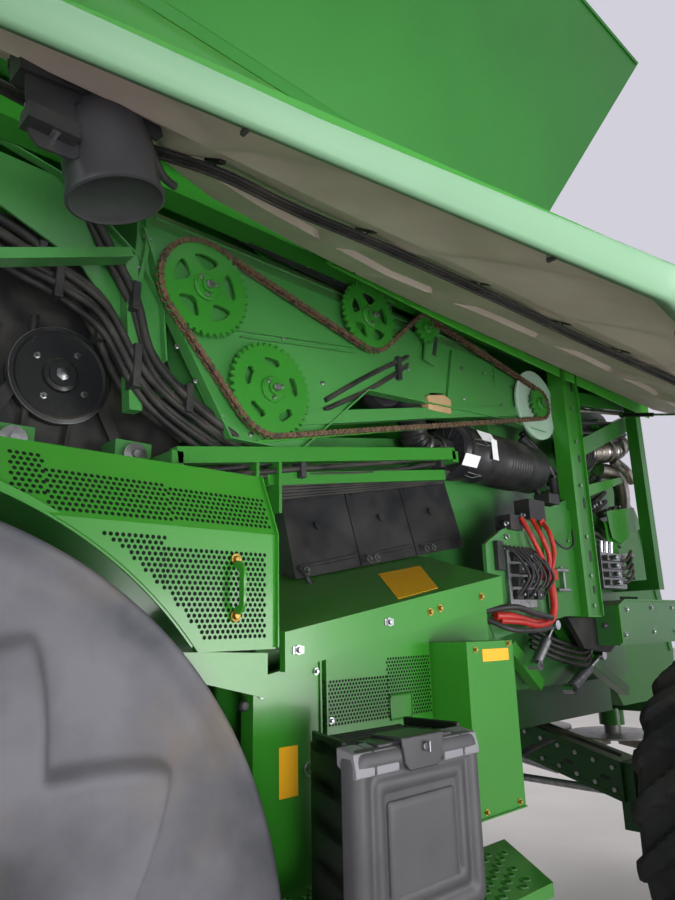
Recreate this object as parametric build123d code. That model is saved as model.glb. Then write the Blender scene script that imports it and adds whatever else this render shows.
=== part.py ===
from build123d import *
import os
from math import atan2, cos, degrees, hypot, pi, radians, sin, tan

# Self-propelled combine harvester with an inclined lengthwise rotor, without its front attachment.
# Millimetres. +X is forward, +Y is left and +Z is up, and the ground is at z = 0.
# Stations along X are measured from the front axle; save() moves them to the model's own frame.

# Wheels
WHEELBASE = 3800.0
FRONT_TYRE_R, FRONT_TYRE_W, FRONT_TYRE_IN = 1000.0, 650.0, 1100.0
REAR_TYRE_R, REAR_TYRE_W, REAR_TYRE_IN = 775.0, 540.0, 1450.0
FRONT_RIM_R, REAR_RIM_R = 430.0, 330.0
RIM_WALL, RIM_DISC_T, TYRE_WALL = 14.0, 22.0, 60.0
HUB_CLEAR = 0.3
SPINDLE_R, REAR_SPINDLE_R = 90.0, 55.0
FRONT_HUB_R, REAR_HUB_R = 190.0, 130.0
WHEEL_BOLTS = 10

# Main frame and axles
RAIL_IN, RAIL_W, RAIL_Z, RAIL_H = 700.0, 120.0, 1180.0, 220.0
RAIL_FRONT, RAIL_REAR = 450.0, -4300.0
CROSS_T = 140.0
FRONT_BEAM_H, FRONT_BEAM_L = 260.0, 900.0
FINAL_DRIVE_R, FINAL_DRIVE_OUT = 230.0, 1085.0
REAR_BEAM_H, REAR_BEAM_W, REAR_BEAM_Z, REAR_BEAM_FLAT = 190.0, 200.0, 1065.0, 480.0
REAR_BEAM_DROP, REAR_BEAM_END, PIVOT_R = 14.7, 1130.0, 40.0
KINGPIN_Y, KINGPIN_R, KNUCKLE_R = 1250.0, 32.0, 62.0
KINGPIN_TOP, KINGPIN_LOW = 985.0, 655.0
EAR_T, EAR_GAP = 34.0, 1.0
STEER_ARM, STEER_ARM_T, TIE_ROD_R, TIE_PIN_R, ARM_POCKET = 260.0, 30.0, 22.0, 14.0, 116.0
HITCH_BORE_R, HITCH_T, HITCH_END, HITCH_Z, HITCH_HALF_W = 17.0, 60.0, -5500.0, 700.0, 60.0

# Threshing body: side outline (x, z), which rises to the rear with the rotor
BODY_HALF_W, SHOE_HALF_W = 980.0, 690.0
ROTOR_RISE = 10.0
BODY_TOP_FRONT, BODY_TOP_X = 2150.0, 400.0
ROOF_SHARE = 0.9
BODY_FRONT, BODY_REAR = 640.0, -4250.0
CHEEK_TOP, CHEEK_REAR = 2040.0, 330.0
SHOE_FRONT, SHOE_REAR, SHOE_Z = 150.0, -3550.0, 1060.0

# Left and right flanks
DOOR_Y, DOOR_T = 1450.0, 30.0
PLAIN_DOOR = (-1060.0, -1302.0)
GRILLE_DOOR = (-1322.0, -1800.0)
DOOR_LOW = 900.0
PROUD_Y, PROUD_FRONT, PROUD_REAR, PROUD_LOW, PROUD_TOP = 1600.0, -1650.0, -2075.0, 1130.0, 1665.0
SHELF_Y, SHELF_FRONT, SHELF_REAR, SHELF_T = 1500.0, -1133.0, -2190.0, 24.0
SHELF_CREASE_Z, SHELF_LIP, SHELF_IN = 1713.0, 105.0, 1105.0
SHELF_INNER_RISE = 110.0
COVER_FRONT, COVER_REAR, COVER_COUNT, COVER_GAP, COVER_T = -1500.0, -2510.0, 3, 6.0, 26.0
COVER_LOW_Y, COVER_TOP_Y, COVER_H = 1100.0, 1000.0, 350.0
GUARD_Y, GUARD_TOP_Y, GUARD_T = 1500.0, 1420.0, 22.0
GUARD_FRONT, GUARD_REAR = 335.0, -1100.0
GUARD_TOP_Z, GUARD_CREASE_Z, GUARD_LOW_Z = 2160.0, 1978.0, 1670.0
ARCH_GAP = 90.0

# Upper rails, which carry the shields, and the post beside the air cleaner
UPPER_IN, UPPER_OUT, UPPER_LOW, UPPER_TOP = 1200.0, 1300.0, 3080.0, 3200.0
UPPER_FRONT, UPPER_REAR = -60.0, -4330.0
POST_X, POST_W, POST_LOW, POST_IN, POST_OUT = -3275.0, 150.0, 1750.0, 1225.0, 1300.0
FRONT_POST_X, FRONT_POST_W = -100.0, 70.0
PLATE_END = -2900.0

# Side shields: hinge line, closed lean and lower edge
SHIELD_HINGE_Y, SHIELD_HINGE_Z = 1345.0, 3066.0
SHIELD_LEAN, SHIELD_OPEN_DROOP = 9.6, 27.5
SHIELD_FRONT, SHIELD_KNEE, SHIELD_REAR, RIGHT_SHIELD_REAR = -70.0, -1370.0, -4200.0, -2990.0
SHIELD_FRONT_W, SHIELD_KNEE_W, SHIELD_REAR_W = 830.0, 1370.0, 1020.0
SHIELD_T, SHIELD_START = 34.0, 26.0
CORNER_FRONT_W, CORNER_MID_X, CORNER_MID_W, CORNER_END_X = 640.0, -830.0, 230.0, -1500.0
HINGE_R, HINGE_L, HINGE_GAP, HINGE_PIN_R = 13.0, 120.0, 1.0, 6.0
SHIELD_HINGES = (-1650.0, -2700.0, -4000.0)

# Shield strut: foot on the frame, eye on the shield
STRUT_X, STRUT_FOOT_Y, STRUT_FOOT_Z, STRUT_REACH = -4090.0, 1220.0, 2990.0, 260.0
STRUT_BARREL_R, STRUT_ROD_R, STRUT_BARREL_L = 13.0, 7.0, 198.0
STRUT_PIN_R, STRUT_EYE_R, STRUT_EYE_T, STRUT_DROP = 8.0, 18.0, 16.0, 40.0
STRUT_BORE_START, STRUT_ROD_START = 35.0, 164.0

# Grain tank, seen from the front: (y, z) of one half, and its plan
TANK_FRONT, TANK_REAR, TANK_RIM = -250.0, -2830.0, 3600.0
TANK_WALL = 18.0
TANK_OUT, TANK_BULGE_Z, TANK_SIDE, TANK_FLOOR_Z = 1400.0, 3455.0, 1270.0, 3200.0
TANK_SUMP, TANK_SUMP_Z, TANK_BOTTOM, TANK_BOTTOM_Z = 760.0, 2950.0, 420.0, 2700.0
SADDLE_L, SADDLE_IN = 80.0, 60.0
RIDGE_W, RIDGE_T = 340.0, 40.0
FLAP_RISE, FLAP_OUT_TOP, FLAP_T = 1100.0, 1907.0, 16.0
FLAP_REAR_FLARE, FLAP_FRONT_FLARE, FLAP_START = 470.0, 350.0, 22.0
FLAP_HINGE_Y, FLAP_HINGE_Z = 1412.0, 3618.0
CURTAIN_T, CURTAIN_GAP = 8.0, 30.0
FLAP_HINGES, FLAP_BARREL_R, FLAP_BARREL_L, FLAP_LUG_L, FLAP_PIN_R = (-650.0, -2430.0), 9.0, 110.0, 60.0, 4.0

# Unloading auger, folded back along the left side
AUGER_X, AUGER_Y, AUGER_Z, AUGER_R = 130.0, 1470.0, 3270.0, 165.0
AUGER_LENGTH, AUGER_LOW_Z, AUGER_FOOT_Z = 5640.0, 3040.0, 2420.0
SPOUT_L, SPOUT_R = 420.0, 190.0
SPIGOT_R, SPIGOT_L, ELBOW_R = 60.0, 70.0, 177.0

# Chain drive on the left
DRIVE_Y, PLATE_OUT, PLATE_T = 1250.0, 1205.0, 30.0
CHAIN_W, CHAIN_T, CHAIN_GAP, SPROCKET_T = 30.0, 26.0, 0.4, 14.0
SPROCKET_HUB_R, GUARD_DISC_R, GUARD_DISC_Y, GUARD_DISC_T = 48.0, 185.0, 1216.0, 6.0
TUBE_Y, TUBE_Z, TUBE_R, TUBE_FRONT, TUBE_REAR = 985.0, 2936.0, 215.0, -780.0, -3120.0
CONE_FRONT, CONE_REAR, CONE_R = -2700.0, -2940.0, 112.0

# Belt drive on the left
BELT_PULLEY_X, BELT_PULLEY_Z, BELT_PULLEY_Y, BELT_PULLEY_R, BELT_W = -640.0, 2485.0, 1000.0, 150.0, 60.0

# Engine deck
DECK_Z, DECK_T, DECK_FRONT, DECK_REAR = 2820.0, 40.0, -2950.0, -4300.0
ENGINE_W, ENGINE_H, ENGINE_FRONT, ENGINE_REAR = 900.0, 560.0, -3300.0, -4150.0
HOOD_FRONT, HOOD_REAR, HOOD_TOP, HOOD_OUT, HOOD_T = -2960.0, -4330.0, 3560.0, 1290.0, 30.0
SCREEN_R, SCREEN_X, SCREEN_Z, SCREEN_DEEP = 470.0, -3620.0, 2510.0, 40.0
SCREEN_BOX_L, SCREEN_BOX_LOW = 1080.0, 1960.0
CLEANER_X, CLEANER_Y, CLEANER_Z, CLEANER_R, CLEANER_L = -2729.0, 1130.0, 2505.0, 132.0, 720.0
EXHAUST_Y, EXHAUST_Z, EXHAUST_R, EXHAUST_FRONT, EXHAUST_REAR = 960.0, 2985.0, 105.0, -3480.0, -4200.0

# Cab
CAB_REAR, CAB_FRONT, CAB_HALF_W, CAB_FLOOR, CAB_TOP = 350.0, 1980.0, 930.0, 2100.0, 3640.0
CAB_NOSE, CAB_NOSE_Z, CAB_TOE, CAB_WALL = 2130.0, 2560.0, 1900.0, 45.0
CAB_ROOF_T, CAB_ROOF_OVER = 210.0, 130.0
GLASS_T = 8.0
DOOR_REAR, DOOR_FRONT, DOOR_SILL, DOOR_HEAD, DOOR_GAP, DOOR_FRAME = 960.0, 1870.0, 2160.0, 3580.0, 6.0, 55.0
DOOR_HINGE_OUT, DOOR_BARREL_R, DOOR_BARREL_L, DOOR_PIN_R = 22.0, 14.0, 90.0, 6.0
DOOR_HINGES = (2360.0, 3260.0)


# Feeder house
FEEDER_X, FEEDER_Z, FEEDER_HALF_W, FEEDER_HALF_H = 520.0, 1650.0, 600.0, 300.0
FEEDER_FACE_X, FEEDER_FACE_Z, FEEDER_WALL, FEEDER_MOUTH_L = 2640.0, 1050.0, 30.0, 700.0
FEEDER_CLEAR, STUB_R, STUB_L = 30.0, 60.0, 100.0
LIFT_X, LIFT_Z, LIFT_Y = 200.0, 800.0, 430.0
LIFT_EYE_X, LIFT_EYE_Z = 1300.0, 1050.0
LIFT_BARREL_R, LIFT_ROD_R, LIFT_BARREL_L, LIFT_PIN_R = 55.0, 32.0, 760.0, 25.0
LIFT_EYE_R, LIFT_EYE_T = 48.0, 116.0

# Toolbox on its step
BOX_OUT, BOX_IN, BOX_FRONT, BOX_REAR, BOX_TOP, BOX_WALL = 1900.0, 1640.0, -1010.0, -1430.0, 1455.0, 8.0
LID_T, LID_GAP = 40.0, 1.0
LID_BARREL_R, LID_BARREL_L, LID_PIN_R, LID_HINGES = 8.0, 60.0, 4.0, (-1070.0, -1300.0)
STEP_TOP, STEP_T, STEP_OUT, STEP_REAR, STEP_REAR_IN, STEP_FRONT = 1060.0, 30.0, 1910.0, -1700.0, -1930.0, -1000.0

# Rear hood, chopper and spreaders
HOOD_HALF_W = 770.0
HOOD_WALL = 25.0
CHOPPER_X, CHOPPER_Z, CHOPPER_R = -4700.0, 1430.0, 190.0
SPREADER_X, SPREADER_Y, SPREADER_Z, SPREADER_R, SPREADER_T = -5180.0, 360.0, 900.0, 330.0, 12.0
SPREADER_BOSS_R, SPREADER_BOSS_H, SPREADER_SHAFT_R, SPREADER_BLADES = 60.0, 70.0, 25.0, 6

# Front access platform and ladders
WALK_Z, WALK_T, WALK_OUT, WALK_REAR, WALK_FRONT = 2085.0, 35.0, 1750.0, 350.0, 1900.0
LADDER_FRONT_X, LADDER_W, LADDER_RUNGS = 1480.0, 420.0, 5
RAIL_END_X, RAIL_UP, RAIL_R = 1080.0, 1000.0, 17.0


# Worked out: the front axle's place in the model's frame puts the origin under the middle, and the
# mirrors reach as far to each side as the open shield's free edge
FRONT_AXLE_X = (AUGER_LENGTH - AUGER_X - FEEDER_FACE_X) / 2
MIRROR_OUT = SHIELD_HINGE_Y + SHIELD_KNEE_W * cos(radians(SHIELD_OPEN_DROOP))


def block(x0, x1, y0, y1, z0, z1):
    """Box between two opposite corners, in any order."""
    size = (abs(x1 - x0), abs(y1 - y0), abs(z1 - z0))
    return Pos((x0 + x1) / 2, (y0 + y1) / 2, (z0 + z1) / 2) * Box(*size)


def side_prism(points, y0, y1):
    """Prism from a side outline of (x, z) points, between two y values."""
    face = Plane.XZ.offset(-y0) * Polygon(*points, align=None)
    return extrude(face, amount=y1 - y0, dir=(0, 1, 0))


def end_prism(points, x0, x1):
    """Prism from an end outline of (y, z) points, between two x values."""
    face = Plane.YZ.offset(x0) * Polygon(*points, align=None)
    return extrude(face, amount=x1 - x0, dir=(1, 0, 0))


def plan_prism(points, z0, z1):
    """Prism from a plan outline of (x, y) points, between two z values."""
    face = Plane.XY.offset(z0) * Polygon(*points, align=None)
    return extrude(face, amount=z1 - z0, dir=(0, 0, 1))


def sheet_on(plane, outline, thickness):
    """Flat sheet centred on a plane, from an outline in that plane's own coordinates."""
    face = plane.offset(-thickness / 2) * Polygon(*outline, align=None)
    return extrude(face, amount=thickness, dir=plane.z_dir)


def rod(start, end, radius):
    """Round bar from one point to another."""
    axis = Vector(*end) - Vector(*start)
    plane = Plane(origin=start, z_dir=axis)
    return plane * Cylinder(radius, axis.length, align=(Align.CENTER, Align.CENTER, Align.MIN))


def rod_y(x, z, y0, y1, radius):
    return rod((x, min(y0, y1), z), (x, max(y0, y1), z), radius)


def rod_x(y, z, x0, x1, radius):
    return rod((min(x0, x1), y, z), (max(x0, x1), y, z), radius)


def rod_z(x, y, z0, z1, radius):
    return rod((x, y, min(z0, z1)), (x, y, max(z0, z1)), radius)


def tube_run(points, radius):
    """Bent bar: straight runs with a ball at each bend."""
    run = None
    for start, end in zip(points, points[1:]):
        piece = rod(start, end, radius)
        run = piece if run is None else run + piece
    for point in points[1:-1]:
        run += Pos(*point) * Sphere(radius)
    return run


def mirrored(shape):
    """The same shape on the right-hand side."""
    return mirror(shape, about=Plane.XZ)


def both_sides(shape):
    return Compound(children=shape.solids() + mirrored(shape).solids())


def group(*shapes):
    """One node of several solids that don't touch."""
    return Compound(children=[solid for shape in shapes for solid in shape.solids()])


NODES = {}


def save(name, shape):
    """Keeps a node, moved from the front axle's stations to the model's frame."""
    NODES[name] = Pos(FRONT_AXLE_X, 0, 0) * shape


def rise(x):
    """Height gained at station x along the rotor's slope, from the front of the shelf."""
    return (SHELF_FRONT - x) * tan(radians(ROTOR_RISE))


# Wheels


def tyre(x, radius, width, inner_y, rim_r):
    """Hollow tyre of revolution, out to the tips of its lugs."""
    half, shoulder, bead = width / 2, width * 0.12, width * 0.14
    outline = [
        (rim_r, -half + bead), (rim_r + 70, -half + 12), (radius * 0.72, -half),
        (radius * 0.93, -half + 6), (radius, -half + shoulder), (radius, half - shoulder),
        (radius * 0.93, half - 6), (radius * 0.72, half), (rim_r + 70, half - 12), (rim_r, half - bead),
        (rim_r, half - bead - 50), (rim_r + 60, half - TYRE_WALL), (radius * 0.90, half - TYRE_WALL),
        (radius - TYRE_WALL * 1.5, half - TYRE_WALL * 1.8),
        (radius - TYRE_WALL * 1.5, -half + TYRE_WALL * 1.8), (radius * 0.90, -half + TYRE_WALL),
        (rim_r + 60, -half + TYRE_WALL), (rim_r, -half + bead + 50),
    ]
    face = Plane.XZ * Polygon(*outline, align=None)
    ring = revolve(face, axis=Axis.Z)
    return Pos(x, inner_y + half, radius) * Rot(-90, 0, 0) * ring


def rim(x, radius, width, inner_y, rim_r, spindle_r, hub_r, hub_in):
    """Rim barrel, dished disc, hub boss and wheel bolts in one piece."""
    bead = width * 0.14
    y0, y1 = inner_y + bead, inner_y + width - bead
    barrel = rod_y(x, radius, y0, y1, rim_r) - rod_y(x, radius, y0 - 1, y1 + 1, rim_r - RIM_WALL)
    disc_y = inner_y + width * 0.42
    disc = rod_y(x, radius, disc_y, disc_y + RIM_DISC_T, rim_r - RIM_WALL / 2)
    hub = rod_y(x, radius, hub_in, disc_y + RIM_DISC_T + 60, hub_r)
    wheel = barrel + disc + hub - rod_y(x, radius, hub_in - 1, disc_y - 20, spindle_r + HUB_CLEAR)
    for i in range(WHEEL_BOLTS):
        turn = 2 * pi * i / WHEEL_BOLTS
        bolt_x, bolt_z = x + hub_r * 1.28 * cos(turn), radius + hub_r * 1.28 * sin(turn)
        wheel += rod_y(bolt_x, bolt_z, disc_y, disc_y + RIM_DISC_T + 28, 18)
    return wheel


def wheels():
    rear_x = -WHEELBASE
    front_hub_in = FINAL_DRIVE_OUT + 8
    rear_hub_in = KINGPIN_Y + KNUCKLE_R + 30
    front_tyre = tyre(0, FRONT_TYRE_R, FRONT_TYRE_W, FRONT_TYRE_IN, FRONT_RIM_R)
    rear_tyre = tyre(rear_x, REAR_TYRE_R, REAR_TYRE_W, REAR_TYRE_IN, REAR_RIM_R)
    front_rim = rim(0, FRONT_TYRE_R, FRONT_TYRE_W, FRONT_TYRE_IN, FRONT_RIM_R,
                    SPINDLE_R, FRONT_HUB_R, front_hub_in)
    rear_rim = rim(rear_x, REAR_TYRE_R, REAR_TYRE_W, REAR_TYRE_IN, REAR_RIM_R,
                   REAR_SPINDLE_R, REAR_HUB_R, rear_hub_in)
    for end, one_tyre, one_rim in (("front", front_tyre, front_rim), ("rear", rear_tyre, rear_rim)):
        save(f"tyre_{end}_left", one_tyre)
        save(f"rim_{end}_left", one_rim)
        save(f"tyre_{end}_right", mirrored(one_tyre))
        save(f"rim_{end}_right", mirrored(one_rim))


# Frame and axles


def frame_rails():
    rail_top = RAIL_Z + RAIL_H
    rail = block(RAIL_REAR, RAIL_FRONT, RAIL_IN, RAIL_IN + RAIL_W, RAIL_Z, rail_top)
    frame = rail + mirrored(rail)
    pivot_half = REAR_BEAM_W / 2 + EAR_T + 2
    for x0, x1, top in ((RAIL_FRONT - CROSS_T, RAIL_FRONT, RAIL_Z + 115),
                        (-WHEELBASE - pivot_half, -WHEELBASE + pivot_half, rail_top - 20),
                        (RAIL_REAR, RAIL_REAR + CROSS_T, rail_top - 20)):
        frame += block(x0, x1, -RAIL_IN, RAIL_IN, RAIL_Z + 20, top)
    drawbar = side_prism([(RAIL_REAR + CROSS_T, RAIL_Z + 20), (RAIL_REAR, RAIL_Z + 20),
                          (RAIL_REAR - 500, HITCH_Z + HITCH_T), (HITCH_END, HITCH_Z + HITCH_T), (HITCH_END, HITCH_Z),
                          (RAIL_REAR - 480, HITCH_Z), (RAIL_REAR + CROSS_T, RAIL_Z - 60)],
                         -HITCH_HALF_W, HITCH_HALF_W)
    frame += drawbar - rod_z(HITCH_END + 45, 0, HITCH_Z - 1, HITCH_Z + HITCH_T + 1, HITCH_BORE_R)
    beam_half = REAR_BEAM_W / 2
    for x0 in (-WHEELBASE + beam_half + 2, -WHEELBASE - beam_half - 2 - EAR_T):
        ear = block(x0, x0 + EAR_T, -110, 110, REAR_BEAM_Z - 60, RAIL_Z + 40)
        frame += ear - rod_x(0, REAR_BEAM_Z, x0 - 1, x0 + EAR_T + 1, PIVOT_R + HUB_CLEAR)
    return frame


def front_axle():
    beam = block(-FRONT_BEAM_H / 2, FRONT_BEAM_H / 2, -FRONT_BEAM_L, FRONT_BEAM_L,
                 FRONT_TYRE_R - FRONT_BEAM_H / 2, FRONT_TYRE_R + FRONT_BEAM_H / 2)
    side = block(-150, 150, RAIL_IN, RAIL_IN + RAIL_W, FRONT_TYRE_R + FRONT_BEAM_H / 2 - 10, RAIL_Z)
    side += rod_y(0, FRONT_TYRE_R, FRONT_BEAM_L - 30, FINAL_DRIVE_OUT, FINAL_DRIVE_R)
    side += rod_y(0, FRONT_TYRE_R, FINAL_DRIVE_OUT - 10, FRONT_TYRE_IN + FRONT_TYRE_W * 0.42 - 30, SPINDLE_R)
    for y in (LIFT_Y - LIFT_EYE_T / 2 - EAR_T - EAR_GAP, LIFT_Y + LIFT_EYE_T / 2 + EAR_GAP):
        ear = side_prism([(60, FRONT_TYRE_R - 100), (FRONT_BEAM_H / 2 + 60, FRONT_TYRE_R - 100),
                          (LIFT_X + 60, LIFT_Z + 20), (LIFT_X + 50, LIFT_Z - 50),
                          (LIFT_X - 60, LIFT_Z - 50), (60, LIFT_Z + 40)], y, y + EAR_T)
        side += ear
    pin_half = LIFT_EYE_T / 2 + EAR_GAP + EAR_T
    side += rod_y(LIFT_X, LIFT_Z, LIFT_Y - pin_half, LIFT_Y + pin_half, LIFT_PIN_R)
    return beam + side + mirrored(side)


def beam_z(y):
    """Centre height of the rear axle beam at y."""
    return REAR_BEAM_Z - max(0.0, abs(y) - REAR_BEAM_FLAT) * tan(radians(REAR_BEAM_DROP))


def steer_arm_z():
    """Underside of the steering arm, above the yoke's lower ear."""
    return KINGPIN_LOW + EAR_T + EAR_GAP + 20


def rear_axle():
    half = REAR_BEAM_H / 2
    slope_half = half / cos(radians(REAR_BEAM_DROP))
    end_z = beam_z(REAR_BEAM_END)
    top = [(REAR_BEAM_FLAT, REAR_BEAM_Z + half), (REAR_BEAM_END, end_z + slope_half)]
    low = [(REAR_BEAM_END, end_z - slope_half), (REAR_BEAM_FLAT, REAR_BEAM_Z - half)]
    outline = [(-y, z) for y, z in reversed(top)] + top + low + [(-y, z) for y, z in reversed(low)]
    x0, x1 = -WHEELBASE - REAR_BEAM_W / 2, -WHEELBASE + REAR_BEAM_W / 2
    beam = end_prism(outline, x0, x1)
    beam += rod_x(0, REAR_BEAM_Z, x0 - 2 - EAR_T, x1 + 2 + EAR_T, PIVOT_R)
    yoke = block(x0 + 30, x1 - 30, REAR_BEAM_END - 30, KINGPIN_Y - KNUCKLE_R - 6, KINGPIN_LOW, KINGPIN_TOP)
    for z0 in (KINGPIN_LOW, KINGPIN_TOP - EAR_T):
        yoke += block(x0 + 30, x1 - 30, KINGPIN_Y - KNUCKLE_R - 20, KINGPIN_Y + 45, z0, z0 + EAR_T)
    yoke += rod_z(-WHEELBASE, KINGPIN_Y, KINGPIN_LOW - 12, KINGPIN_TOP + 12, KINGPIN_R)
    arm_z = steer_arm_z()
    yoke -= block(x0, -WHEELBASE - KINGPIN_R - 1, KINGPIN_Y - ARM_POCKET, KINGPIN_Y - KNUCKLE_R, arm_z - 8, arm_z + STEER_ARM_T + 8)
    return beam + yoke + mirrored(yoke)


def knuckle():
    low, top = KINGPIN_LOW + EAR_T + EAR_GAP, KINGPIN_TOP - EAR_T - EAR_GAP
    body = rod_z(-WHEELBASE, KINGPIN_Y, low, top, KNUCKLE_R)
    body += rod_y(-WHEELBASE, REAR_TYRE_R, KINGPIN_Y, REAR_TYRE_IN + REAR_TYRE_W * 0.42 - 30, REAR_SPINDLE_R)
    arm_z = steer_arm_z()
    arm = block(-WHEELBASE, -WHEELBASE - STEER_ARM, KINGPIN_Y - 30, KINGPIN_Y + 30, arm_z, arm_z + STEER_ARM_T)
    pin_x = -WHEELBASE - STEER_ARM + 30
    body += arm + rod_z(pin_x, KINGPIN_Y, arm_z, arm_z + STEER_ARM_T + 52, TIE_PIN_R)
    return body - rod_z(-WHEELBASE, KINGPIN_Y, low - 1, top + 1, KINGPIN_R + HUB_CLEAR)


def tie_rod():
    x = -WHEELBASE - STEER_ARM + 30
    z = steer_arm_z() + STEER_ARM_T + 26
    bar = rod_y(x, z, -KINGPIN_Y, KINGPIN_Y, TIE_ROD_R)
    for y in (-KINGPIN_Y, KINGPIN_Y):
        bar += rod_z(x, y, z - 25, z + 25, 38)
    bar -= rod_z(x, KINGPIN_Y, z - 40, z + 40, TIE_PIN_R + HUB_CLEAR)
    return bar - rod_z(x, -KINGPIN_Y, z - 40, z + 40, TIE_PIN_R + 3)


# Threshing body and flanks


def body_top(x):
    """Height of the threshing body's roof at station x."""
    return BODY_TOP_FRONT + (BODY_TOP_X - x) * tan(radians(ROTOR_RISE)) * ROOF_SHARE


def separator_body():
    rail_top = RAIL_Z + RAIL_H
    upper = side_prism([(BODY_FRONT, rail_top), (BODY_FRONT, CHEEK_TOP), (CHEEK_REAR, CHEEK_TOP),
                        (CHEEK_REAR, body_top(CHEEK_REAR)), (DECK_FRONT, body_top(DECK_FRONT)),
                        (DECK_FRONT, DECK_Z - DECK_T), (BODY_REAR, DECK_Z - DECK_T), (BODY_REAR, rail_top)],
                       -BODY_HALF_W, BODY_HALF_W)
    slot_r, slot_y = FEEDER_HALF_H + FEEDER_CLEAR, FEEDER_HALF_W + FEEDER_CLEAR
    upper -= rod_y(FEEDER_X, FEEDER_Z, -slot_y, slot_y, slot_r)
    upper -= block(FEEDER_X, BODY_FRONT + 1, -slot_y, slot_y, rail_top - 1, FEEDER_Z + slot_r)
    upper -= rod_y(FEEDER_X, FEEDER_Z, -slot_y - STUB_L, slot_y + STUB_L, STUB_R + HUB_CLEAR)
    shoe = side_prism([(SHOE_FRONT, rail_top), (SHOE_FRONT - 150, SHOE_Z + 120), (-900, SHOE_Z),
                       (-2900, SHOE_Z), (SHOE_REAR, rail_top)], -SHOE_HALF_W, SHOE_HALF_W)
    deck = block(DECK_FRONT, DECK_REAR, -BODY_HALF_W, BODY_HALF_W, DECK_Z - DECK_T, DECK_Z)
    return upper + shoe + deck + fender_box() + mirrored(fender_box())


def guard_panels():
    """Panels over the front wheel, arched round the tyre, with a crease along them."""
    section = [(GUARD_TOP_Y, GUARD_TOP_Z), (GUARD_Y, GUARD_CREASE_Z), (GUARD_Y, GUARD_LOW_Z),
               (GUARD_Y - GUARD_T, GUARD_LOW_Z), (GUARD_Y - GUARD_T, GUARD_CREASE_Z - 4),
               (GUARD_TOP_Y - GUARD_T, GUARD_TOP_Z - 4), (BODY_HALF_W, GUARD_TOP_Z - 4),
               (BODY_HALF_W, GUARD_TOP_Z)]
    panel = end_prism(section, GUARD_REAR, GUARD_FRONT)
    panel -= rod_y(0, FRONT_TYRE_R, BODY_HALF_W + 1, GUARD_Y + 50, FRONT_TYRE_R + ARCH_GAP)
    return both_sides(panel)


def shelf_line(x):
    """Height of the shelf's outer crease at station x."""
    return SHELF_CREASE_Z + rise(x)


def sloped_shelf():
    """Inclined shelf with its outer lip, rising to the rear and inboard."""
    crease, lift = 0.0, SHELF_INNER_RISE
    section = [(SHELF_Y, crease), (SHELF_IN, lift), (BODY_HALF_W, lift + 30), (BODY_HALF_W, lift + 30 - SHELF_T),
               (SHELF_IN, lift - SHELF_T), (SHELF_Y - SHELF_T, crease - SHELF_T),
               (SHELF_Y - SHELF_T, crease - SHELF_LIP), (SHELF_Y, crease - SHELF_LIP)]
    ends = []
    for x in (SHELF_FRONT, SHELF_REAR):
        points = [(y, z + shelf_line(x)) for y, z in section]
        ends.append(Plane.YZ.offset(x) * Polygon(*points, align=None))
    return both_sides(loft(ends, ruled=True))


def side_doors():
    """Plain door, grille door and the proud box behind them, on a side wall."""
    pieces = []
    for x0, x1 in (PLAIN_DOOR, GRILLE_DOOR):
        tops = [shelf_line(x) - SHELF_LIP - 3 for x in (x0, x1)]
        door = side_prism([(x0, DOOR_LOW), (x0, tops[0]), (x1, tops[1]), (x1, DOOR_LOW)], DOOR_Y - DOOR_T, DOOR_Y)
        pieces.append(door)
    wall_y = DOOR_Y - DOOR_T
    wall_top = [shelf_line(x) - SHELF_LIP - 12 for x in (PLAIN_DOOR[0], SHELF_REAR)]
    wall = side_prism([(PLAIN_DOOR[0], DOOR_LOW), (PLAIN_DOOR[0], wall_top[0]), (SHELF_REAR, wall_top[1]),
                       (SHELF_REAR, PROUD_LOW), (PROUD_REAR, PROUD_LOW), (PROUD_FRONT, DOOR_LOW)],
                      wall_y - 20, wall_y)
    for x in (PLAIN_DOOR[0] - 60, -1700.0, SHELF_REAR + 40):
        wall += block(x, x - 40, RAIL_IN + RAIL_W, wall_y - 10, RAIL_Z + 40, RAIL_Z + RAIL_H - 30)
    proud = block(PROUD_FRONT - 160, PROUD_REAR, DOOR_Y - DOOR_T, PROUD_Y, PROUD_LOW, PROUD_TOP)
    flank = wall + proud
    for piece in pieces:
        flank += piece - proud
    return both_sides(flank)


def separator_covers():
    """Black covers of the rotor housing, leaning inward, one beside the other."""
    pitch = (COVER_FRONT - COVER_REAR) / COVER_COUNT
    pieces = []
    for i in range(COVER_COUNT):
        x0 = COVER_FRONT - i * pitch
        x1 = x0 - pitch + COVER_GAP
        ends = []
        for x in (x0, x1):
            low = shelf_line(x) + SHELF_INNER_RISE + 6
            top = low + COVER_H
            ends.append(Plane.YZ.offset(x) * Polygon(
                (COVER_LOW_Y, low), (COVER_TOP_Y, top), (BODY_HALF_W, top), (BODY_HALF_W, low + 30), align=None))
        pieces.append(loft(ends, ruled=True))
    return both_sides(group(*pieces))


# Upper rails and shields


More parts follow.
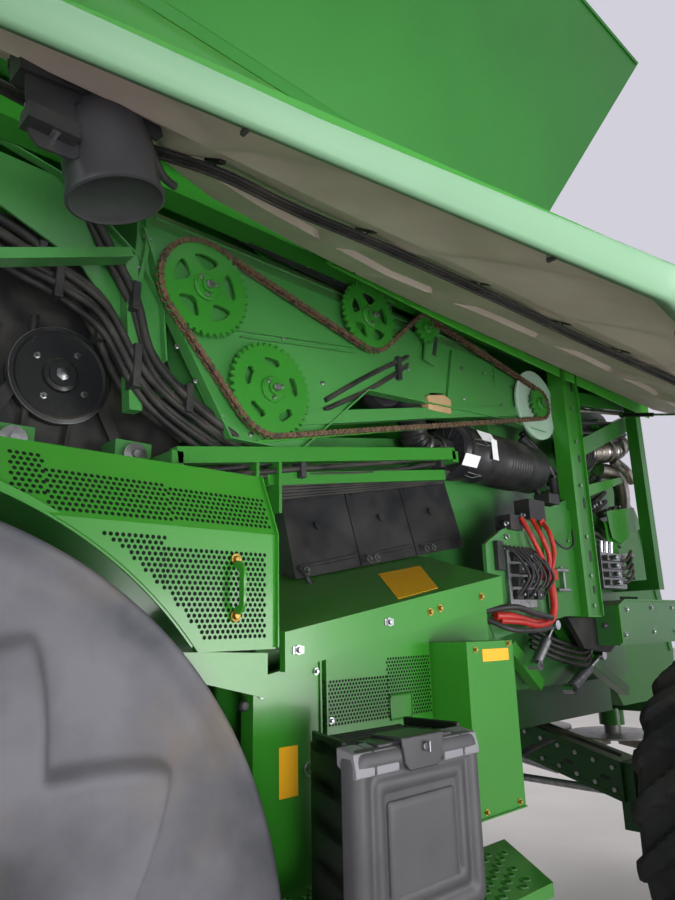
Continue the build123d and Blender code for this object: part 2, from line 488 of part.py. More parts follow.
def upper_rail(shield_rear):
    """Rail under the tank's edge with its posts and the hinge lugs of its shield."""
    rail = block(UPPER_FRONT, UPPER_REAR, UPPER_IN, UPPER_OUT, UPPER_LOW, UPPER_TOP)
    for x in (x for x in SHIELD_HINGES if x > shield_rear):
        lug = rod_x(SHIELD_HINGE_Y, SHIELD_HINGE_Z, x, x + HINGE_L, HINGE_R)
        lug += rod_x(SHIELD_HINGE_Y, SHIELD_HINGE_Z, x, x + 2 * HINGE_L + HINGE_GAP, HINGE_PIN_R)
        lug += block(x, x + HINGE_L, UPPER_OUT - 10, SHIELD_HINGE_Y - 4, SHIELD_HINGE_Z + 4, SHIELD_HINGE_Z + 13)
        lug += block(x, x + HINGE_L, UPPER_OUT - 20, UPPER_OUT + 8, SHIELD_HINGE_Z + 4, UPPER_LOW + 20)
        rail += lug
    rail += block(FRONT_POST_X, FRONT_POST_X - FRONT_POST_W, UPPER_IN, UPPER_IN + 60, GUARD_TOP_Z, UPPER_LOW)
    rear_x, rear_low = BODY_REAR + 10, 1900.0
    rail += block(rear_x, rear_x + 70, UPPER_IN, UPPER_IN + 70, rear_low, UPPER_LOW)
    rail += block(rear_x, rear_x + 70, BODY_HALF_W, UPPER_IN, rear_low, rear_low + 60)
    return rail


def upper_frame():
    post = block(POST_X - POST_W / 2, POST_X + POST_W / 2, POST_IN, POST_OUT - 2, POST_LOW, UPPER_LOW)
    post += block(POST_X - POST_W / 2, POST_X + POST_W / 2, BODY_HALF_W, POST_IN, POST_LOW, POST_LOW + 60)
    left = upper_rail(SHIELD_REAR) + post + equipment_plate() + strut_foot()
    return group(left, mirrored(upper_rail(RIGHT_SHIELD_REAR)))


def shield_width(x):
    """Depth of the shield from its hinge line at station x."""
    if x > SHIELD_KNEE:
        share = (SHIELD_FRONT - x) / (SHIELD_FRONT - SHIELD_KNEE)
        return SHIELD_FRONT_W + (SHIELD_KNEE_W - SHIELD_FRONT_W) * share
    share = (SHIELD_KNEE - x) / (SHIELD_KNEE - SHIELD_REAR)
    return SHIELD_KNEE_W + (SHIELD_REAR_W - SHIELD_KNEE_W) * share


def shield_closed(rear):
    """Left side shield as it hangs closed, with its hinge barrels, back to a rear station."""
    along = Vector(0, sin(radians(SHIELD_LEAN)), -cos(radians(SHIELD_LEAN)))
    plane = Plane(origin=(0, SHIELD_HINGE_Y, SHIELD_HINGE_Z), x_dir=(1, 0, 0), z_dir=Vector(1, 0, 0).cross(along))
    outline = [(SHIELD_FRONT, CORNER_FRONT_W), (SHIELD_FRONT, SHIELD_FRONT_W), (SHIELD_KNEE, SHIELD_KNEE_W),
               (rear, shield_width(rear)), (rear, SHIELD_START), (CORNER_END_X, SHIELD_START),
               (CORNER_MID_X, CORNER_MID_W)]
    skin = sheet_on(plane, outline, SHIELD_T)
    for x in (x for x in SHIELD_HINGES if x > rear):
        x0 = x + HINGE_L + HINGE_GAP
        barrel = rod_x(SHIELD_HINGE_Y, SHIELD_HINGE_Z, x0, x0 + HINGE_L, HINGE_R)
        leaf = sheet_on(plane, [(x0, 2), (x0, SHIELD_START + 30), (x0 + HINGE_L, SHIELD_START + 30),
                                (x0 + HINGE_L, 2)], 12)
        skin += barrel + leaf
        skin -= rod_x(SHIELD_HINGE_Y, SHIELD_HINGE_Z, x0 - 1, x0 + HINGE_L + 1, HINGE_PIN_R + HUB_CLEAR)
    return skin, plane


SHIELD_SWING = 90.0 - SHIELD_LEAN - SHIELD_OPEN_DROOP


def shields():
    closed, plane = shield_closed(SHIELD_REAR)
    ear = strut_ear(plane)
    hinge = Axis((0, SHIELD_HINGE_Y, SHIELD_HINGE_Z), (1, 0, 0))
    opened = (closed + ear).rotate(hinge, SHIELD_SWING)
    save("shield_left", opened)
    save("shield_right", mirrored(shield_closed(RIGHT_SHIELD_REAR)[0]))


def strut_eye(swing):
    """Centre (y, z) of the strut's upper eye with the shield swung open by the given angle."""
    angle = radians(-90.0 + SHIELD_LEAN + swing)
    y = SHIELD_HINGE_Y + STRUT_REACH * cos(angle) + STRUT_DROP * sin(angle)
    z = SHIELD_HINGE_Z + STRUT_REACH * sin(angle) - STRUT_DROP * cos(angle)
    return y, z


def strut_ear(plane):
    """Ear on the shield beside the strut's eye."""
    x0 = STRUT_X - STRUT_EYE_T / 2 - 3 - 8
    inner = plane.z_dir.Y < 0
    drop = -STRUT_DROP if not inner else STRUT_DROP
    outline = [(STRUT_REACH - 40, 0), (STRUT_REACH - 18, drop * 1.3), (STRUT_REACH + 18, drop * 1.3),
               (STRUT_REACH + 40, 0)]
    ear_plane = Plane(origin=(x0, SHIELD_HINGE_Y, SHIELD_HINGE_Z), x_dir=plane.y_dir, z_dir=(-1, 0, 0))
    sign = 1 if ear_plane.y_dir.dot(plane.z_dir) > 0 else -1
    face = ear_plane * Polygon(*[(u, sign * v) for u, v in outline], align=None)
    return extrude(face, amount=8, dir=(-1, 0, 0))


def strut():
    """Strut foot on the frame, barrel and rod, at the open shield's pose."""
    eye_y, eye_z = strut_eye(SHIELD_SWING)
    foot = Vector(STRUT_X, STRUT_FOOT_Y, STRUT_FOOT_Z)
    eye = Vector(STRUT_X, eye_y, eye_z)
    way = (eye - foot).normalized()
    end = foot + way * STRUT_BARREL_L
    barrel = rod(tuple(foot + way * 12), tuple(end), STRUT_BARREL_R)
    barrel += rod_x(foot.Y, foot.Z, STRUT_X - STRUT_EYE_T / 2, STRUT_X + STRUT_EYE_T / 2, STRUT_EYE_R)
    barrel -= rod_x(foot.Y, foot.Z, STRUT_X - 20, STRUT_X + 20, STRUT_PIN_R + HUB_CLEAR)
    bore_start = foot + way * STRUT_BORE_START
    barrel -= rod(tuple(bore_start), tuple(end + way * 1), STRUT_ROD_R + HUB_CLEAR)
    rod_part = rod(tuple(foot + way * STRUT_ROD_START), tuple(eye), STRUT_ROD_R)
    rod_part += rod_x(eye.Y, eye.Z, STRUT_X - STRUT_EYE_T / 2 - 2, STRUT_X + STRUT_EYE_T / 2, STRUT_EYE_R * 0.8)
    save("strut_barrel", barrel)
    save("strut_rod", rod_part)


def strut_foot():
    """Pin on the rear post for the strut's lower eye."""
    post_x = BODY_REAR + 80
    return rod_x(STRUT_FOOT_Y, STRUT_FOOT_Z, post_x - 20, STRUT_X + STRUT_EYE_T / 2 + 6, STRUT_PIN_R)


# Grain tank


def tank_section(shift):
    """Half outline of the tank's shell, moved inward by a wall thickness."""
    return [(TANK_OUT - shift, TANK_RIM), (TANK_OUT - shift, TANK_BULGE_Z + shift),
            (TANK_SIDE - shift, TANK_BULGE_Z + shift), (TANK_SIDE - shift, TANK_FLOOR_Z + shift),
            (TANK_SUMP - shift, TANK_FLOOR_Z + shift), (TANK_SUMP - shift, TANK_SUMP_Z + shift * 0.4),
            (TANK_BOTTOM - shift, TANK_BOTTOM_Z + shift)]


def grain_tank():
    def whole(shift, top):
        half = tank_section(shift)
        half[0] = (half[0][0], top)
        return half + [(-y, z) for y, z in reversed(half)]

    shell = end_prism(whole(0, TANK_RIM), TANK_REAR, TANK_FRONT)
    shell -= end_prism(whole(TANK_WALL, TANK_RIM + 10), TANK_REAR + TANK_WALL, TANK_FRONT - TANK_WALL)
    ridge = block(TANK_REAR, TANK_FRONT, -RIDGE_W / 2, RIDGE_W / 2, TANK_RIM - RIDGE_T, TANK_RIM)
    shell += ridge
    half = TANK_BOTTOM - SADDLE_IN
    for x in (TANK_FRONT - 300, TANK_REAR + 300):
        x1, top = x - SADDLE_L, TANK_BOTTOM_Z + TANK_WALL / 2
        shell += side_prism([(x, body_top(x)), (x, top), (x1, top), (x1, body_top(x1))], -half, half)
    return shell


def tank_flap():
    """Left flap standing open, a sheet that widens from its hinge to its top edge."""
    rise_z = TANK_RIM + FLAP_RISE - FLAP_HINGE_Z
    out_y = FLAP_OUT_TOP - FLAP_HINGE_Y
    lean = atan2(out_y, rise_z)
    length = hypot(out_y, rise_z)
    along = Vector(0, sin(lean), cos(lean))
    plane = Plane(origin=(0, FLAP_HINGE_Y, FLAP_HINGE_Z), x_dir=(1, 0, 0), z_dir=Vector(1, 0, 0).cross(along))
    outline = [(TANK_FRONT - 6, FLAP_START), (TANK_FRONT + FLAP_FRONT_FLARE, length),
               (TANK_REAR - FLAP_REAR_FLARE, length), (TANK_REAR + 6, FLAP_START)]
    sheet = sheet_on(plane, outline, FLAP_T)
    for x in FLAP_HINGES:
        x1 = x + FLAP_BARREL_L
        sheet += rod_x(FLAP_HINGE_Y, FLAP_HINGE_Z, x, x1, FLAP_BARREL_R)
        sheet += sheet_on(plane, [(x, 0), (x, FLAP_START + 30), (x1, FLAP_START + 30), (x1, 0)], 8)
        sheet -= rod_x(FLAP_HINGE_Y, FLAP_HINGE_Z, x - 1, x1 + 1, FLAP_PIN_R + HUB_CLEAR)
    return sheet


FLAP_LEAN = degrees(atan2(FLAP_OUT_TOP - FLAP_HINGE_Y, TANK_RIM + FLAP_RISE - FLAP_HINGE_Z))
FLAP_FOLD = 90.0 + FLAP_LEAN - 4.0


def flap_lugs():
    """Hinge lugs on the tank's rim, between the flap's barrels."""
    lugs = None
    for x in FLAP_HINGES:
        x0 = x + FLAP_BARREL_L + HINGE_GAP
        x1 = x0 + FLAP_LUG_L
        lug = rod_x(FLAP_HINGE_Y, FLAP_HINGE_Z, x0, x1, FLAP_BARREL_R)
        lug += rod_x(FLAP_HINGE_Y, FLAP_HINGE_Z, x, x1, FLAP_PIN_R)
        lug += block(x0, x1, FLAP_HINGE_Y - FLAP_START + 6, FLAP_HINGE_Y, TANK_RIM - 30, FLAP_HINGE_Z)
        lugs = lug if lugs is None else lugs + lug
    return lugs + mirrored(lugs)


def tank_curtains():
    """Cloth end walls between the open flaps, from the rim to the flaps' top corners."""
    top_z = TANK_RIM + FLAP_RISE - 90
    share = (top_z - FLAP_HINGE_Z) / (TANK_RIM + FLAP_RISE - FLAP_HINGE_Z)
    top_y = FLAP_HINGE_Y + (FLAP_OUT_TOP - FLAP_HINGE_Y) * share - CURTAIN_GAP
    base_y = TANK_OUT - CURTAIN_GAP
    base_z = TANK_RIM + 0.3
    pieces = []
    for base_x, flare, sign in ((TANK_FRONT, FLAP_FRONT_FLARE, 1), (TANK_REAR, FLAP_REAR_FLARE, -1)):
        x0 = base_x - sign * TANK_WALL / 2
        x1 = x0 + sign * (flare * share - 25)
        thick = sign * CURTAIN_T
        lower = Plane.XY.offset(base_z) * Polygon((x0, -base_y), (x0, base_y), (x0 - thick, base_y),
                                                  (x0 - thick, -base_y), align=None)
        upper = Plane.XY.offset(top_z) * Polygon((x1, -top_y), (x1, top_y), (x1 - thick, top_y),
                                                 (x1 - thick, -top_y), align=None)
        pieces.append(loft([lower, upper], ruled=True))
    return group(*pieces)


# Unloading auger


def unloading_auger():
    tube = rod_x(AUGER_Y, AUGER_Z, AUGER_X, AUGER_X - AUGER_LENGTH + SPOUT_L - 60, AUGER_R)
    elbow = Pos(AUGER_X, AUGER_Y, AUGER_Z) * Sphere(ELBOW_R)
    riser = rod_z(AUGER_X, AUGER_Y, AUGER_LOW_Z, AUGER_Z, AUGER_R)
    flange = rod_z(AUGER_X, AUGER_Y, AUGER_LOW_Z, AUGER_LOW_Z + 20, AUGER_R + 16)
    end = AUGER_X - AUGER_LENGTH
    spout = side_prism([(end + SPOUT_L, AUGER_Z + SPOUT_R - 20), (end + 90, AUGER_Z + SPOUT_R - 30),
                        (end, AUGER_Z - 60), (end + 60, AUGER_Z - SPOUT_R - 90),
                        (end + SPOUT_L - 20, AUGER_Z - SPOUT_R - 40)], AUGER_Y - SPOUT_R + 40, AUGER_Y + SPOUT_R - 40)
    socket = rod_z(AUGER_X, AUGER_Y, AUGER_LOW_Z - 1, AUGER_LOW_Z + SPIGOT_L + 2, SPIGOT_R + HUB_CLEAR)
    return tube + elbow + riser + flange + spout - socket


def auger_foot():
    """Fixed lower elbow of the auger, from the tank's sump out to the swing joint."""
    foot = rod_z(AUGER_X, AUGER_Y, AUGER_FOOT_Z, AUGER_LOW_Z - 1, AUGER_R)
    foot += Pos(AUGER_X, AUGER_Y, AUGER_FOOT_Z) * Sphere(ELBOW_R)
    foot += rod_y(AUGER_X, AUGER_FOOT_Z, 700, AUGER_Y, AUGER_R)
    foot += rod_z(AUGER_X, AUGER_Y, AUGER_LOW_Z - 24, AUGER_LOW_Z - 1, AUGER_R + 16)
    foot += rod_z(AUGER_X, AUGER_Y, AUGER_LOW_Z - 30, AUGER_LOW_Z + SPIGOT_L, SPIGOT_R)
    foot += block(AUGER_X + 60, TANK_FRONT, 600, 740, AUGER_FOOT_Z - 100, TANK_SUMP_Z + 50)
    return foot


# Drives on the left

# Each wheel of the chain drive: station, height, pitch radius, windows in its disc
SPROCKETS = {
    "upper": (-1002.0, 2813.0, 150.0, 5),
    "lower": (-1274.0, 2519.0, 150.0, 5),
    "idler": (-1774.0, 2946.0, 130.0, 5),
    "tensioner": (-2133.0, 3000.0, 48.0, 0),
    "drive": (-3040.0, 2835.0, 65.0, 0),
}


def sprocket(x, z, radius, windows):
    """Toothed disc with windows, hub and its shaft into the plate behind."""
    half = SPROCKET_T / 2
    disc = rod_y(x, z, DRIVE_Y - half, DRIVE_Y + half, radius)
    for i in range(windows):
        turn = 2 * pi * (i + 0.25) / windows
        cx, cz = x + radius * 0.58 * cos(turn), z + radius * 0.58 * sin(turn)
        disc -= rod_y(cx, cz, DRIVE_Y - half - 1, DRIVE_Y + half + 1, radius * 0.19)
    disc += rod_y(x, z, PLATE_OUT, DRIVE_Y + half + 14, SPROCKET_HUB_R if windows else radius * 0.5)
    return disc


def drive_sprockets():
    x, z, _, _ = SPROCKETS["drive"]
    guard_disc = rod_y(x, z, GUARD_DISC_Y, GUARD_DISC_Y + GUARD_DISC_T, GUARD_DISC_R)
    rows = [sprocket(*row) for name, row in SPROCKETS.items() if name != "drive"]
    return group(*rows, sprocket(*SPROCKETS["drive"]) + guard_disc)


def tangent_line(a, b, side_a, side_b):
    """Points where the chain leaves wheel a and meets wheel b; a side is 1 or -1 for its turn."""
    (ax, az, ar), (bx, bz, br) = a, b
    ra, rb = ar * side_a, br * side_b
    dx, dz = bx - ax, bz - az
    dist = hypot(dx, dz)
    base = atan2(dz, dx)
    swing = atan2((dist ** 2 - (ra - rb) ** 2) ** 0.5, ra - rb)
    angle = base - swing
    ux, uz = cos(angle), sin(angle)
    return (ax + ra * ux, az + ra * uz), (bx + rb * ux, bz + rb * uz)


# The chain's way round: wheel and the side it wraps, 1 where the wheel is inside the loop
CHAIN_WAY = (("upper", 1), ("idler", -1), ("tensioner", 1), ("drive", 1), ("lower", 1))


def chain_loop(offset):
    """Closed outline of the chain's inner or outer face, as lines and arcs."""
    wheels_on_way = []
    for name, side in CHAIN_WAY:
        x, z, radius, _ = SPROCKETS[name]
        wheels_on_way.append(((x, z, radius + CHAIN_T / 2 + offset * side), side))
    count = len(wheels_on_way)
    spans = []
    for i in range(count):
        (a, side_a), (b, side_b) = wheels_on_way[i], wheels_on_way[(i + 1) % count]
        spans.append(tangent_line(a, b, side_a, side_b))
    edges = []
    for i in range(count):
        start, end = spans[i]
        edges.append(Line(start, end))
        wheel, side = wheels_on_way[(i + 1) % count]
        leave = spans[(i + 1) % count][0]
        a0 = atan2(end[1] - wheel[1], end[0] - wheel[0])
        a1 = atan2(leave[1] - wheel[1], leave[0] - wheel[0])
        turn = (a1 - a0) % (2 * pi) if side > 0 else -((a0 - a1) % (2 * pi))
        mid = a0 + turn / 2
        middle = (wheel[0] + wheel[2] * cos(mid), wheel[1] + wheel[2] * sin(mid))
        if abs(turn) > 1e-6:
            edges.append(ThreePointArc(end, middle, leave))
    return make_face(Plane.XZ.offset(-DRIVE_Y) * Curve(children=edges))


def drive_chain():
    half = CHAIN_T / 2 - CHAIN_GAP
    ring = chain_loop(half) - chain_loop(-half)
    return Pos(0, CHAIN_W / 2, 0) * extrude(ring, amount=CHAIN_W, dir=(0, -1, 0))


def drive_case():
    """Plate behind the sprockets and the round-backed housing above it."""
    y0, y1 = PLATE_OUT - PLATE_T, PLATE_OUT
    plate = side_prism([(-790, 2960), (-900, 2700), (-1130, 2330), (-1420, 2330), (-1780, 2640), (-2700, 2700),
                        (-3200, 2700), (-3200, 2930), (-2600, 2990), (-800, 2990)], y0, y1)
    housing = rod_x(TUBE_Y, TUBE_Z, TUBE_FRONT, CONE_FRONT, TUBE_R)
    housing += rod_x(TUBE_Y, TUBE_Z, CONE_FRONT, TUBE_REAR, CONE_R)
    cone_l = CONE_FRONT - CONE_REAR
    housing += Pos((CONE_FRONT + CONE_REAR) / 2, TUBE_Y, TUBE_Z) * Rot(0, 90, 0) * Cone(CONE_R, TUBE_R, cone_l)
    plate += side_prism([(-900, 2960), (-1130, 2330), (-1420, 2330), (-1700, 2640), (-1700, 2960)], BODY_HALF_W, y0)
    return plate + housing


def belt_drives():
    y0 = BELT_PULLEY_Y - BELT_W / 2
    stand = side_prism([(-480, body_top(-480)), (-560, 2560), (-720, 2560), (-800, body_top(-800))], y0 - 60, y0 - 30)
    pulley = rod_y(BELT_PULLEY_X, BELT_PULLEY_Z, y0, y0 + BELT_W, BELT_PULLEY_R)
    pulley += rod_y(BELT_PULLEY_X, BELT_PULLEY_Z, y0 - 40, y0 + BELT_W + 20, 40)
    return stand + pulley


# Engine deck


def engine():
    half = ENGINE_W / 2
    base = DECK_Z
    body = block(ENGINE_FRONT, ENGINE_REAR, -half, half, base, base + ENGINE_H)
    return body


def exhaust():
    muffler = rod_x(EXHAUST_Y, EXHAUST_Z, EXHAUST_FRONT, EXHAUST_REAR, EXHAUST_R)
    for x in (EXHAUST_FRONT - 120, EXHAUST_REAR + 160):
        muffler += block(x, x - 40, EXHAUST_Y - 60, BODY_HALF_W - 2, DECK_Z, EXHAUST_Z)
    return muffler


def engine_hood():
    """Roof over the engine with its turned-down sides."""
    outer = [(-HOOD_OUT, UPPER_TOP), (-HOOD_OUT, HOOD_TOP - 90), (-HOOD_OUT + 90, HOOD_TOP),
             (HOOD_OUT - 90, HOOD_TOP), (HOOD_OUT, HOOD_TOP - 90), (HOOD_OUT, UPPER_TOP)]
    t = HOOD_T
    inner = [(-HOOD_OUT + t, UPPER_TOP - 1), (-HOOD_OUT + t, HOOD_TOP - 90 - t / 3), (-HOOD_OUT + 90 + t / 3, HOOD_TOP - t),
             (HOOD_OUT - 90 - t / 3, HOOD_TOP - t), (HOOD_OUT - t, HOOD_TOP - 90 - t / 3), (HOOD_OUT - t, UPPER_TOP - 1)]
    shell = end_prism(outer, HOOD_REAR, HOOD_FRONT)
    shell -= end_prism(inner, HOOD_REAR + t, HOOD_FRONT - t)
    return shell


def cooling_screen():
    """Round air screen and its housing on the right of the engine."""
    half, y = SCREEN_BOX_L / 2, -UPPER_OUT + 10
    box = block(SCREEN_X - half, SCREEN_X + half, y, -BODY_HALF_W, SCREEN_BOX_LOW, UPPER_LOW - 2)
    return box + rod_y(SCREEN_X, SCREEN_Z, y, y - SCREEN_DEEP, SCREEN_R)


def air_cleaner():
    x0, x1 = CLEANER_X + CLEANER_L / 2, CLEANER_X - CLEANER_L / 2
    can = rod_x(CLEANER_Y, CLEANER_Z, x0, x1, CLEANER_R)
    can += rod_x(CLEANER_Y, CLEANER_Z, x0 - 70, x0 - 40, CLEANER_R + 6)
    for x in (x0 - 180, x1 + 120):
        can += block(x, x - 40, BODY_HALF_W, CLEANER_Y - 60, CLEANER_Z - 80, CLEANER_Z - 20)
    return can


def equipment_plate():
    """Relay plate beside the post."""
    plate = block(POST_X + POST_W / 2, PLATE_END, POST_IN + 30, POST_IN + 50, POST_LOW, 2280)
    return plate + block(PLATE_END - 60, PLATE_END - 20, BODY_HALF_W, POST_IN + 30, 1900, 1960)


# Rear end


def rear_hood():
    outline = [(BODY_REAR, DECK_Z - DECK_T), (-4850, DECK_Z - DECK_T), (-5300, 2350), (-5470, 1500), (-5400, 1180),
               (-4560, 1180), (BODY_REAR - 60, 1500)]
    t = HOOD_WALL
    shell = side_prism(outline, -HOOD_HALF_W, HOOD_HALF_W)
    inner = [(BODY_REAR - t, DECK_Z - DECK_T - t), (-4850 + t * 0.4, DECK_Z - DECK_T - t), (-5300 + t, 2350),
             (-5470 + t, 1500), (-5400 + t, 1170), (-4560 - t, 1170), (BODY_REAR - 60 - t, 1500)]
    return shell - side_prism(inner, -HOOD_HALF_W + t, HOOD_HALF_W - t)


def straw_chopper():
    half = HOOD_HALF_W - 30
    drum = rod_y(CHOPPER_X, CHOPPER_Z, -half, half, CHOPPER_R)
    return drum + rod_y(CHOPPER_X, CHOPPER_Z, -HOOD_HALF_W + HOOD_WALL, HOOD_HALF_W - HOOD_WALL, 30)


def spreader(sign):
    """Spreader disc with its blades."""
    disc = rod_z(SPREADER_X, SPREADER_Y * sign, SPREADER_Z, SPREADER_Z + SPREADER_T, SPREADER_R)
    disc += rod_z(SPREADER_X, SPREADER_Y * sign, SPREADER_Z, SPREADER_Z + SPREADER_BOSS_H, SPREADER_BOSS_R)
    disc -= rod_z(SPREADER_X, SPREADER_Y * sign, SPREADER_Z + SPREADER_T, SPREADER_Z + SPREADER_BOSS_H + 1,
                  SPREADER_SHAFT_R + HUB_CLEAR)
    for i in range(SPREADER_BLADES):
        blade = block(SPREADER_X + 60, SPREADER_X + SPREADER_R, SPREADER_Y * sign - 4, SPREADER_Y * sign + 4,
                      SPREADER_Z - 60, SPREADER_Z)
        disc += blade.rotate(Axis((SPREADER_X, SPREADER_Y * sign, 0), (0, 0, 1)), 360.0 * i / SPREADER_BLADES)
    return disc


def spreader_frame():
    """Gearboxes above the spreader discs on a cross bar under the rear hood."""
    bar = block(SPREADER_X - 40, SPREADER_X + 40, -HOOD_HALF_W, HOOD_HALF_W, SPREADER_Z + 180, SPREADER_Z + 260)
    for sign in (-1, 1):
        bar += rod_z(SPREADER_X, SPREADER_Y * sign, SPREADER_Z + SPREADER_BOSS_H + 2, SPREADER_Z + 190, 90)
        bar += rod_z(SPREADER_X, SPREADER_Y * sign, SPREADER_Z + SPREADER_T + 3, SPREADER_Z + 190, SPREADER_SHAFT_R)
        bar += block(SPREADER_X - 40, SPREADER_X + 40, sign * (HOOD_HALF_W - 24), sign * HOOD_HALF_W,
                     SPREADER_Z + 180, 1180)
    return bar


# Cab


def cab_outline(inset):
    """Cab seen from the side, moved inward by a wall."""
    return [(CAB_REAR + inset, CAB_FLOOR + inset), (CAB_REAR + inset, CAB_TOP - inset),
            (CAB_FRONT - inset, CAB_TOP - inset), (CAB_NOSE - inset, CAB_NOSE_Z), (CAB_TOE - inset, CAB_FLOOR + inset)]


DOOR_OUTLINE = [(DOOR_REAR, DOOR_SILL), (DOOR_REAR, DOOR_HEAD), (DOOR_FRONT, DOOR_HEAD),
                (DOOR_FRONT + 70, CAB_NOSE_Z), (DOOR_FRONT - 60, DOOR_SILL)]
QUARTER_OUTLINE = [(CAB_REAR + 90, 2700.0), (CAB_REAR + 90, DOOR_HEAD), (DOOR_REAR - 60, DOOR_HEAD),
                   (DOOR_REAR - 60, 2700.0)]


def inset_outline(points, inset):
    """A convex outline moved inward by an equal distance on every side."""
    cx = sum(x for x, _ in points) / len(points)
    cz = sum(z for _, z in points) / len(points)
    moved = []
    for x, z in points:
        moved.append((x + (inset if x < cx else -inset), z + (inset if z < cz - 1 else -inset)))
    return moved


WINDSCREEN = [(-CAB_HALF_W + 60, 2230.0), (-CAB_HALF_W + 60, CAB_TOP - 60), (CAB_HALF_W - 60, CAB_TOP - 60),
              (CAB_HALF_W - 60, 2230.0)]


def cab_shell():
    w, t = CAB_HALF_W, CAB_WALL
    shell = side_prism(cab_outline(0), -w, w) - side_prism(cab_outline(t), -w + t, w - t)
    shell -= side_prism(DOOR_OUTLINE, w - t - 1, w + 1)
    shell -= side_prism(DOOR_OUTLINE, -w - 1, -w + t + 1)
    for sign in (-1, 1):
        y0, y1 = sorted((sign * (w - t - 1), sign * (w + 1)))
        shell -= side_prism(QUARTER_OUTLINE, y0, y1)
    shell -= end_prism(WINDSCREEN, CAB_TOE - 100, CAB_NOSE + 50)
    shell -= end_prism([(-600, 2700), (-600, CAB_TOP - 80), (600, CAB_TOP - 80), (600, 2700)],
                       CAB_REAR - 1, CAB_REAR + t + 1)
    for y in (-820.0, 700.0):
        for x in (CAB_REAR + 20, BODY_FRONT - 130):
            shell += block(x, x + 120, y, y + 120, CHEEK_TOP, CAB_FLOOR)
    return shell


def screen_panes():
    """Windscreen panes that follow the front edges of the cab."""
    t = CAB_WALL
    outer = side_prism(cab_outline(t / 2 - GLASS_T / 2), -CAB_HALF_W, CAB_HALF_W)
    outer -= side_prism(cab_outline(t / 2 + GLASS_T / 2), -CAB_HALF_W, CAB_HALF_W)
    return outer & end_prism(WINDSCREEN, CAB_TOE - 60, CAB_NOSE + 50)


def cab_glass():
    w, t = CAB_HALF_W, CAB_WALL
    mid = w - t / 2
    pieces = [screen_panes()]
    for sign in (-1, 1):
        y0, y1 = sorted((sign * (mid - GLASS_T / 2), sign * (mid + GLASS_T / 2)))
        pieces.append(side_prism(QUARTER_OUTLINE, y0, y1))
    pieces.append(side_prism(DOOR_OUTLINE, -mid - GLASS_T / 2, -mid + GLASS_T / 2))
    pieces.append(end_prism([(-600, 2700), (-600, CAB_TOP - 80), (600, CAB_TOP - 80), (600, 2700)],
                            CAB_REAR + t / 2 - GLASS_T / 2, CAB_REAR + t / 2 + GLASS_T / 2))
    return group(*pieces)


def cab_roof():
    over = CAB_ROOF_OVER
    roof = side_prism([(CAB_REAR - 60, CAB_TOP), (CAB_REAR - 40, CAB_TOP + CAB_ROOF_T - 40),
                       (CAB_REAR + 100, CAB_TOP + CAB_ROOF_T), (CAB_FRONT, CAB_TOP + CAB_ROOF_T),
                       (CAB_FRONT + over, CAB_TOP + 110), (CAB_FRONT + over, CAB_TOP)], -CAB_HALF_W - 40, CAB_HALF_W + 40)
    return roof


def cab_door():
    w, t = CAB_HALF_W, CAB_WALL
    outline = inset_outline(DOOR_OUTLINE, DOOR_GAP)
    hole = inset_outline(DOOR_OUTLINE, DOOR_GAP + DOOR_FRAME)
    frame = side_prism(outline, w - t + 5, w) - side_prism(hole, w - t, w + 5)
    x, y = DOOR_REAR - 20, w + DOOR_HINGE_OUT
    for z in DOOR_HINGES:
        z1 = z + DOOR_BARREL_L
        frame += rod_z(x, y, z, z1, DOOR_BARREL_R)
        frame += block(x, DOOR_REAR + 50, y - 6, y + 4, z, z1)
        frame += block(DOOR_REAR + 30, DOOR_REAR + 50, w - 1, y, z, z1)
        frame -= rod_z(x, y, z - 1, z1 + 1, DOOR_PIN_R + HUB_CLEAR)
    pane_y = w - t / 2
    pane = side_prism(hole, pane_y - GLASS_T / 2, pane_y + GLASS_T / 2)
    return frame, pane


def door_hinge_lugs():
    lugs = None
    x, y = DOOR_REAR - 20, CAB_HALF_W + DOOR_HINGE_OUT
    for z in DOOR_HINGES:
        z0 = z + DOOR_BARREL_L + HINGE_GAP
        lug = rod_z(x, y, z0, z0 + 40, DOOR_BARREL_R) + rod_z(x, y, z, z0 + 40, DOOR_PIN_R)
        lug += block(x - DOOR_BARREL_R, x + 6, CAB_HALF_W - 1, y, z0, z0 + 40)
        lugs = lug if lugs is None else lugs + lug
    return lugs


def mirrors():
    pad = block(CAB_FRONT - 100, CAB_FRONT - 20, CAB_HALF_W, CAB_HALF_W + 20, 3450, 3550)
    arm = pad + rod((CAB_FRONT - 60, CAB_HALF_W + 12, 3500), (CAB_FRONT + 120, MIRROR_OUT - 200, 3560), 16)
    glass = block(CAB_FRONT + 90, CAB_FRONT + 140, MIRROR_OUT - 260, MIRROR_OUT, 3180, 3580)
    return arm + glass


def cab_interior():
    floor = CAB_FLOOR + CAB_WALL
    seat_x = 1000.0
    seat = block(seat_x - 170, seat_x + 170, -150, 150, floor, floor + 330)
    seat += block(seat_x - 250, seat_x + 250, -250, 250, floor + 330, floor + 470)
    seat += side_prism([(seat_x - 250, floor + 400), (seat_x - 330, floor + 1080), (seat_x - 230, floor + 1080),
                        (seat_x - 130, floor + 470)], -240, 240)
    console = block(seat_x - 200, seat_x + 380, -470, -280, floor, floor + 640)
    column = rod((1700, 0, floor + 6), (1620, 0, floor + 620), 35) + rod_z(1700, 0, floor, floor + 30, 60)
    wheel = Plane(origin=(1600, 0, floor + 680), z_dir=Vector(-0.35, 0, 1)) * Torus(190, 16)
    spokes = rod((1620, 0, floor + 610), (1600, 0, floor + 690), 26)
    bar = rod((1606, -190, floor + 682), (1606, 190, floor + 682), 10)
    return group(seat, console, column + wheel + spokes + bar)


# Feeder house and its lift cylinders


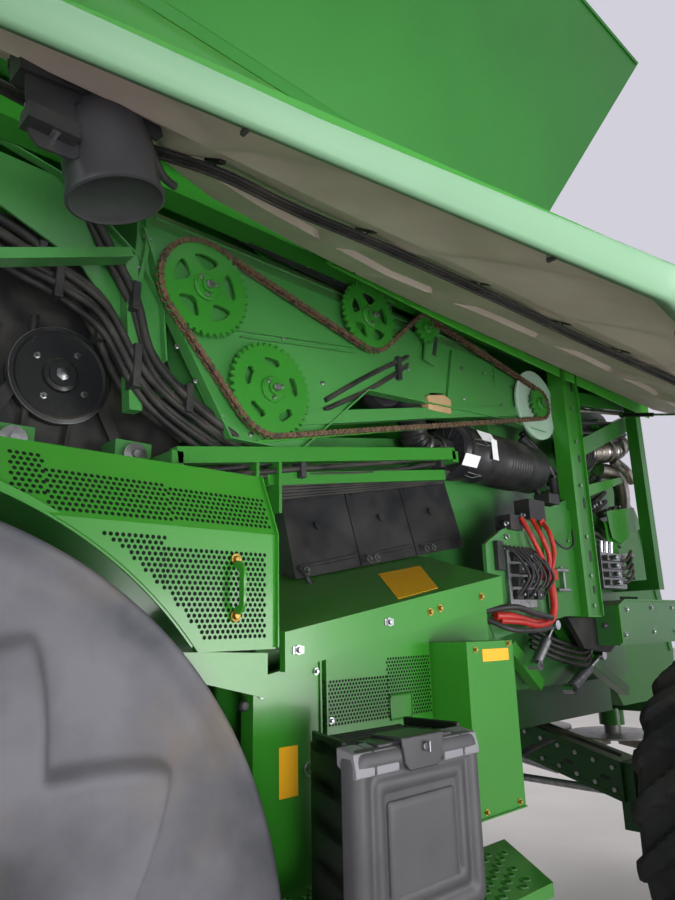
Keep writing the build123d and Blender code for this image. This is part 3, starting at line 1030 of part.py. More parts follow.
def feeder_frame():
    """Unit vectors along and across the feeder house, and its length."""
    dx, dz = FEEDER_FACE_X - FEEDER_X, FEEDER_FACE_Z - FEEDER_Z
    length = hypot(dx, dz)
    return (dx / length, dz / length), length


def feeder_house():
    (ux, uz), length = feeder_frame()
    h = FEEDER_HALF_H

    def corner(s, v):
        return FEEDER_X + s * ux - v * uz, FEEDER_Z + s * uz + v * ux

    face_x = FEEDER_FACE_X
    top_s = (face_x - corner(0, h)[0]) / ux
    low_s = (face_x - corner(0, -h)[0]) / ux
    body = side_prism([corner(0, h), corner(top_s, h), corner(low_s, -h), corner(0, -h)],
                      -FEEDER_HALF_W, FEEDER_HALF_W)
    t = FEEDER_WALL
    mouth = [corner(top_s - FEEDER_MOUTH_L, h - t), corner(top_s + 60, h - t), corner(low_s + 60, -h + t),
             corner(low_s - FEEDER_MOUTH_L, -h + t)]
    body -= side_prism(mouth, -FEEDER_HALF_W + t, FEEDER_HALF_W - t)
    flange = block(face_x - 60, face_x, -FEEDER_HALF_W - 70, FEEDER_HALF_W + 70, corner(low_s, -h)[1] - 60,
                   corner(top_s, h)[1] + 60)
    flange -= side_prism([corner(0, h), corner(top_s + 60, h), corner(low_s + 60, -h), corner(0, -h)],
                         -FEEDER_HALF_W, FEEDER_HALF_W)
    body += flange
    body += rod_y(FEEDER_X, FEEDER_Z, -FEEDER_HALF_W, FEEDER_HALF_W, FEEDER_HALF_H)
    stub_end = FEEDER_HALF_W + FEEDER_CLEAR + STUB_L - 1
    body += rod_y(FEEDER_X, FEEDER_Z, -stub_end, stub_end, STUB_R)
    for y in (LIFT_Y - LIFT_EYE_T / 2 - EAR_T - 6, LIFT_Y + LIFT_EYE_T / 2 + 6):
        ear = side_prism([(LIFT_EYE_X - 160, LIFT_EYE_Z + 150), (LIFT_EYE_X + 160, LIFT_EYE_Z + 60),
                          (LIFT_EYE_X + 60, LIFT_EYE_Z - 60), (LIFT_EYE_X - 60, LIFT_EYE_Z - 60)], y, y + EAR_T)
        ear -= rod_y(LIFT_EYE_X, LIFT_EYE_Z, y - 1, y + EAR_T + 1, LIFT_PIN_R + 14)
        body += ear + mirrored(ear)
    return body


def lift_cylinders():
    foot, eye = Vector(LIFT_X, LIFT_Y, LIFT_Z), Vector(LIFT_EYE_X, LIFT_Y, LIFT_EYE_Z)
    way = (eye - foot).normalized()
    end = foot + way * LIFT_BARREL_L
    barrel = rod(tuple(foot + way * 30), tuple(end), LIFT_BARREL_R)
    barrel += rod_y(foot.X, foot.Z, LIFT_Y - LIFT_EYE_T / 2, LIFT_Y + LIFT_EYE_T / 2, LIFT_EYE_R)
    barrel -= rod_y(foot.X, foot.Z, LIFT_Y - LIFT_EYE_T, LIFT_Y + LIFT_EYE_T, LIFT_PIN_R + HUB_CLEAR)
    barrel -= rod(tuple(foot + way * 120), tuple(end + way), LIFT_ROD_R + HUB_CLEAR)
    piston = rod(tuple(foot + way * 400), tuple(eye), LIFT_ROD_R)
    piston += rod_y(eye.X, eye.Z, LIFT_Y - LIFT_EYE_T / 2, LIFT_Y + LIFT_EYE_T / 2, LIFT_EYE_R)
    piston += rod_y(eye.X, eye.Z, LIFT_Y - LIFT_EYE_T / 2 - 30, LIFT_Y + LIFT_EYE_T / 2 + 30, LIFT_PIN_R)
    return both_sides(barrel), both_sides(piston)


# Toolbox, step and ladders


def step_platform():
    plan = [(STEP_FRONT, DOOR_Y + 5), (STEP_FRONT, STEP_OUT), (STEP_REAR, STEP_OUT), (STEP_REAR_IN, PROUD_Y + 5),
            (PROUD_FRONT - 150, PROUD_Y + 5), (PROUD_FRONT - 150, DOOR_Y + 5)]
    step = plan_prism(plan, STEP_TOP - STEP_T, STEP_TOP)
    for x in (STEP_FRONT - 120, STEP_REAR + 120):
        step += block(x, x - 50, DOOR_Y, STEP_OUT - 20, STEP_TOP - STEP_T - 70, STEP_TOP - STEP_T)
    return step


def toolbox():
    """Open moulded box with its lid beside it, closed."""
    w = BOX_WALL
    body = block(BOX_FRONT, BOX_REAR, BOX_IN, BOX_OUT - LID_T - LID_GAP, STEP_TOP, BOX_TOP)
    body -= block(BOX_FRONT - w, BOX_REAR + w, BOX_IN + w, BOX_OUT, STEP_TOP + w, BOX_TOP - w)
    hinge_z = STEP_TOP + 30
    lid = block(BOX_FRONT + 10, BOX_REAR - 10, BOX_OUT - LID_T, BOX_OUT, STEP_TOP + 40, BOX_TOP + 10)
    y = BOX_OUT - 14
    for x in LID_HINGES:
        x1, x2 = x - LID_BARREL_L, x - LID_BARREL_L - HINGE_GAP
        lid += rod_x(y, hinge_z, x, x1, LID_BARREL_R)
        lid += block(x, x1, y - 4, y + 4, hinge_z, STEP_TOP + 60)
        lid -= rod_x(y, hinge_z, x + 1, x1 - 1, LID_PIN_R + HUB_CLEAR)
        body += rod_x(y, hinge_z, x2, x2 - 30, LID_BARREL_R) + rod_x(y, hinge_z, x, x2 - 30, LID_PIN_R)
        body += block(x2, x2 - 30, BOX_OUT - LID_T - LID_GAP - 10, y, STEP_TOP, hinge_z)
    return body, lid


def front_platform():
    """Walkway beside the cab over the front wheel, its ladder and its handrails, on the left."""
    walk = block(WALK_REAR, WALK_FRONT, CAB_HALF_W + 4, WALK_OUT, WALK_Z - WALK_T, WALK_Z)
    for x in (WALK_REAR + 50, BODY_FRONT - 100):
        walk += block(x, x + 80, BODY_HALF_W, WALK_OUT - 60, WALK_Z - WALK_T - 45, WALK_Z - WALK_T)
    ends = (WALK_REAR + 30, RAIL_END_X)
    y = WALK_OUT - 25
    walk += tube_run([(ends[0], y, WALK_Z), (ends[0], y, WALK_Z + RAIL_UP), (ends[1], y, WALK_Z + RAIL_UP),
                      (ends[1], y, WALK_Z)], RAIL_R)
    top = WALK_Z
    pitch = (top - 480) / LADDER_RUNGS
    for x in (LADDER_FRONT_X - LADDER_W / 2, LADDER_FRONT_X + LADDER_W / 2 - 20):
        walk += end_prism([(WALK_OUT - 30, top), (WALK_OUT + 40, top), (WALK_OUT + 180, 430), (WALK_OUT + 100, 430)],
                          x, x + 20)
    for i in range(LADDER_RUNGS):
        z = 480 + i * pitch
        lean = (top - z) / (top - 430) * 140
        walk += block(LADDER_FRONT_X - LADDER_W / 2, LADDER_FRONT_X + LADDER_W / 2, WALK_OUT - 20 + lean,
                      WALK_OUT + 40 + lean, z, z + 30)
    return walk


def fuel_tank():
    return block(-2250, -2900, -BODY_HALF_W - 240, -BODY_HALF_W, 1480, 1900)


def fender_box():
    """Left green box above the rear wheel."""
    return side_prism([(-3480, 1600), (-3480, 1800), (-3560, 1830), (BODY_REAR, 1830), (BODY_REAR, 1600)],
                      BODY_HALF_W, 1320)


def build():
    wheels()
    save("frame_rails", frame_rails())
    save("front_axle", front_axle())
    save("rear_axle", rear_axle())
    save("knuckle_left", knuckle())
    save("knuckle_right", mirrored(knuckle()))
    save("tie_rod", tie_rod())
    save("separator_body", separator_body())
    save("guard_panels", guard_panels())
    save("sloped_shelves", sloped_shelf())
    save("side_doors", side_doors())
    save("separator_covers", separator_covers())
    save("upper_frame", upper_frame())
    shields()
    strut()
    save("grain_tank", grain_tank() + flap_lugs())
    save("tank_flap_left", tank_flap())
    save("tank_flap_right", mirrored(tank_flap()))
    save("tank_curtains", tank_curtains())
    save("unloading_auger", unloading_auger())
    save("auger_foot", auger_foot())
    save("drive_sprockets", drive_sprockets())
    save("drive_chain", drive_chain())
    save("drive_case", drive_case())
    save("belt_drive", belt_drives())
    save("engine", group(engine(), exhaust()))
    save("engine_hood", engine_hood())
    save("cooling_screen", cooling_screen())
    save("air_cleaner", air_cleaner())
    save("rear_hood", rear_hood() + spreader_frame())
    save("straw_chopper", straw_chopper())
    save("spreader_left", spreader(1))
    save("spreader_right", spreader(-1))
    save("cab_shell", cab_shell() + door_hinge_lugs())
    save("cab_glass", cab_glass())
    save("cab_roof", cab_roof())
    frame, pane = cab_door()
    save("cab_door", frame)
    save("cab_door_glass", pane)
    save("cab_interior", cab_interior())
    save("cab_mirrors", both_sides(mirrors()))
    save("feeder_house", feeder_house())
    barrels, pistons = lift_cylinders()
    save("lift_barrels", barrels)
    save("lift_rods", pistons)
    save("step_platform", step_platform())
    body, lid = toolbox()
    save("toolbox", body)
    save("toolbox_lid", lid)
    save("front_platform", front_platform())
    save("fuel_tank", fuel_tank())


build()
os.makedirs("parts", exist_ok=True)
for node, shape in NODES.items():
    export_step(shape, os.path.join("parts", node + ".step"))
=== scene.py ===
from math import cos, hypot, pi, radians, sin, tan

import bmesh
import bpy
import numpy as np
from mathutils import Matrix, Vector


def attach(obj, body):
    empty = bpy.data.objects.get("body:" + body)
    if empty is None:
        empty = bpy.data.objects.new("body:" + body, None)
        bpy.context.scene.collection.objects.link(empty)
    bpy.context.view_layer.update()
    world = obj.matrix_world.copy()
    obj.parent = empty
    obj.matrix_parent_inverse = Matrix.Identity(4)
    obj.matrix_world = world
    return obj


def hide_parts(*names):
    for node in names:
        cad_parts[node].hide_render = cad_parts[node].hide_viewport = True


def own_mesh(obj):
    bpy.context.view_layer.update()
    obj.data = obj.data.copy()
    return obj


# Looks of a combine harvester. Metres, +X forward, +Y left, +Z up, ground at z = 0.
# Stations along X are counted from the front axle; fit() moves them to the model's own frame.

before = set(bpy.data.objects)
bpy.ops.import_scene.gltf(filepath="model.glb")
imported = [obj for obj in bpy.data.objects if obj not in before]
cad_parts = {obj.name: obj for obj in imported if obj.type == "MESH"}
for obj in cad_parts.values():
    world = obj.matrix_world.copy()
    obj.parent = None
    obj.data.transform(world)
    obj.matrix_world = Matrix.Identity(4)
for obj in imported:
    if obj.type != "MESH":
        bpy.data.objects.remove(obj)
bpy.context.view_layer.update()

AXLE_X = 1.435
WHEELBASE = 3.8
FRONT_TYRE_R, REAR_TYRE_R = 1.0, 0.775
SHIELD_HINGE = (1.345, 3.066)
SHIELD_DROOP = 27.5
SHIELD_FRONT, SHIELD_KNEE, SHIELD_REAR = -0.07, -1.37, -4.2
ROTOR_RISE = radians(10.0)
DRIVE_Y = 1.25
ELSEWHERE = {}


class Stock:
    """Points and faces of one piece, gathered from several worked surfaces."""

    def __init__(self):
        self.points, self.faces, self.count = [], [], 0

    def add(self, points, groups, skin=0):
        """Takes an array of points, and groups of faces with the same number of corners."""
        points = np.asarray(points, float).reshape(-1, 3)
        self.faces += [(np.asarray(group) + self.count, skin) for group in groups]
        self.points.append(points)
        self.count += len(points)

    def grid(self, points, round_u=False, round_v=False, ends=False, skin=0):
        """Covers a grid of points (u, v, xyz). round_u and round_v close it and ends shuts both u ends."""
        rows, columns = points.shape[:2]
        u = np.arange(rows if round_u else rows - 1)[:, None]
        v = np.arange(columns if round_v else columns - 1)[None, :]
        u2, v2 = (u + 1) % rows, (v + 1) % columns
        quads = np.stack(np.broadcast_arrays(u * columns + v, u * columns + v2, u2 * columns + v2, u2 * columns + v), -1)
        groups = [quads.reshape(-1, 4)]
        if ends:
            groups += [np.arange(columns)[None, ::-1], (np.arange(columns) + (rows - 1) * columns)[None]]
        self.add(points, groups, skin)

    def sweep(self, section, path, up=(0, 0, 1), scale=None, skin=0):
        """Carries a closed section of (side, rise) points along a path, and shuts its ends."""
        path = np.asarray(path, float)
        tangent, side, rise = carried_frames(path, up)
        section = np.asarray(section, float)[None]
        if scale is not None:
            section = section * np.asarray(scale, float)[:, None, None]
        points = path[:, None] + section[..., :1] * side[:, None] + section[..., 1:] * rise[:, None]
        self.grid(points, round_v=True, ends=True, skin=skin)

    def hose(self, knots, radius, steps=6, sides=10, skin=0):
        """Round hose along a smooth curve through its knots."""
        self.sweep(circle(radius, sides), smooth_path(knots, steps), odd_up(knots), skin=skin)

    def bar(self, start, end, radius, sides=16, skin=0):
        """Straight round bar."""
        self.sweep(circle(radius, sides), [start, end], odd_up([start, end]), skin=skin)

    def slab(self, x, y, z, skin=0):
        """Block between two x, two y and two z values."""
        (x0, x1), (y0, y1), (z0, z1) = sorted(x), sorted(y), sorted(z)
        ring = np.array([(y0, z0), (y1, z0), (y1, z1), (y0, z1)])
        points = np.stack([np.column_stack([np.full(4, station), ring]) for station in (x0, x1)])
        self.grid(points, round_v=True, ends=True, skin=skin)

    def plate(self, outline, origin, across, upward, thick, skin=0):
        """Flat plate: an outline of (across, upward) points, thickened along the normal, which is across x upward."""
        outline, origin = np.asarray(outline, float), np.asarray(origin, float)
        across, upward = unit(across), unit(upward)
        face = origin + outline[:, :1] * across + outline[:, 1:] * upward
        points = np.stack([face, face + np.cross(across, upward) * thick])
        self.grid(points, round_v=True, ends=True, skin=skin)

    def turned(self, profile, origin, axis, sides=48, skin=0):
        """Turns a closed profile of (radius, station) points about an axis; a radius of 0 is a pole."""
        profile = np.asarray(profile, float)
        axis = unit(axis)
        across = unit(np.cross(axis, odd_up([(0, 0, 0), axis])))
        upward = np.cross(axis, across)
        angle = np.arange(sides) * 2 * pi / sides
        spoke = np.cos(angle)[:, None] * across + np.sin(angle)[:, None] * upward
        middle = np.asarray(origin, float) + profile[:, 1:] * axis
        points = middle[:, None] + profile[:, :1, None] * spoke[None]
        if profile[0, 0] > 0:
            self.grid(points, round_u=True, round_v=True, skin=skin)
            return
        inner = points[1:-1]
        self.grid(inner, round_v=True, skin=skin)
        first, rows = self.count - len(inner) * sides, len(inner)
        spokes = np.arange(sides)
        for pole, row in ((middle[0], 0), (middle[-1], rows - 1)):
            rim = first - self.count + row * sides
            fan = np.stack([spokes + rim, (spokes + 1) % sides + rim, np.zeros(sides, int)], -1)
            self.add(pole[None], [fan], skin)

    def copies(self, other, matrices, skin=None):
        """Repeats another stock once for each 4 x 4 matrix."""
        points = np.concatenate(other.points)
        for matrix in matrices:
            moved = points @ matrix[:3, :3].T + matrix[:3, 3]
            start = self.count
            self.points.append(moved)
            self.faces += [(group + start, own if skin is None else skin) for group, own in other.faces]
            self.count += len(moved)

    def mirrored(self):
        """The same piece on the right-hand side."""
        other = Stock()
        flip = np.diag([1.0, -1.0, 1.0, 1.0])
        other.copies(self, [flip])
        return other


def unit(vector):
    vector = np.asarray(vector, float)
    return vector / np.linalg.norm(vector)


def odd_up(path):
    """An axis well away from the way a path runs."""
    path = np.asarray(path, float)
    way = np.abs(path[-1] - path[0])
    return np.eye(3)[np.argmin(way)]


def carried_frames(path, up):
    """Tangent, side and rise at each point of a path; the side is carried on from point to point."""
    tangent = np.gradient(path, axis=0)
    tangent /= np.linalg.norm(tangent, axis=1)[:, None]
    side = np.empty_like(path)
    side[0] = unit(np.cross(tangent[0], up))
    for i in range(1, len(path)):
        side[i] = unit(side[i - 1] - tangent[i] * (side[i - 1] @ tangent[i]))
    return tangent, side, np.cross(side, tangent)


def smooth_path(knots, steps):
    """Curve through all its knots: a cubic between each two, whose slopes run between the neighbours."""
    knots = np.asarray(knots, float)
    padded = np.vstack([2 * knots[0] - knots[1], knots, 2 * knots[-1] - knots[-2]])
    a, b, c, d = padded[:-3], padded[1:-2], padded[2:-1], padded[3:]
    t = (np.arange(steps) / steps)[:, None, None]
    cubic = 0.5 * (2 * b + (c - a) * t + (2 * a - 5 * b + 4 * c - d) * t ** 2 + (3 * b - a - 3 * c + d) * t ** 3)
    return np.vstack([cubic.transpose(1, 0, 2).reshape(-1, 3), knots[-1:]])


def circle(radius, sides=16, squash=1.0):
    angle = np.arange(sides) * 2 * pi / sides
    return np.column_stack([radius * np.cos(angle), radius * squash * np.sin(angle)])


def rounded(width, height, corner, steps=4):
    """Outline of a rectangle with round corners, about its middle."""
    turn = np.linspace(0, pi / 2, steps + 1)
    corners = []
    for i, (sx, sy) in enumerate(((1, 1), (-1, 1), (-1, -1), (1, -1))):
        angle = turn + i * pi / 2
        corners.append(np.column_stack([sx * (width / 2 - corner) + corner * np.cos(angle),
                                        sy * (height / 2 - corner) + corner * np.sin(angle)]))
    return np.vstack(corners)


def placed(origin, turn=0.0, axis="Y", scale=1.0):
    """4 x 4 matrix that turns about one axis, scales, and moves to origin."""
    matrix = Matrix.Translation(Vector(origin)) @ Matrix.Rotation(turn, 4, axis) @ Matrix.Scale(scale, 4)
    return np.array(matrix)


def facing(origin, normal, scale=1.0):
    """4 x 4 matrix that lays a piece made along +Z on a face with the given normal."""
    turn = Vector(normal).to_track_quat("Z", "Y").to_matrix().to_4x4()
    return np.array(Matrix.Translation(Vector(origin)) @ turn @ Matrix.Scale(scale, 4))


def cut_plate(outline, holes, thick, edge=0.0):
    """Plate in the XY plane with holes cut through: Blender fills the outlines as a flat curve."""
    curve = bpy.data.curves.new("cutting", "CURVE")
    curve.dimensions, curve.fill_mode = "2D", "BOTH"
    curve.extrude, curve.bevel_depth, curve.bevel_resolution = thick / 2 - edge, edge, 0
    for ring in [outline] + list(holes):
        ring = np.asarray(ring, float)
        spline = curve.splines.new("POLY")
        spline.points.add(len(ring) - 1)
        spline.points.foreach_set("co", np.column_stack([ring, np.zeros(len(ring)), np.ones(len(ring))]).ravel())
        spline.use_cyclic_u = True
    helper = bpy.data.objects.new("cutting", curve)
    mesh = bpy.data.meshes.new_from_object(helper)
    points = np.empty(len(mesh.vertices) * 3)
    mesh.vertices.foreach_get("co", points)
    stock = Stock()
    by_size = {}
    for polygon in mesh.polygons:
        by_size.setdefault(len(polygon.vertices), []).append(tuple(polygon.vertices))
    stock.add(points.reshape(-1, 3), [np.array(group) for group in by_size.values()])
    bpy.data.objects.remove(helper)
    bpy.data.curves.remove(curve)
    bpy.data.meshes.remove(mesh)
    return stock


def fit(name, stock, finishes, body="chassis", bevel=0.0, sharp=35.0, stands_for=(), merge=False):
    """Makes the piece from its stock, gives it its finishes and fits it to a body of the frame."""
    points = np.concatenate(stock.points)
    points[:, 0] += AXLE_X
    corners = np.concatenate([group.ravel() for group, _ in stock.faces])
    sizes = np.concatenate([np.full(len(group), group.shape[1]) for group, _ in stock.faces])
    skins = np.concatenate([np.full(len(group), skin) for group, skin in stock.faces])
    mesh = bpy.data.meshes.new(name)
    mesh.vertices.add(len(points))
    mesh.vertices.foreach_set("co", points.ravel())
    mesh.loops.add(len(corners))
    mesh.loops.foreach_set("vertex_index", corners.astype(np.int32))
    mesh.polygons.add(len(sizes))
    mesh.polygons.foreach_set("loop_start", (np.cumsum(sizes) - sizes).astype(np.int32))
    mesh.polygons.foreach_set("material_index", skins.astype(np.int32))
    mesh.update(calc_edges=True)
    shell = bmesh.new()
    shell.from_mesh(mesh)
    if merge:
        bmesh.ops.remove_doubles(shell, verts=shell.verts, dist=1e-5)
    bmesh.ops.recalc_face_normals(shell, faces=shell.faces)
    shell.to_mesh(mesh)
    shell.free()
    mesh.polygons.foreach_set("use_smooth", np.ones(len(mesh.polygons), bool))
    mesh.set_sharp_from_angle(angle=radians(sharp))
    for finish in finishes if isinstance(finishes, (list, tuple)) else [finishes]:
        mesh.materials.append(finish)
    piece = bpy.data.objects.new(name, mesh)
    bpy.context.scene.collection.objects.link(piece)
    if bevel:
        softened = piece.modifiers.new("softened edges", "BEVEL")
        softened.width, softened.segments = bevel, 2
        softened.limit_method, softened.angle_limit = "ANGLE", radians(sharp)
    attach(piece, body)
    if stands_for:
        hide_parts(*stands_for)
    return piece


# Finishes


def hex_colour(text):
    """sRGB hex value as linear light, opaque."""
    parts = [int(text[i:i + 2], 16) / 255 for i in (1, 3, 5)]
    return tuple(c / 12.92 if c <= 0.04045 else ((c + 0.055) / 1.055) ** 2.4 for c in parts) + (1.0,)


def add(tree, kind, inputs=None, links=None, **settings):
    """Adds a node, gives it its settings and input values, and links its inputs."""
    node = tree.nodes.new(kind)
    for key, value in settings.items():
        setattr(node, key, value)
    for key, value in (inputs or {}).items():
        node.inputs[key].default_value = value
    for key, socket in (links or {}).items():
        tree.links.new(socket, node.inputs[key])
    return node


def per_metre(millimetres):
    """Pattern scale for a feature of that size on Object coordinates."""
    return 1000.0 / millimetres


def new_finish(name, **values):
    """A material with one Principled shader and the piece's own coordinates."""
    material = bpy.data.materials.new(name)
    material.use_nodes = True
    tree = material.node_tree
    tree.nodes.clear()
    skin = add(tree, "ShaderNodeBsdfPrincipled", {key.replace("_", " "): value for key, value in values.items()})
    add(tree, "ShaderNodeOutputMaterial", links={"Surface": skin.outputs[0]})
    return material, tree, skin, add(tree, "ShaderNodeTexCoord").outputs["Object"]


def patches(tree, place, size, low, high, detail=6.0):
    """Soft-edged patches of about size millimetres: 0 below the first level of noise and 1 above the second."""
    cloud = add(tree, "ShaderNodeTexNoise", {"Scale": per_metre(size), "Detail": detail}, {"Vector": place})
    return add(tree, "ShaderNodeMapRange", {"From Min": low, "From Max": high}, {"Value": cloud.outputs[0]}).outputs[0]


def blended(tree, amount, under, over):
    """Colour that goes from under to over with the amount; each is a colour or a socket."""
    mix = add(tree, "ShaderNodeMix", {}, {"Factor": amount}, data_type="RGBA")
    for key, value in ((6, under), (7, over)):
        if isinstance(value, tuple):
            mix.inputs[key].default_value = value
        else:
            tree.links.new(value, mix.inputs[key])
    return mix.outputs[2]


def product(tree, first, second):
    links = {0: first}
    inputs = {}
    if isinstance(second, float):
        inputs[1] = second
    else:
        links[1] = second
    return add(tree, "ShaderNodeMath", inputs, links, operation="MULTIPLY").outputs[0]


def level_faces(tree):
    """1 on a face that looks up and 0 on one that looks down or sideways: where dust settles."""
    normal = add(tree, "ShaderNodeNewGeometry").outputs["Normal"]
    height = add(tree, "ShaderNodeSeparateXYZ", links={0: normal}).outputs["Z"]
    return add(tree, "ShaderNodeMapRange", {"From Min": 0.25, "From Max": 0.95}, {"Value": height}).outputs[0]


def bumped(tree, skin, place, size, height, detail=3.0):
    """Fine relief of about size millimetres across and height metres deep."""
    grain = add(tree, "ShaderNodeTexNoise", {"Scale": per_metre(size), "Detail": detail}, {"Vector": place})
    relief = add(tree, "ShaderNodeBump", {"Strength": 0.6, "Distance": height}, {"Height": grain.outputs[0]})
    tree.links.new(relief.outputs[0], skin.inputs["Normal"])


def enamel(name, fresh, faded, dust="#9C9078", film=0.45, rough=0.34, coat=0.12):
    """Two-part enamel sprayed on pressed sheet: a gloss coat with faint orange peel, duller where dust lies."""
    material, tree, skin, place = new_finish(name, Coat_Weight=coat, Coat_Roughness=0.12)
    faded_places = patches(tree, place, 700, 0.42, 0.68)
    paint = blended(tree, faded_places, hex_colour(fresh), hex_colour(faded))
    settled = product(tree, level_faces(tree), film)
    specks = product(tree, patches(tree, place, 9, 0.62, 0.74, 8.0), film * 0.5)
    film_all = add(tree, "ShaderNodeMath", {}, {0: settled, 1: specks}, operation="MAXIMUM").outputs[0]
    clouds = patches(tree, place, 160, 0.3, 0.62, 9.0)
    amount = product(tree, film_all, clouds)
    tree.links.new(blended(tree, amount, paint, hex_colour(dust)), skin.inputs["Base Color"])
    dull = add(tree, "ShaderNodeMapRange", {"To Min": rough, "To Max": 0.75}, {"Value": amount}).outputs[0]
    tree.links.new(dull, skin.inputs["Roughness"])
    bumped(tree, skin, place, 2.5, 0.00012)
    return material


def moulded(name, colour, worn, rough=0.5, size=1.2, height=0.0002, film=0.25, dust="#8E8878"):
    """Injection-moulded plastic or rubber: a fine spark-eroded grain, greyer where it is dusty."""
    material, tree, skin, place = new_finish(name)
    base = blended(tree, patches(tree, place, 220, 0.4, 0.7), hex_colour(colour), hex_colour(worn))
    amount = product(tree, add(tree, "ShaderNodeMath", {1: 0.25}, {0: level_faces(tree)}, operation="ADD").outputs[0],
                     product(tree, patches(tree, place, 90, 0.35, 0.7, 8.0), film))
    tree.links.new(blended(tree, amount, base, hex_colour(dust)), skin.inputs["Base Color"])
    tree.links.new(add(tree, "ShaderNodeMapRange", {"To Min": rough, "To Max": 0.85}, {"Value": amount}).outputs[0],
                   skin.inputs["Roughness"])
    bumped(tree, skin, place, size, height)
    return material


def bare_metal(name, bright, dull, rough=0.32, size=40, metal=1.0):
    """Plated, ground or stainless steel: bright, with duller clouds of handling and weather."""
    material, tree, skin, place = new_finish(name, Metallic=metal)
    clouds = patches(tree, place, size, 0.35, 0.7, 8.0)
    tree.links.new(blended(tree, clouds, hex_colour(bright), hex_colour(dull)), skin.inputs["Base Color"])
    tree.links.new(add(tree, "ShaderNodeMapRange", {"To Min": rough, "To Max": rough + 0.25}, {"Value": clouds}).outputs[0],
                   skin.inputs["Roughness"])
    bumped(tree, skin, place, 6, 0.0001)
    return material


def rusted(name, steel, rust, bloom, rough=0.7, size=12):
    """Oiled carbon steel with rust bloom: brown patches over dark steel, matt and pitted."""
    material, tree, skin, place = new_finish(name, Metallic=0.25)
    brown = blended(tree, patches(tree, place, size, 0.38, 0.6, 8.0), hex_colour(rust), hex_colour(bloom))
    tree.links.new(blended(tree, patches(tree, place, size * 2.5, 0.5, 0.66), brown, hex_colour(steel)),
                   skin.inputs["Base Color"])
    skin.inputs["Roughness"].default_value = rough
    bumped(tree, skin, place, 3, 0.0004, 6.0)
    return material


def tyre_rubber(name, dark, pale, soil_share):
    """Carbon-black tyre rubber after field work: grey bloom, brown soil dried on in streaks, matt."""
    material, tree, skin, place = new_finish(name)
    bloom = blended(tree, patches(tree, place, 260, 0.36, 0.66, 9.0), hex_colour(dark), hex_colour(pale))
    soil = product(tree, patches(tree, place, 330, 0.52, 0.70, 10.0), soil_share)
    tree.links.new(blended(tree, soil, bloom, hex_colour("#7B6A52")), skin.inputs["Base Color"])
    skin.inputs["Roughness"].default_value = 0.82
    bumped(tree, skin, place, 14, 0.0012, 10.0)
    return material


def clear_glass(name, tint):
    """Tempered cab glass: almost clear, a little green at depth."""
    material, _, skin, _ = new_finish(name, Roughness=0.04, IOR=1.5, Alpha=0.32, Transmission_Weight=0.0)
    skin.inputs["Base Color"].default_value = hex_colour(tint)
    skin.inputs["Coat Weight"].default_value = 1.0
    skin.inputs["Coat Roughness"].default_value = 0.02
    return material


def woven(name, colour, thread, size=3.0, height=0.0006, rough=0.85):
    """Cloth: two sets of threads at right angles, each thread about size millimetres wide, drawn coarse to show."""
    material, tree, skin, place = new_finish(name, Sheen_Weight=0.25)
    relief = None
    for turn in (0.0, pi / 2):
        turned_place = add(tree, "ShaderNodeMapping", {"Rotation": (turn, 0.0, turn)}, {"Vector": place}).outputs[0]
        threads = add(tree, "ShaderNodeTexWave", {"Scale": per_metre(size) / 6.28, "Distortion": 0.6}, {"Vector": turned_place})
        relief = threads.outputs[1] if relief is None else add(
            tree, "ShaderNodeMath", {}, {0: relief, 1: threads.outputs[1]}, operation="MULTIPLY").outputs[0]
    tree.links.new(blended(tree, relief, hex_colour(colour), hex_colour(thread)), skin.inputs["Base Color"])
    skin.inputs["Roughness"].default_value = rough
    bump = add(tree, "ShaderNodeBump", {"Strength": 0.5, "Distance": height}, {"Height": relief})
    tree.links.new(bump.outputs[0], skin.inputs["Normal"])
    return material


def plain(name, colour, rough=0.4, **values):
    """Small trim in one colour, with a little unevenness in its gloss."""
    material, tree, skin, place = new_finish(name, **values)
    skin.inputs["Base Color"].default_value = hex_colour(colour)
    clouds = patches(tree, place, 30, 0.3, 0.7)
    tree.links.new(add(tree, "ShaderNodeMapRange", {"To Min": rough, "To Max": rough + 0.2}, {"Value": clouds}).outputs[0],
                   skin.inputs["Roughness"])
    return material


GREEN = enamel("green enamel on sheet steel", "#2A7422", "#266B1F", film=0.30)
# Lighter copy of the body green for panels, hems and edges that the light falls on: painted light.
GREEN_LIT = enamel("green enamel painted lighter as lit, on pressed panel", "#338425", "#2D7A21", film=0.15, rough=0.30, coat=0.25)
# Pale green for the shield's rim and the flaps' stripe where they catch the light: a painted highlight.
GREEN_PAINTED_LIT = enamel("green enamel painted pale as lit, on moulded edge", "#6A8D70", "#608566", film=0.10, rough=0.42, coat=0.0)
DISC_PAINT = enamel("grey-green enamel on pressed guard disc", "#7FA08A", "#9DB5A4", film=0.3, rough=0.25)
GREEN_CAST = enamel("dark green enamel on castings", "#1C5A23", "#184E1F", film=0.5, rough=0.42, coat=0.15)
GREEN_DEEP = enamel("green enamel in the shade of the body", "#3B7A3B", "#356F36", film=0.60, rough=0.34, coat=0.3)
LINER = moulded("grey sheet moulding compound of the shield's inner face", "#D2C3B8", "#C4B4A9", rough=0.55, size=4,
                film=0.35, dust="#877F70")
YELLOW = enamel("yellow enamel on wheel steel", "#E9B914", "#D9A90F", film=0.4, rough=0.34)
RUBBER = tyre_rubber("field-worn tyre rubber", "#4C4D52", "#6E6E74", 0.5)
RUBBER_DARK = tyre_rubber("darker tyre rubber of the rear wheels", "#232426", "#38383A", 0.15)
BLACK = moulded("black polypropylene, moulded", "#1B1C1F", "#26272B", rough=0.42)
BLACK_SHADE = moulded("black polyethylene of the box", "#0E1110", "#151816", rough=0.40, film=0.05)
BLACK_RIBBED = moulded("black polyethylene, blow moulded", "#151619", "#202126", rough=0.36, size=2.0)
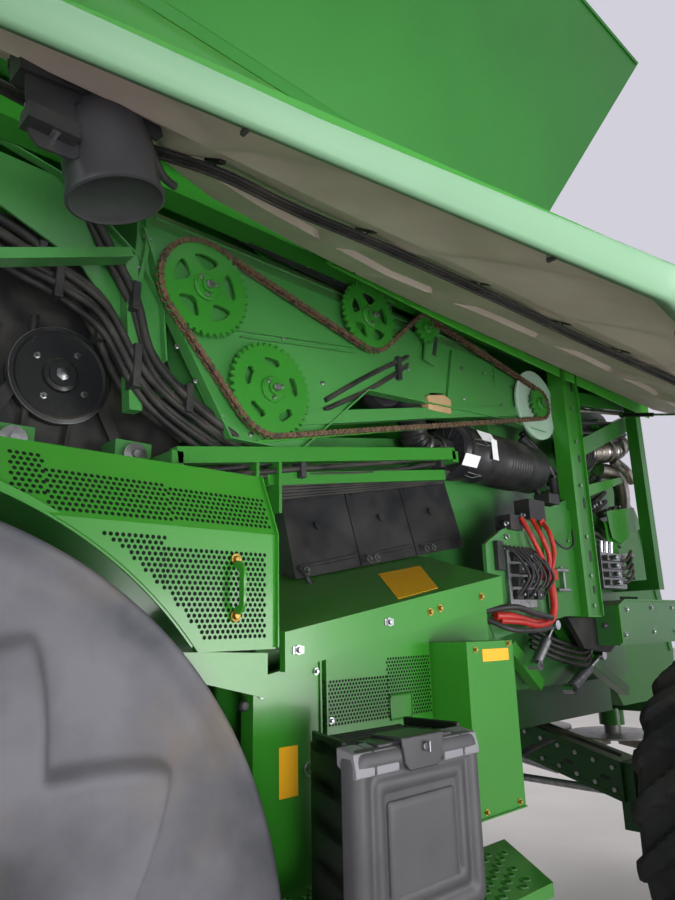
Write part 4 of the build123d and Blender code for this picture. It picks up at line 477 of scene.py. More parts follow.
BLACK_SATIN = moulded("dark grey satin polypropylene", "#2B2B2F", "#38383C", rough=0.34, size=2.0, film=0.1)
BOX_GREY = moulded("dark grey polypropylene of the box lid", "#3A3A3E", "#434347", rough=0.45, size=1.5, film=0.15)
# Paler grey of the lid's blocks where light falls on the upper edge: painted light.
BOX_LIT_GREY = moulded("grey of the lid's blocks, painted paler as lit", "#75757B", "#7E7E84", rough=0.4, size=1.5, film=0.1)
HOSE = moulded("black hydraulic hose rubber", "#121315", "#202123", rough=0.55, size=1.0, film=0.4)
FLAP_GREEN = enamel("deep green enamel of the tank extension", "#22701F", "#1E671C", film=0.15, rough=0.36, coat=0.0)
# Light green of the gutter rail where the sky lights it from above: painted light.
LEDGE_SKYLIT = enamel("new green enamel of the gutter rail", "#4FB83A", "#49AE36", film=0.05, rough=0.3, coat=0.1)
BLACK_PAINT = enamel("black enamel on steel", "#17181A", "#1F2022", film=0.5, rough=0.4, coat=0.2)
CHAIN = rusted("roller chain steel with rust bloom", "#3D3530", "#51402F", "#6B5442")
ZINC = bare_metal("zinc-plated steel", "#C4C7CA", "#9A9C9E", rough=0.30)
CHROMATE = bare_metal("yellow-chromated zinc plate", "#C9A85C", "#A98842", rough=0.34)
STAINLESS = bare_metal("corrugated stainless pipe, heat-tinted", "#B9B5AE", "#8A8178", rough=0.3, size=60)
CHROME = bare_metal("ground chrome plate on cylinder rod", "#DDDFE2", "#C2C4C8", rough=0.1)
IRON = enamel("grey-green enamel on cast iron engine", "#3C4A40", "#2F3B34", film=0.5, rough=0.5, coat=0.1)
ALUMINIUM = bare_metal("die-cast aluminium", "#A9ABAD", "#8C8E90", rough=0.45, size=25)
GLASS = clear_glass("tinted cab glass", "#9DB5AC")
CURTAIN = woven("black coated tarpaulin", "#17191B", "#2A2D30", size=6.0)
SEAT_CLOTH = woven("black and grey seat cloth", "#2A2C30", "#4A4D52", size=4.0)
RED = moulded("red battery cable rubber", "#B3231C", "#9C1F19", rough=0.4, size=2.0, film=0.2)
PIT = plain("shade in a punched hole", "#07120A", rough=0.9)
LABEL = plain("blank white foil", "#D9DCDD", rough=0.3)
ORANGE = plain("blank amber foil", "#EDB01C", rough=0.35)
LENS = plain("clear lamp lens", "#E6E8EA", rough=0.08, Coat_Weight=0.6)
AMBER = plain("amber lamp lens", "#E87A12", rough=0.12, Coat_Weight=0.6)
RED_LENS = plain("red lamp lens", "#A91515", rough=0.12, Coat_Weight=0.6)
CARDBOARD = moulded("kraft-brown cover of the relay box", "#A58B66", "#8E7656", rough=0.8, size=3.0)
STRAW = rusted("worn bright steel of the crop drum", "#8E8E8C", "#9A9894", "#7A7368", rough=0.45, size=60)
# Open side shield: liner, edge band painted pale as lit, harness and work lamp

# Lines on the shield: (station x, distance from the hinge)
EDGE_LINE = ((-4.2, 1.02), (-1.37, 1.37), (-0.07, 0.83))
BAND_LINE = ((-4.2, 0.95), (-2.4, 1.20), (-1.9, 1.265), (-1.54, 1.30), (-1.37, 1.328), (-0.95, 1.166), (-0.37, 0.925), (-0.07, 0.80))
LINER_LOW = ((-4.2, 0.06), (-2.0, 0.06), (-1.6, 0.10), (-1.25, 0.15), (-0.83, 0.26), (-0.55, 0.46), (-0.07, 0.655))
TROUGH_LINE = ((-4.2, 0.34), (-3.2, 0.46), (-2.6, 0.47), (-2.0, 0.41), (-1.5, 0.31), (-0.9, 0.42), (-0.55, 0.55), (-0.07, 0.67))
CREASE_LINE = ((-4.2, 0.74), (-2.1, 0.98), (-1.6, 0.90), (-1.2, 0.86), (-0.87, 0.80), (-0.4, 0.74), (-0.07, 0.69))
SHIELD_RIBS = (-0.55, -1.16, -1.72, -2.28, -2.84, -3.40, -3.96)
HARNESS = ((-0.20, 0.50), (-0.35, 0.47), (-0.52, 0.54), (-0.64, 0.60), (-0.84, 0.61), (-1.09, 0.67), (-1.49, 0.73), (-1.90, 0.76),
           (-2.20, 0.80), (-2.60, 0.84), (-3.20, 0.78), (-3.80, 0.66), (-4.10, 0.50))
CLIPS = (-0.62, -1.03, -1.43, -1.82, -2.15, -2.60, -3.10, -3.60)


def along(line, x):
    """Value of a table of (station, value) rows at stations x."""
    stations, values = np.array(line).T
    return np.interp(x, stations, values)


def on_shield(x, w, h, closed=False, side=1):
    """Point on the shield: station, distance from the hinge, and height over its middle toward the inner face."""
    angle = radians(SHIELD_DROOP)
    x, w, h = np.broadcast_arrays(x, w, h)
    if closed:
        angle = radians(90.0 - 9.6)
    y = SHIELD_HINGE[0] + w * cos(angle) - h * sin(angle)
    z = SHIELD_HINGE[1] - w * sin(angle) - h * cos(angle)
    return np.stack([x, side * y, z], -1)


def liner_relief(x, w, low, trough, crease, band):
    """Height of the moulded liner over the middle of the shield: strip, trough, crease and its cross ribs."""
    strip, floor, ridge, foot = 0.040, 0.020, 0.052, 0.022
    dip = np.clip((w - trough) / 0.014, 0, 1)
    up = np.clip((w - trough) / np.maximum(crease - trough, 0.02), 0, 1)
    down = np.clip((w - crease) / np.maximum(band - crease, 0.02), 0, 1)
    base = strip + (floor - strip) * dip + (ridge - floor) * up * dip
    base = np.where(w > crease, ridge + (foot - ridge) * down, base)
    for rib in SHIELD_RIBS:
        apart = np.abs(x - rib)
        flank = np.clip(1 - (apart - 0.022) / (0.012 + 0.20 * up), 0, 1)
        base = np.where((w > trough) & (w <= crease), np.maximum(base, floor + (ridge - floor) * flank), base)
        gusset = np.clip(1 - (apart - 0.016) / (0.02 + 0.34 * down), 0, 1)
        base = np.where(w > crease, np.maximum(base, foot + (ridge - foot) * gusset), base)
        seam = np.clip(1 - np.abs(x - rib - 0.2) / 0.007, 0, 1) * (w < trough)
        base = base - 0.006 * seam
    return base


def shield_liner(x0, x1, closed, side):
    x = np.linspace(x0, x1, int(abs(x1 - x0) / 0.012))[:, None]
    lines = [along(line, x) for line in (LINER_LOW, TROUGH_LINE, CREASE_LINE, BAND_LINE)]
    low, trough, crease, band = lines
    rows = [low + (trough - low) * t for t in np.linspace(0, 1, 8)]
    rows += [trough + 0.014 + (crease - trough - 0.014) * t for t in np.linspace(0, 1, 16)]
    rows += [crease + 0.0005 + (band - crease - 0.0005) * t for t in np.linspace(0, 1, 14)]
    w = np.concatenate(rows, 1)
    h = liner_relief(x, w, low, trough, crease, band)
    top = on_shield(np.broadcast_to(x, w.shape), w, h, closed, side)
    edge = [on_shield(x[:, 0], w[:, 0], 0.016, closed, side)[:, None], on_shield(x[:, 0], w[:, -1], 0.016, closed, side)[:, None]]
    stock = Stock()
    stock.grid(np.concatenate([edge[0], top, edge[1]], 1))
    return stock


def shield_band(x0, x1, closed, side):
    """Smooth rim along the free edge, rolled over at both sides, in green painted pale as a highlight where the rim is
    lit.
    """
    x = np.linspace(x0, x1, 180)[:, None]
    inner, outer = along(BAND_LINE, x), along(EDGE_LINE, x)
    section = ((0.0, 0.0, 0.014), (0.0, 0.0, 0.044), (0.0, 0.003, 0.0535), (0.12, 0.003, 0.0562), (0.70, 0.0, 0.0562), (1.0, -0.006, 0.0556),
               (1.0, 0.001, 0.052), (1.0, 0.005, 0.045), (1.0, 0.005, 0.004), (1.0, 0.003, -0.002), (1.0, -0.003, -0.005), (1.0, -0.020, -0.005))
    w = np.concatenate([inner + (outer - inner) * share + shift for share, shift, _ in section], 1)
    h = np.array([height for _, _, height in section])[None]
    # The rolled edge is tallest at the tip and at the front
    h = np.where(h < 0.006, h - np.interp(x, (-1.37, -0.6, -0.07), (0.017, 0.0, 0.010)), h)
    stock = Stock()
    stock.grid(on_shield(np.broadcast_to(x, w.shape), w, h, closed, side), ends=True, round_v=True)
    return stock


def shield_harness():
    stock = Stock()
    x, w = np.array(HARNESS).T
    w = w + 0.055 * np.clip((-0.30 - x) / 0.3, 0, 1)
    for shift, rise, radius in ((0.0, 0.062, 0.009), (0.017, 0.060, 0.006), (0.005, 0.074, 0.005)):
        stock.hose(on_shield(x, w + shift, rise), radius, steps=8, sides=10)
    clip = Stock()
    clip.slab((-0.011, 0.011), (-0.02, 0.034), (-0.040, -0.016))
    clip.slab((-0.008, 0.008), (0.020, 0.048), (-0.030, -0.012))
    clip.sweep(circle(0.003, 6), [(0, 0.019 * cos(a), 0.02 * sin(a) - 0.008) for a in np.linspace(0, 2 * pi, 15)], (1, 0, 0))
    angle = radians(SHIELD_DROOP)
    for station in CLIPS:
        place = on_shield(station, np.interp(station, x[::-1], w[::-1]), 0.062)
        turn = Matrix(((1, 0, 0), (0, cos(angle), -sin(angle)), (0, -sin(angle), -cos(angle)))).to_4x4()
        stock.copies(clip, [np.array(Matrix.Translation(Vector(place)) @ turn)])
    for station in SHIELD_RIBS:
        place = on_shield(station + 0.05, along(BAND_LINE, station) - 0.02, 0.052)
        stock.copies(clip, [placed(place, 0.0, "X", 0.35)])
    return stock


def shield_lamp():
    """Bracket with its corrugated elbow and the cup of the work lamp, and the small bolts that hold them."""
    body, metal = Stock(), Stock()
    outline = np.array([(-0.197, 2.738), (-0.21, 2.76), (-0.267, 2.77), (-0.40, 2.79), (-0.449, 2.745), (-0.474, 2.687), (-0.46, 2.67),
                        (-0.33, 2.70), (-0.295, 2.66), (-0.311, 2.556), (-0.30, 2.545), (-0.24, 2.542), (-0.222, 2.56)])
    body.plate(outline[::-1], (0, 1.945, 0), (1, 0, 0), (0, 0, 1), 0.006)
    body.plate([(-0.42, -0.02), (-0.19, -0.02), (-0.19, 0.035), (-0.42, 0.035)], (0, 1.94, 2.70), (1, 0, -0.12), (0, -1, 0.1), 0.05)
    body.slab((-0.455, -0.30), (1.90, 1.955), (2.745, 2.80))
    body.slab((-0.30, -0.21), (1.93, 1.975), (2.57, 2.60))
    body.hose([(-0.222, 1.90, 2.70), (-0.218, 1.885, 2.745), (-0.240, 1.88, 2.778), (-0.268, 1.885, 2.772), (-0.284, 1.885, 2.74),
               (-0.280, 1.885, 2.705), (-0.262, 1.89, 2.672)], 0.021, steps=10, sides=18)
    path = smooth_path([(-0.222, 1.90, 2.70), (-0.218, 1.885, 2.745), (-0.240, 1.88, 2.778), (-0.268, 1.885, 2.772),
                        (-0.284, 1.885, 2.74), (-0.280, 1.885, 2.705), (-0.262, 1.89, 2.672)], 24)
    wave = 1.0 + 0.12 * np.sign(np.sin(np.arange(len(path)) * 2 * pi / 7.0))
    body.sweep(circle(0.024, 20), path, (0, 1, 0), scale=wave)
    body.hose([(-0.262, 1.89, 2.675), (-0.30, 1.885, 2.66), (-0.335, 1.89, 2.70), (-0.36, 1.90, 2.745)], 0.010)
    body.hose([(-0.44, 1.93, 2.70), (-0.47, 1.90, 2.68), (-0.52, 1.86, 2.665), (-0.56, 1.84, 2.668)], 0.009)
    tilt = unit((-0.12, 0.02, -0.55))
    cup = Stock()
    cup.turned([(0.0, 0.0), (0.030, 0.0), (0.036, 0.010), (0.040, 0.028), (0.058, 0.036), (0.073, 0.060), (0.084, 0.105),
                (0.089, 0.160), (0.090, 0.222), (0.094, 0.232), (0.094, 0.240), (0.088, 0.242), (0.080, 0.236), (0.0, 0.230)],
               (-0.352, 1.895, 2.762), tilt, 56)
    metal.turned([(0.034, 0.012), (0.042, 0.012), (0.043, 0.020), (0.034, 0.020)], (-0.352, 1.895, 2.762), tilt, 40)
    bolts = ((-0.245, 1.955, 2.745), (-0.43, 1.955, 2.725), (-0.262, 1.955, 2.575), (-0.335, 1.90, 2.80), (-0.41, 1.895, 2.80))
    for bolt in bolts:
        metal.turned([(0.0, -0.012), (0.009, -0.012), (0.009, 0.012), (0.005, 0.016), (0.0, 0.016)], bolt, (0, -1, 0), 6)
    metal.turned([(0.0, 0.0), (0.004, 0.0), (0.004, 0.035), (0.0, 0.036)], (-0.25, 1.93, 2.62), (1, 0, 0.1), 8)
    return body, cup, metal


def shield_pieces():
    fit("shield_liner_left", shield_liner(-0.085, -4.185, False, 1), LINER, "side_shield_left", sharp=22)
    fit("shield_band_left", shield_band(-0.068, -4.202, False, 1), GREEN_PAINTED_LIT, "side_shield_left", sharp=50)
    fit("shield_liner_right", shield_liner(-0.085, -2.975, True, -1), LINER, "side_shield_right", sharp=22)
    fit("shield_band_right", shield_band(-0.068, -2.992, True, -1), GREEN_PAINTED_LIT, "side_shield_right", sharp=50)
    fit("shield_harness", shield_harness(), HOSE, "side_shield_left", sharp=50)
    body, cup, metal = shield_lamp()
    fit("work_lamp_bracket", body, BLACK, "side_shield_left", sharp=40)
    fit("work_lamp_cup", cup, BLACK_SATIN, "side_shield_left", sharp=50)
    fit("work_lamp_bolts", metal, ZINC, "side_shield_left")


shield_pieces()
# Lugged tyres and the trim of their rims


def tyre_surface(radius, width, inner_y, rim_r, lugs, side, x, dam):
    """Tyre as a grid round the axle: carcass section with lugs that run from the tread's middle down each shoulder."""
    half = width / 2
    # Carcass section from bead to bead: (share of the half width, radius)
    section = np.array([(-0.72, rim_r), (-0.80, rim_r + 0.035), (-0.93, rim_r + 0.10), (-0.985, rim_r + 0.22), (-0.975, radius * 0.80),
                        (-0.93, radius * 0.885), (-0.84, radius * 0.925), (-0.6, radius * 0.938), (-0.3, radius * 0.943)])
    section = np.vstack([section, [(0.0, radius * 0.944)], section[::-1] * (-1, 1)])
    steps = np.linspace(0, len(section) - 1, 96)
    if dam:
        # Even spacing along the section, so that the side's relief keeps its edges
        run = np.append(0.0, np.cumsum(np.hypot(*(np.diff(section, axis=0) * (half, 1.0)).T)))
        steps = np.interp(np.linspace(0, run[-1], 150), run, np.arange(len(section)))
    share = np.interp(steps, range(len(section)), section[:, 0])
    height = np.interp(steps, range(len(section)), section[:, 1])
    kernel = np.array([1, 3, 5, 3, 1]) / 13.0
    share[2:-2], height[2:-2] = np.convolve(share, kernel, "valid"), np.convolve(height, kernel, "valid")
    # A dam closes the grooves at the shoulder of the front tyres
    ring = np.clip((np.abs(share) - 0.70) / 0.10, 0, 1) * np.clip((1.0 - np.abs(share)) / 0.05, 0, 1)
    height = height + dam * radius * ring * np.clip((height - radius * 0.82) / (radius * 0.08), 0, 1)
    turns = lugs * (36 if dam else 24)
    theta = np.linspace(0, 2 * pi, turns, endpoint=False)[:, None]
    across = np.abs(share)[None] * np.sign(share)[None]
    out = np.abs(share)[None]
    # Each side's lugs sweep back from the middle, and the sides are half a pitch apart
    depth_in = np.clip((height[None] - radius * 0.80) / (radius * 0.11), 0, 1)
    lean = 0.46 * (1 - out) * half / radius * 1.9
    phase = (theta * lugs / (2 * pi) + np.where(across > 0, 0.5, 0.0) + lean * lugs / (2 * pi)) % 1.0
    lug_half = 0.17 + 0.06 * (1 - out)
    apart = np.abs(phase - 0.5)
    rise = np.clip((lug_half + 0.055 - apart) / 0.055, 0, 1)
    rise = rise * rise * (3 - 2 * rise)
    middle = np.clip(1 - (0.02 - out) / 0.05, 0, 1) * np.clip((1.02 - out) / 0.02, 0, 1)
    rise = rise * depth_in * middle
    # On a tyre with a dam the lugs run out into the smooth shoulder
    fade = np.clip((out - 0.66) / 0.12, 0, 1) * (dam > 0)
    rise = rise * (1 - fade)
    # Full height on the tread, thinning to a soft lump low on the shoulder
    lift = radius * 0.052 * rise
    r = height[None] + lift * np.clip((height[None] - radius * 0.86) / (radius * 0.05), 0, 1)
    w = across * half + np.sign(across) * 0.020 * rise * (out > 0.9)
    if dam:
        # Raised side panel with a zigzag border, whose points reach toward the tread, and a hollow between it and the shoulder's ring
        border = radius * (0.66 + 0.19 * (1 - 2 * np.sqrt(apart ** 2 + 0.0016)))
        panel = np.clip((border - height[None]) / (radius * 0.045), 0, 1)
        panel = panel * panel * (3 - 2 * panel)
        zone = np.clip((height[None] - radius * 0.56) / (radius * 0.10), 0, 1) * np.clip((radius * 0.965 - height[None]) / (radius * 0.050), 0, 1)
        w = w - np.sign(across) * (0.012 + 0.044 * (1 - panel) - 0.010 * np.exp(-((border - height[None] - radius * 0.06) / (radius * 0.025)) ** 2)) * zone * (out > 0.8)
    else:
        # Soft lumps where the lugs run down the side
        lump = np.exp(-(apart / (lug_half + 0.06)) ** 2 * 1.5) * np.exp(-((height[None] - radius * 0.80) / (radius * 0.085)) ** 2)
        w = w + np.sign(across) * (0.024 * lump - 0.006) * (out > 0.8)
    w = np.clip(w, -half + 0.001, half - 0.001)
    r = np.minimum(r, radius - 0.0005)
    y = inner_y + half + w
    points = np.stack([x + r * np.sin(theta), side * np.broadcast_to(y, r.shape), radius + r * np.cos(theta)], -1)
    stock = Stock()
    stock.grid(points, round_u=True)
    return stock


def rim_trim(radius, width, inner_y, rim_r, side, x, hub_r):
    """Rolled lips, wheel nuts and the valve of one rim."""
    stock, nuts = Stock(), Stock()
    bead = width * 0.14
    for y, way in ((inner_y + bead, -1), (inner_y + width - bead, 1)):
        stock.turned([(rim_r - 0.016, -0.030), (rim_r + 0.002, -0.030), (rim_r + 0.004, 0.004), (rim_r + 0.018, 0.016),
                      (rim_r + 0.020, 0.024), (rim_r + 0.004, 0.026), (rim_r - 0.014, 0.006)], (x, side * y, radius), (0, side * way, 0), 72)
    disc_y = inner_y + width * 0.42 + 0.022
    stock.turned([(0.0, 0.06), (hub_r * 0.55, 0.06), (hub_r * 0.6, 0.10), (hub_r * 0.35, 0.115), (0.0, 0.118)],
                 (x, side * disc_y, radius), (0, side, 0), 40)
    for i in range(10):
        turn = 2 * pi * i / 10
        centre = (x + hub_r * 1.28 * cos(turn), side * (disc_y + 0.026), radius + hub_r * 1.28 * sin(turn))
        nuts.turned([(0.0, 0.0), (0.017, 0.0), (0.017, 0.016), (0.010, 0.018), (0.010, 0.03), (0.0, 0.031)], centre, (0, side, 0), 6)
    nuts.bar((x, side * (disc_y + 0.004), radius + rim_r * 0.82), (x, side * (disc_y + 0.05), radius + rim_r * 0.84), 0.006, 10)
    return stock, nuts


# End: station, radius, width, inner face, rim radius, lugs on each side, hub radius, height of the shoulder's dam
WHEEL_ROWS = {"front": (0.0, 1.0, 0.65, 1.10, 0.43, 13, 0.19, 0.053), "rear": (-3.8, 0.775, 0.54, 1.45, 0.33, 20, 0.13, 0.0)}


def wheel_pieces():
    for end, (x, radius, width, inner_y, rim_r, lugs, hub_r, dam) in WHEEL_ROWS.items():
        for side, word in ((1, "left"), (-1, "right")):
            body = f"{end}_wheel_{word}"
            fit(f"tyre_{end}_{word}_skin", tyre_surface(radius, width, inner_y, rim_r, lugs, side, x, dam),
                RUBBER if dam else RUBBER_DARK, body,
                sharp=48, stands_for=[f"tyre_{end}_{word}"])
            lips, nuts = rim_trim(radius, width, inner_y, rim_r, side, x, hub_r)
            fit(f"rim_{end}_{word}_lips", lips, YELLOW, body)
            fit(f"rim_{end}_{word}_nuts", nuts, ZINC, body)


wheel_pieces()
# Chain drive, tube housing, belt drive and the hoses behind them

# Wheel: station, height, pitch radius, teeth, kind of windows
DRIVE_WHEELS = {"upper": (-1.002, 2.813, 0.150, 40, "drops"), "lower": (-1.274, 2.519, 0.150, 40, "slots"),
                "idler": (-1.774, 2.946, 0.130, 35, "drops"), "tensioner": (-2.133, 3.000, 0.048, 13, ""),
                "drive": (-3.040, 2.835, 0.065, 17, "")}
CHAIN_ORDER = (("upper", 1), ("idler", -1), ("tensioner", 1), ("drive", 1), ("lower", 1))
CHAIN_OUT = 0.013


def chain_line():
    """Closed centre line of the chain, as many (x, z) points: straight runs and arcs round the wheels."""
    rows = [(*DRIVE_WHEELS[name][:2], (DRIVE_WHEELS[name][2] + CHAIN_OUT), side) for name, side in CHAIN_ORDER]
    spans = []
    for (ax, az, ar, side_a), (bx, bz, br, side_b) in zip(rows, rows[1:] + rows[:1]):
        ra, rb = ar * side_a, br * side_b
        apart = hypot(bx - ax, bz - az)
        swing = np.arctan2((apart ** 2 - (ra - rb) ** 2) ** 0.5, ra - rb)
        angle = np.arctan2(bz - az, bx - ax) - swing
        spans.append(((ax + ra * cos(angle), az + ra * sin(angle)), (bx + rb * cos(angle), bz + rb * sin(angle))))
    line = []
    for i, (leave, meet) in enumerate(spans):
        line += [leave, meet]
        x, z, radius, side = rows[(i + 1) % len(rows)]
        away = spans[(i + 1) % len(rows)][0]
        a0, a1 = np.arctan2(meet[1] - z, meet[0] - x), np.arctan2(away[1] - z, away[0] - x)
        turn = (a1 - a0) % (2 * pi) if side > 0 else -((a0 - a1) % (2 * pi))
        line += [(x + radius * cos(a0 + turn * t), z + radius * sin(a0 + turn * t)) for t in np.linspace(0, 1, 40)[1:-1]]
    return np.array(line)


def even_steps(line, pitch):
    """Points an even pitch apart along a closed line, an even number of them."""
    loop = np.vstack([line, line[:1]])
    run = np.concatenate([[0], np.cumsum(np.hypot(*np.diff(loop, axis=0).T))])
    count = int(round(run[-1] / pitch / 2)) * 2
    at = np.linspace(0, run[-1], count, endpoint=False)
    return np.column_stack([np.interp(at, run, loop[:, 0]), np.interp(at, run, loop[:, 1])])


def link_outline(length, radius, waist):
    """Figure-of-eight side plate about its middle, as (x, z) points."""
    points = []
    for end in (1, -1):
        for angle in np.linspace(-1.9, 1.9, 9):
            points.append((end * (length / 2 + radius * cos(angle)), end * radius * sin(angle)))
        points.append((0.0, end * waist))
    return np.array(points)


def chain_stock():
    pins = even_steps(chain_line(), 0.0254)
    ahead = np.roll(pins, -1, 0)
    stock = Stock()
    outer, inner = Stock(), Stock()
    for plate, y, reach in ((outer, 0.0105, 0.0104), (inner, 0.0078, 0.0098)):
        outline = link_outline(0.0254, reach, 0.0066)
        for side in (1, -1):
            origin = (0, side * y - 0.001, 0)
            plate.plate(outline, origin, (1, 0, 0), (0, 0, 1), -0.0022)
    for end in (-1, 1):
        outer.bar((end * 0.0127, -0.0145, 0), (end * 0.0127, 0.0145, 0), 0.0042, 8)
        inner.bar((end * 0.0127, -0.0068, 0), (end * 0.0127, 0.0068, 0), 0.0072, 10)
    for i, (a, b) in enumerate(zip(pins, ahead)):
        angle = -np.arctan2(b[1] - a[1], b[0] - a[0])
        place = placed(((a[0] + b[0]) / 2, DRIVE_Y, (a[1] + b[1]) / 2), angle, "Y")
        stock.copies(outer if i % 2 else inner, [place])
    return stock


def toothed_outline(radius, teeth):
    """Outline of a sprocket: rounded gaps between short teeth."""
    step = 2 * pi / teeth
    rows = ((-0.5, -0.012), (-0.36, -0.0105), (-0.24, -0.004), (-0.14, 0.003), (0.14, 0.003), (0.24, -0.004), (0.36, -0.0105))
    points = []
    for i in range(teeth):
        for share, lift in rows:
            angle = (i + share) * step
            points.append(((radius + CHAIN_OUT + lift + 0.004) * cos(angle), (radius + CHAIN_OUT + lift + 0.004) * sin(angle)))
    return points


def window_outline(radius, kind, turn):
    """Window in a sprocket's disc: a drop that narrows inward, or a bean along the rim."""
    if kind == "slots":
        arc = np.linspace(-0.26, 0.26, 9)
        ring = [(0.775 * radius, a) for a in arc] + [(0.70 * radius, 0.36)] + [(0.585 * radius, a) for a in arc[::-1]] \
            + [(0.66 * radius, -0.36)]
    else:
        arc = np.linspace(-0.34, 0.34, 9)
        ring = [(0.785 * radius, a) for a in arc] + [(0.745 * radius, 0.42), (0.66 * radius, 0.42), (0.52 * radius, 0.32),
                                                     (0.435 * radius, 0.20), (0.415 * radius, 0.05), (0.43 * radius, -0.12),
                                                     (0.52 * radius, -0.28), (0.66 * radius, -0.40), (0.745 * radius, -0.42)]
    return [(r * cos(a + turn), r * sin(a + turn)) for r, a in ring]


def sprocket_stock():
    discs, metal = Stock(), Stock()
    for name, (x, z, radius, teeth, kind) in DRIVE_WHEELS.items():
        holes = [window_outline(radius, kind, 2 * pi * (i + 0.25) / 5) for i in range(5 if kind else 0)]
        disc = cut_plate(toothed_outline(radius, teeth), holes, 0.012, 0.0006)
        discs.copies(disc, [placed((x, DRIVE_Y, z), pi / 2, "X")])
        hub = 0.047 if kind else radius * 0.5
        discs.turned([(0.0, -0.046), (hub, -0.046), (hub, 0.014), (hub - 0.006, 0.020), (hub * 0.55, 0.021), (hub * 0.55, 0.030),
                      (0.0, 0.031)], (x, DRIVE_Y, z), (0, 1, 0), 36)
        metal.turned([(0.0, 0.020), (hub * 0.34, 0.020), (hub * 0.34, 0.038), (hub * 0.26, 0.042), (0.0, 0.043)],
                     (x, DRIVE_Y, z), (0, 1, 0), 6)
        for i in range(3 if kind else 0):
            turn = 2 * pi * (i + 0.3) / 3
            metal.turned([(0.0, 0.0), (0.0075, 0.0), (0.0075, 0.007), (0.004, 0.009), (0.004, 0.014), (0.0, 0.014)],
                         (x + 0.034 * cos(turn), DRIVE_Y + 0.019, z + 0.034 * sin(turn)), (0, 1, 0), 6)
    return discs, metal


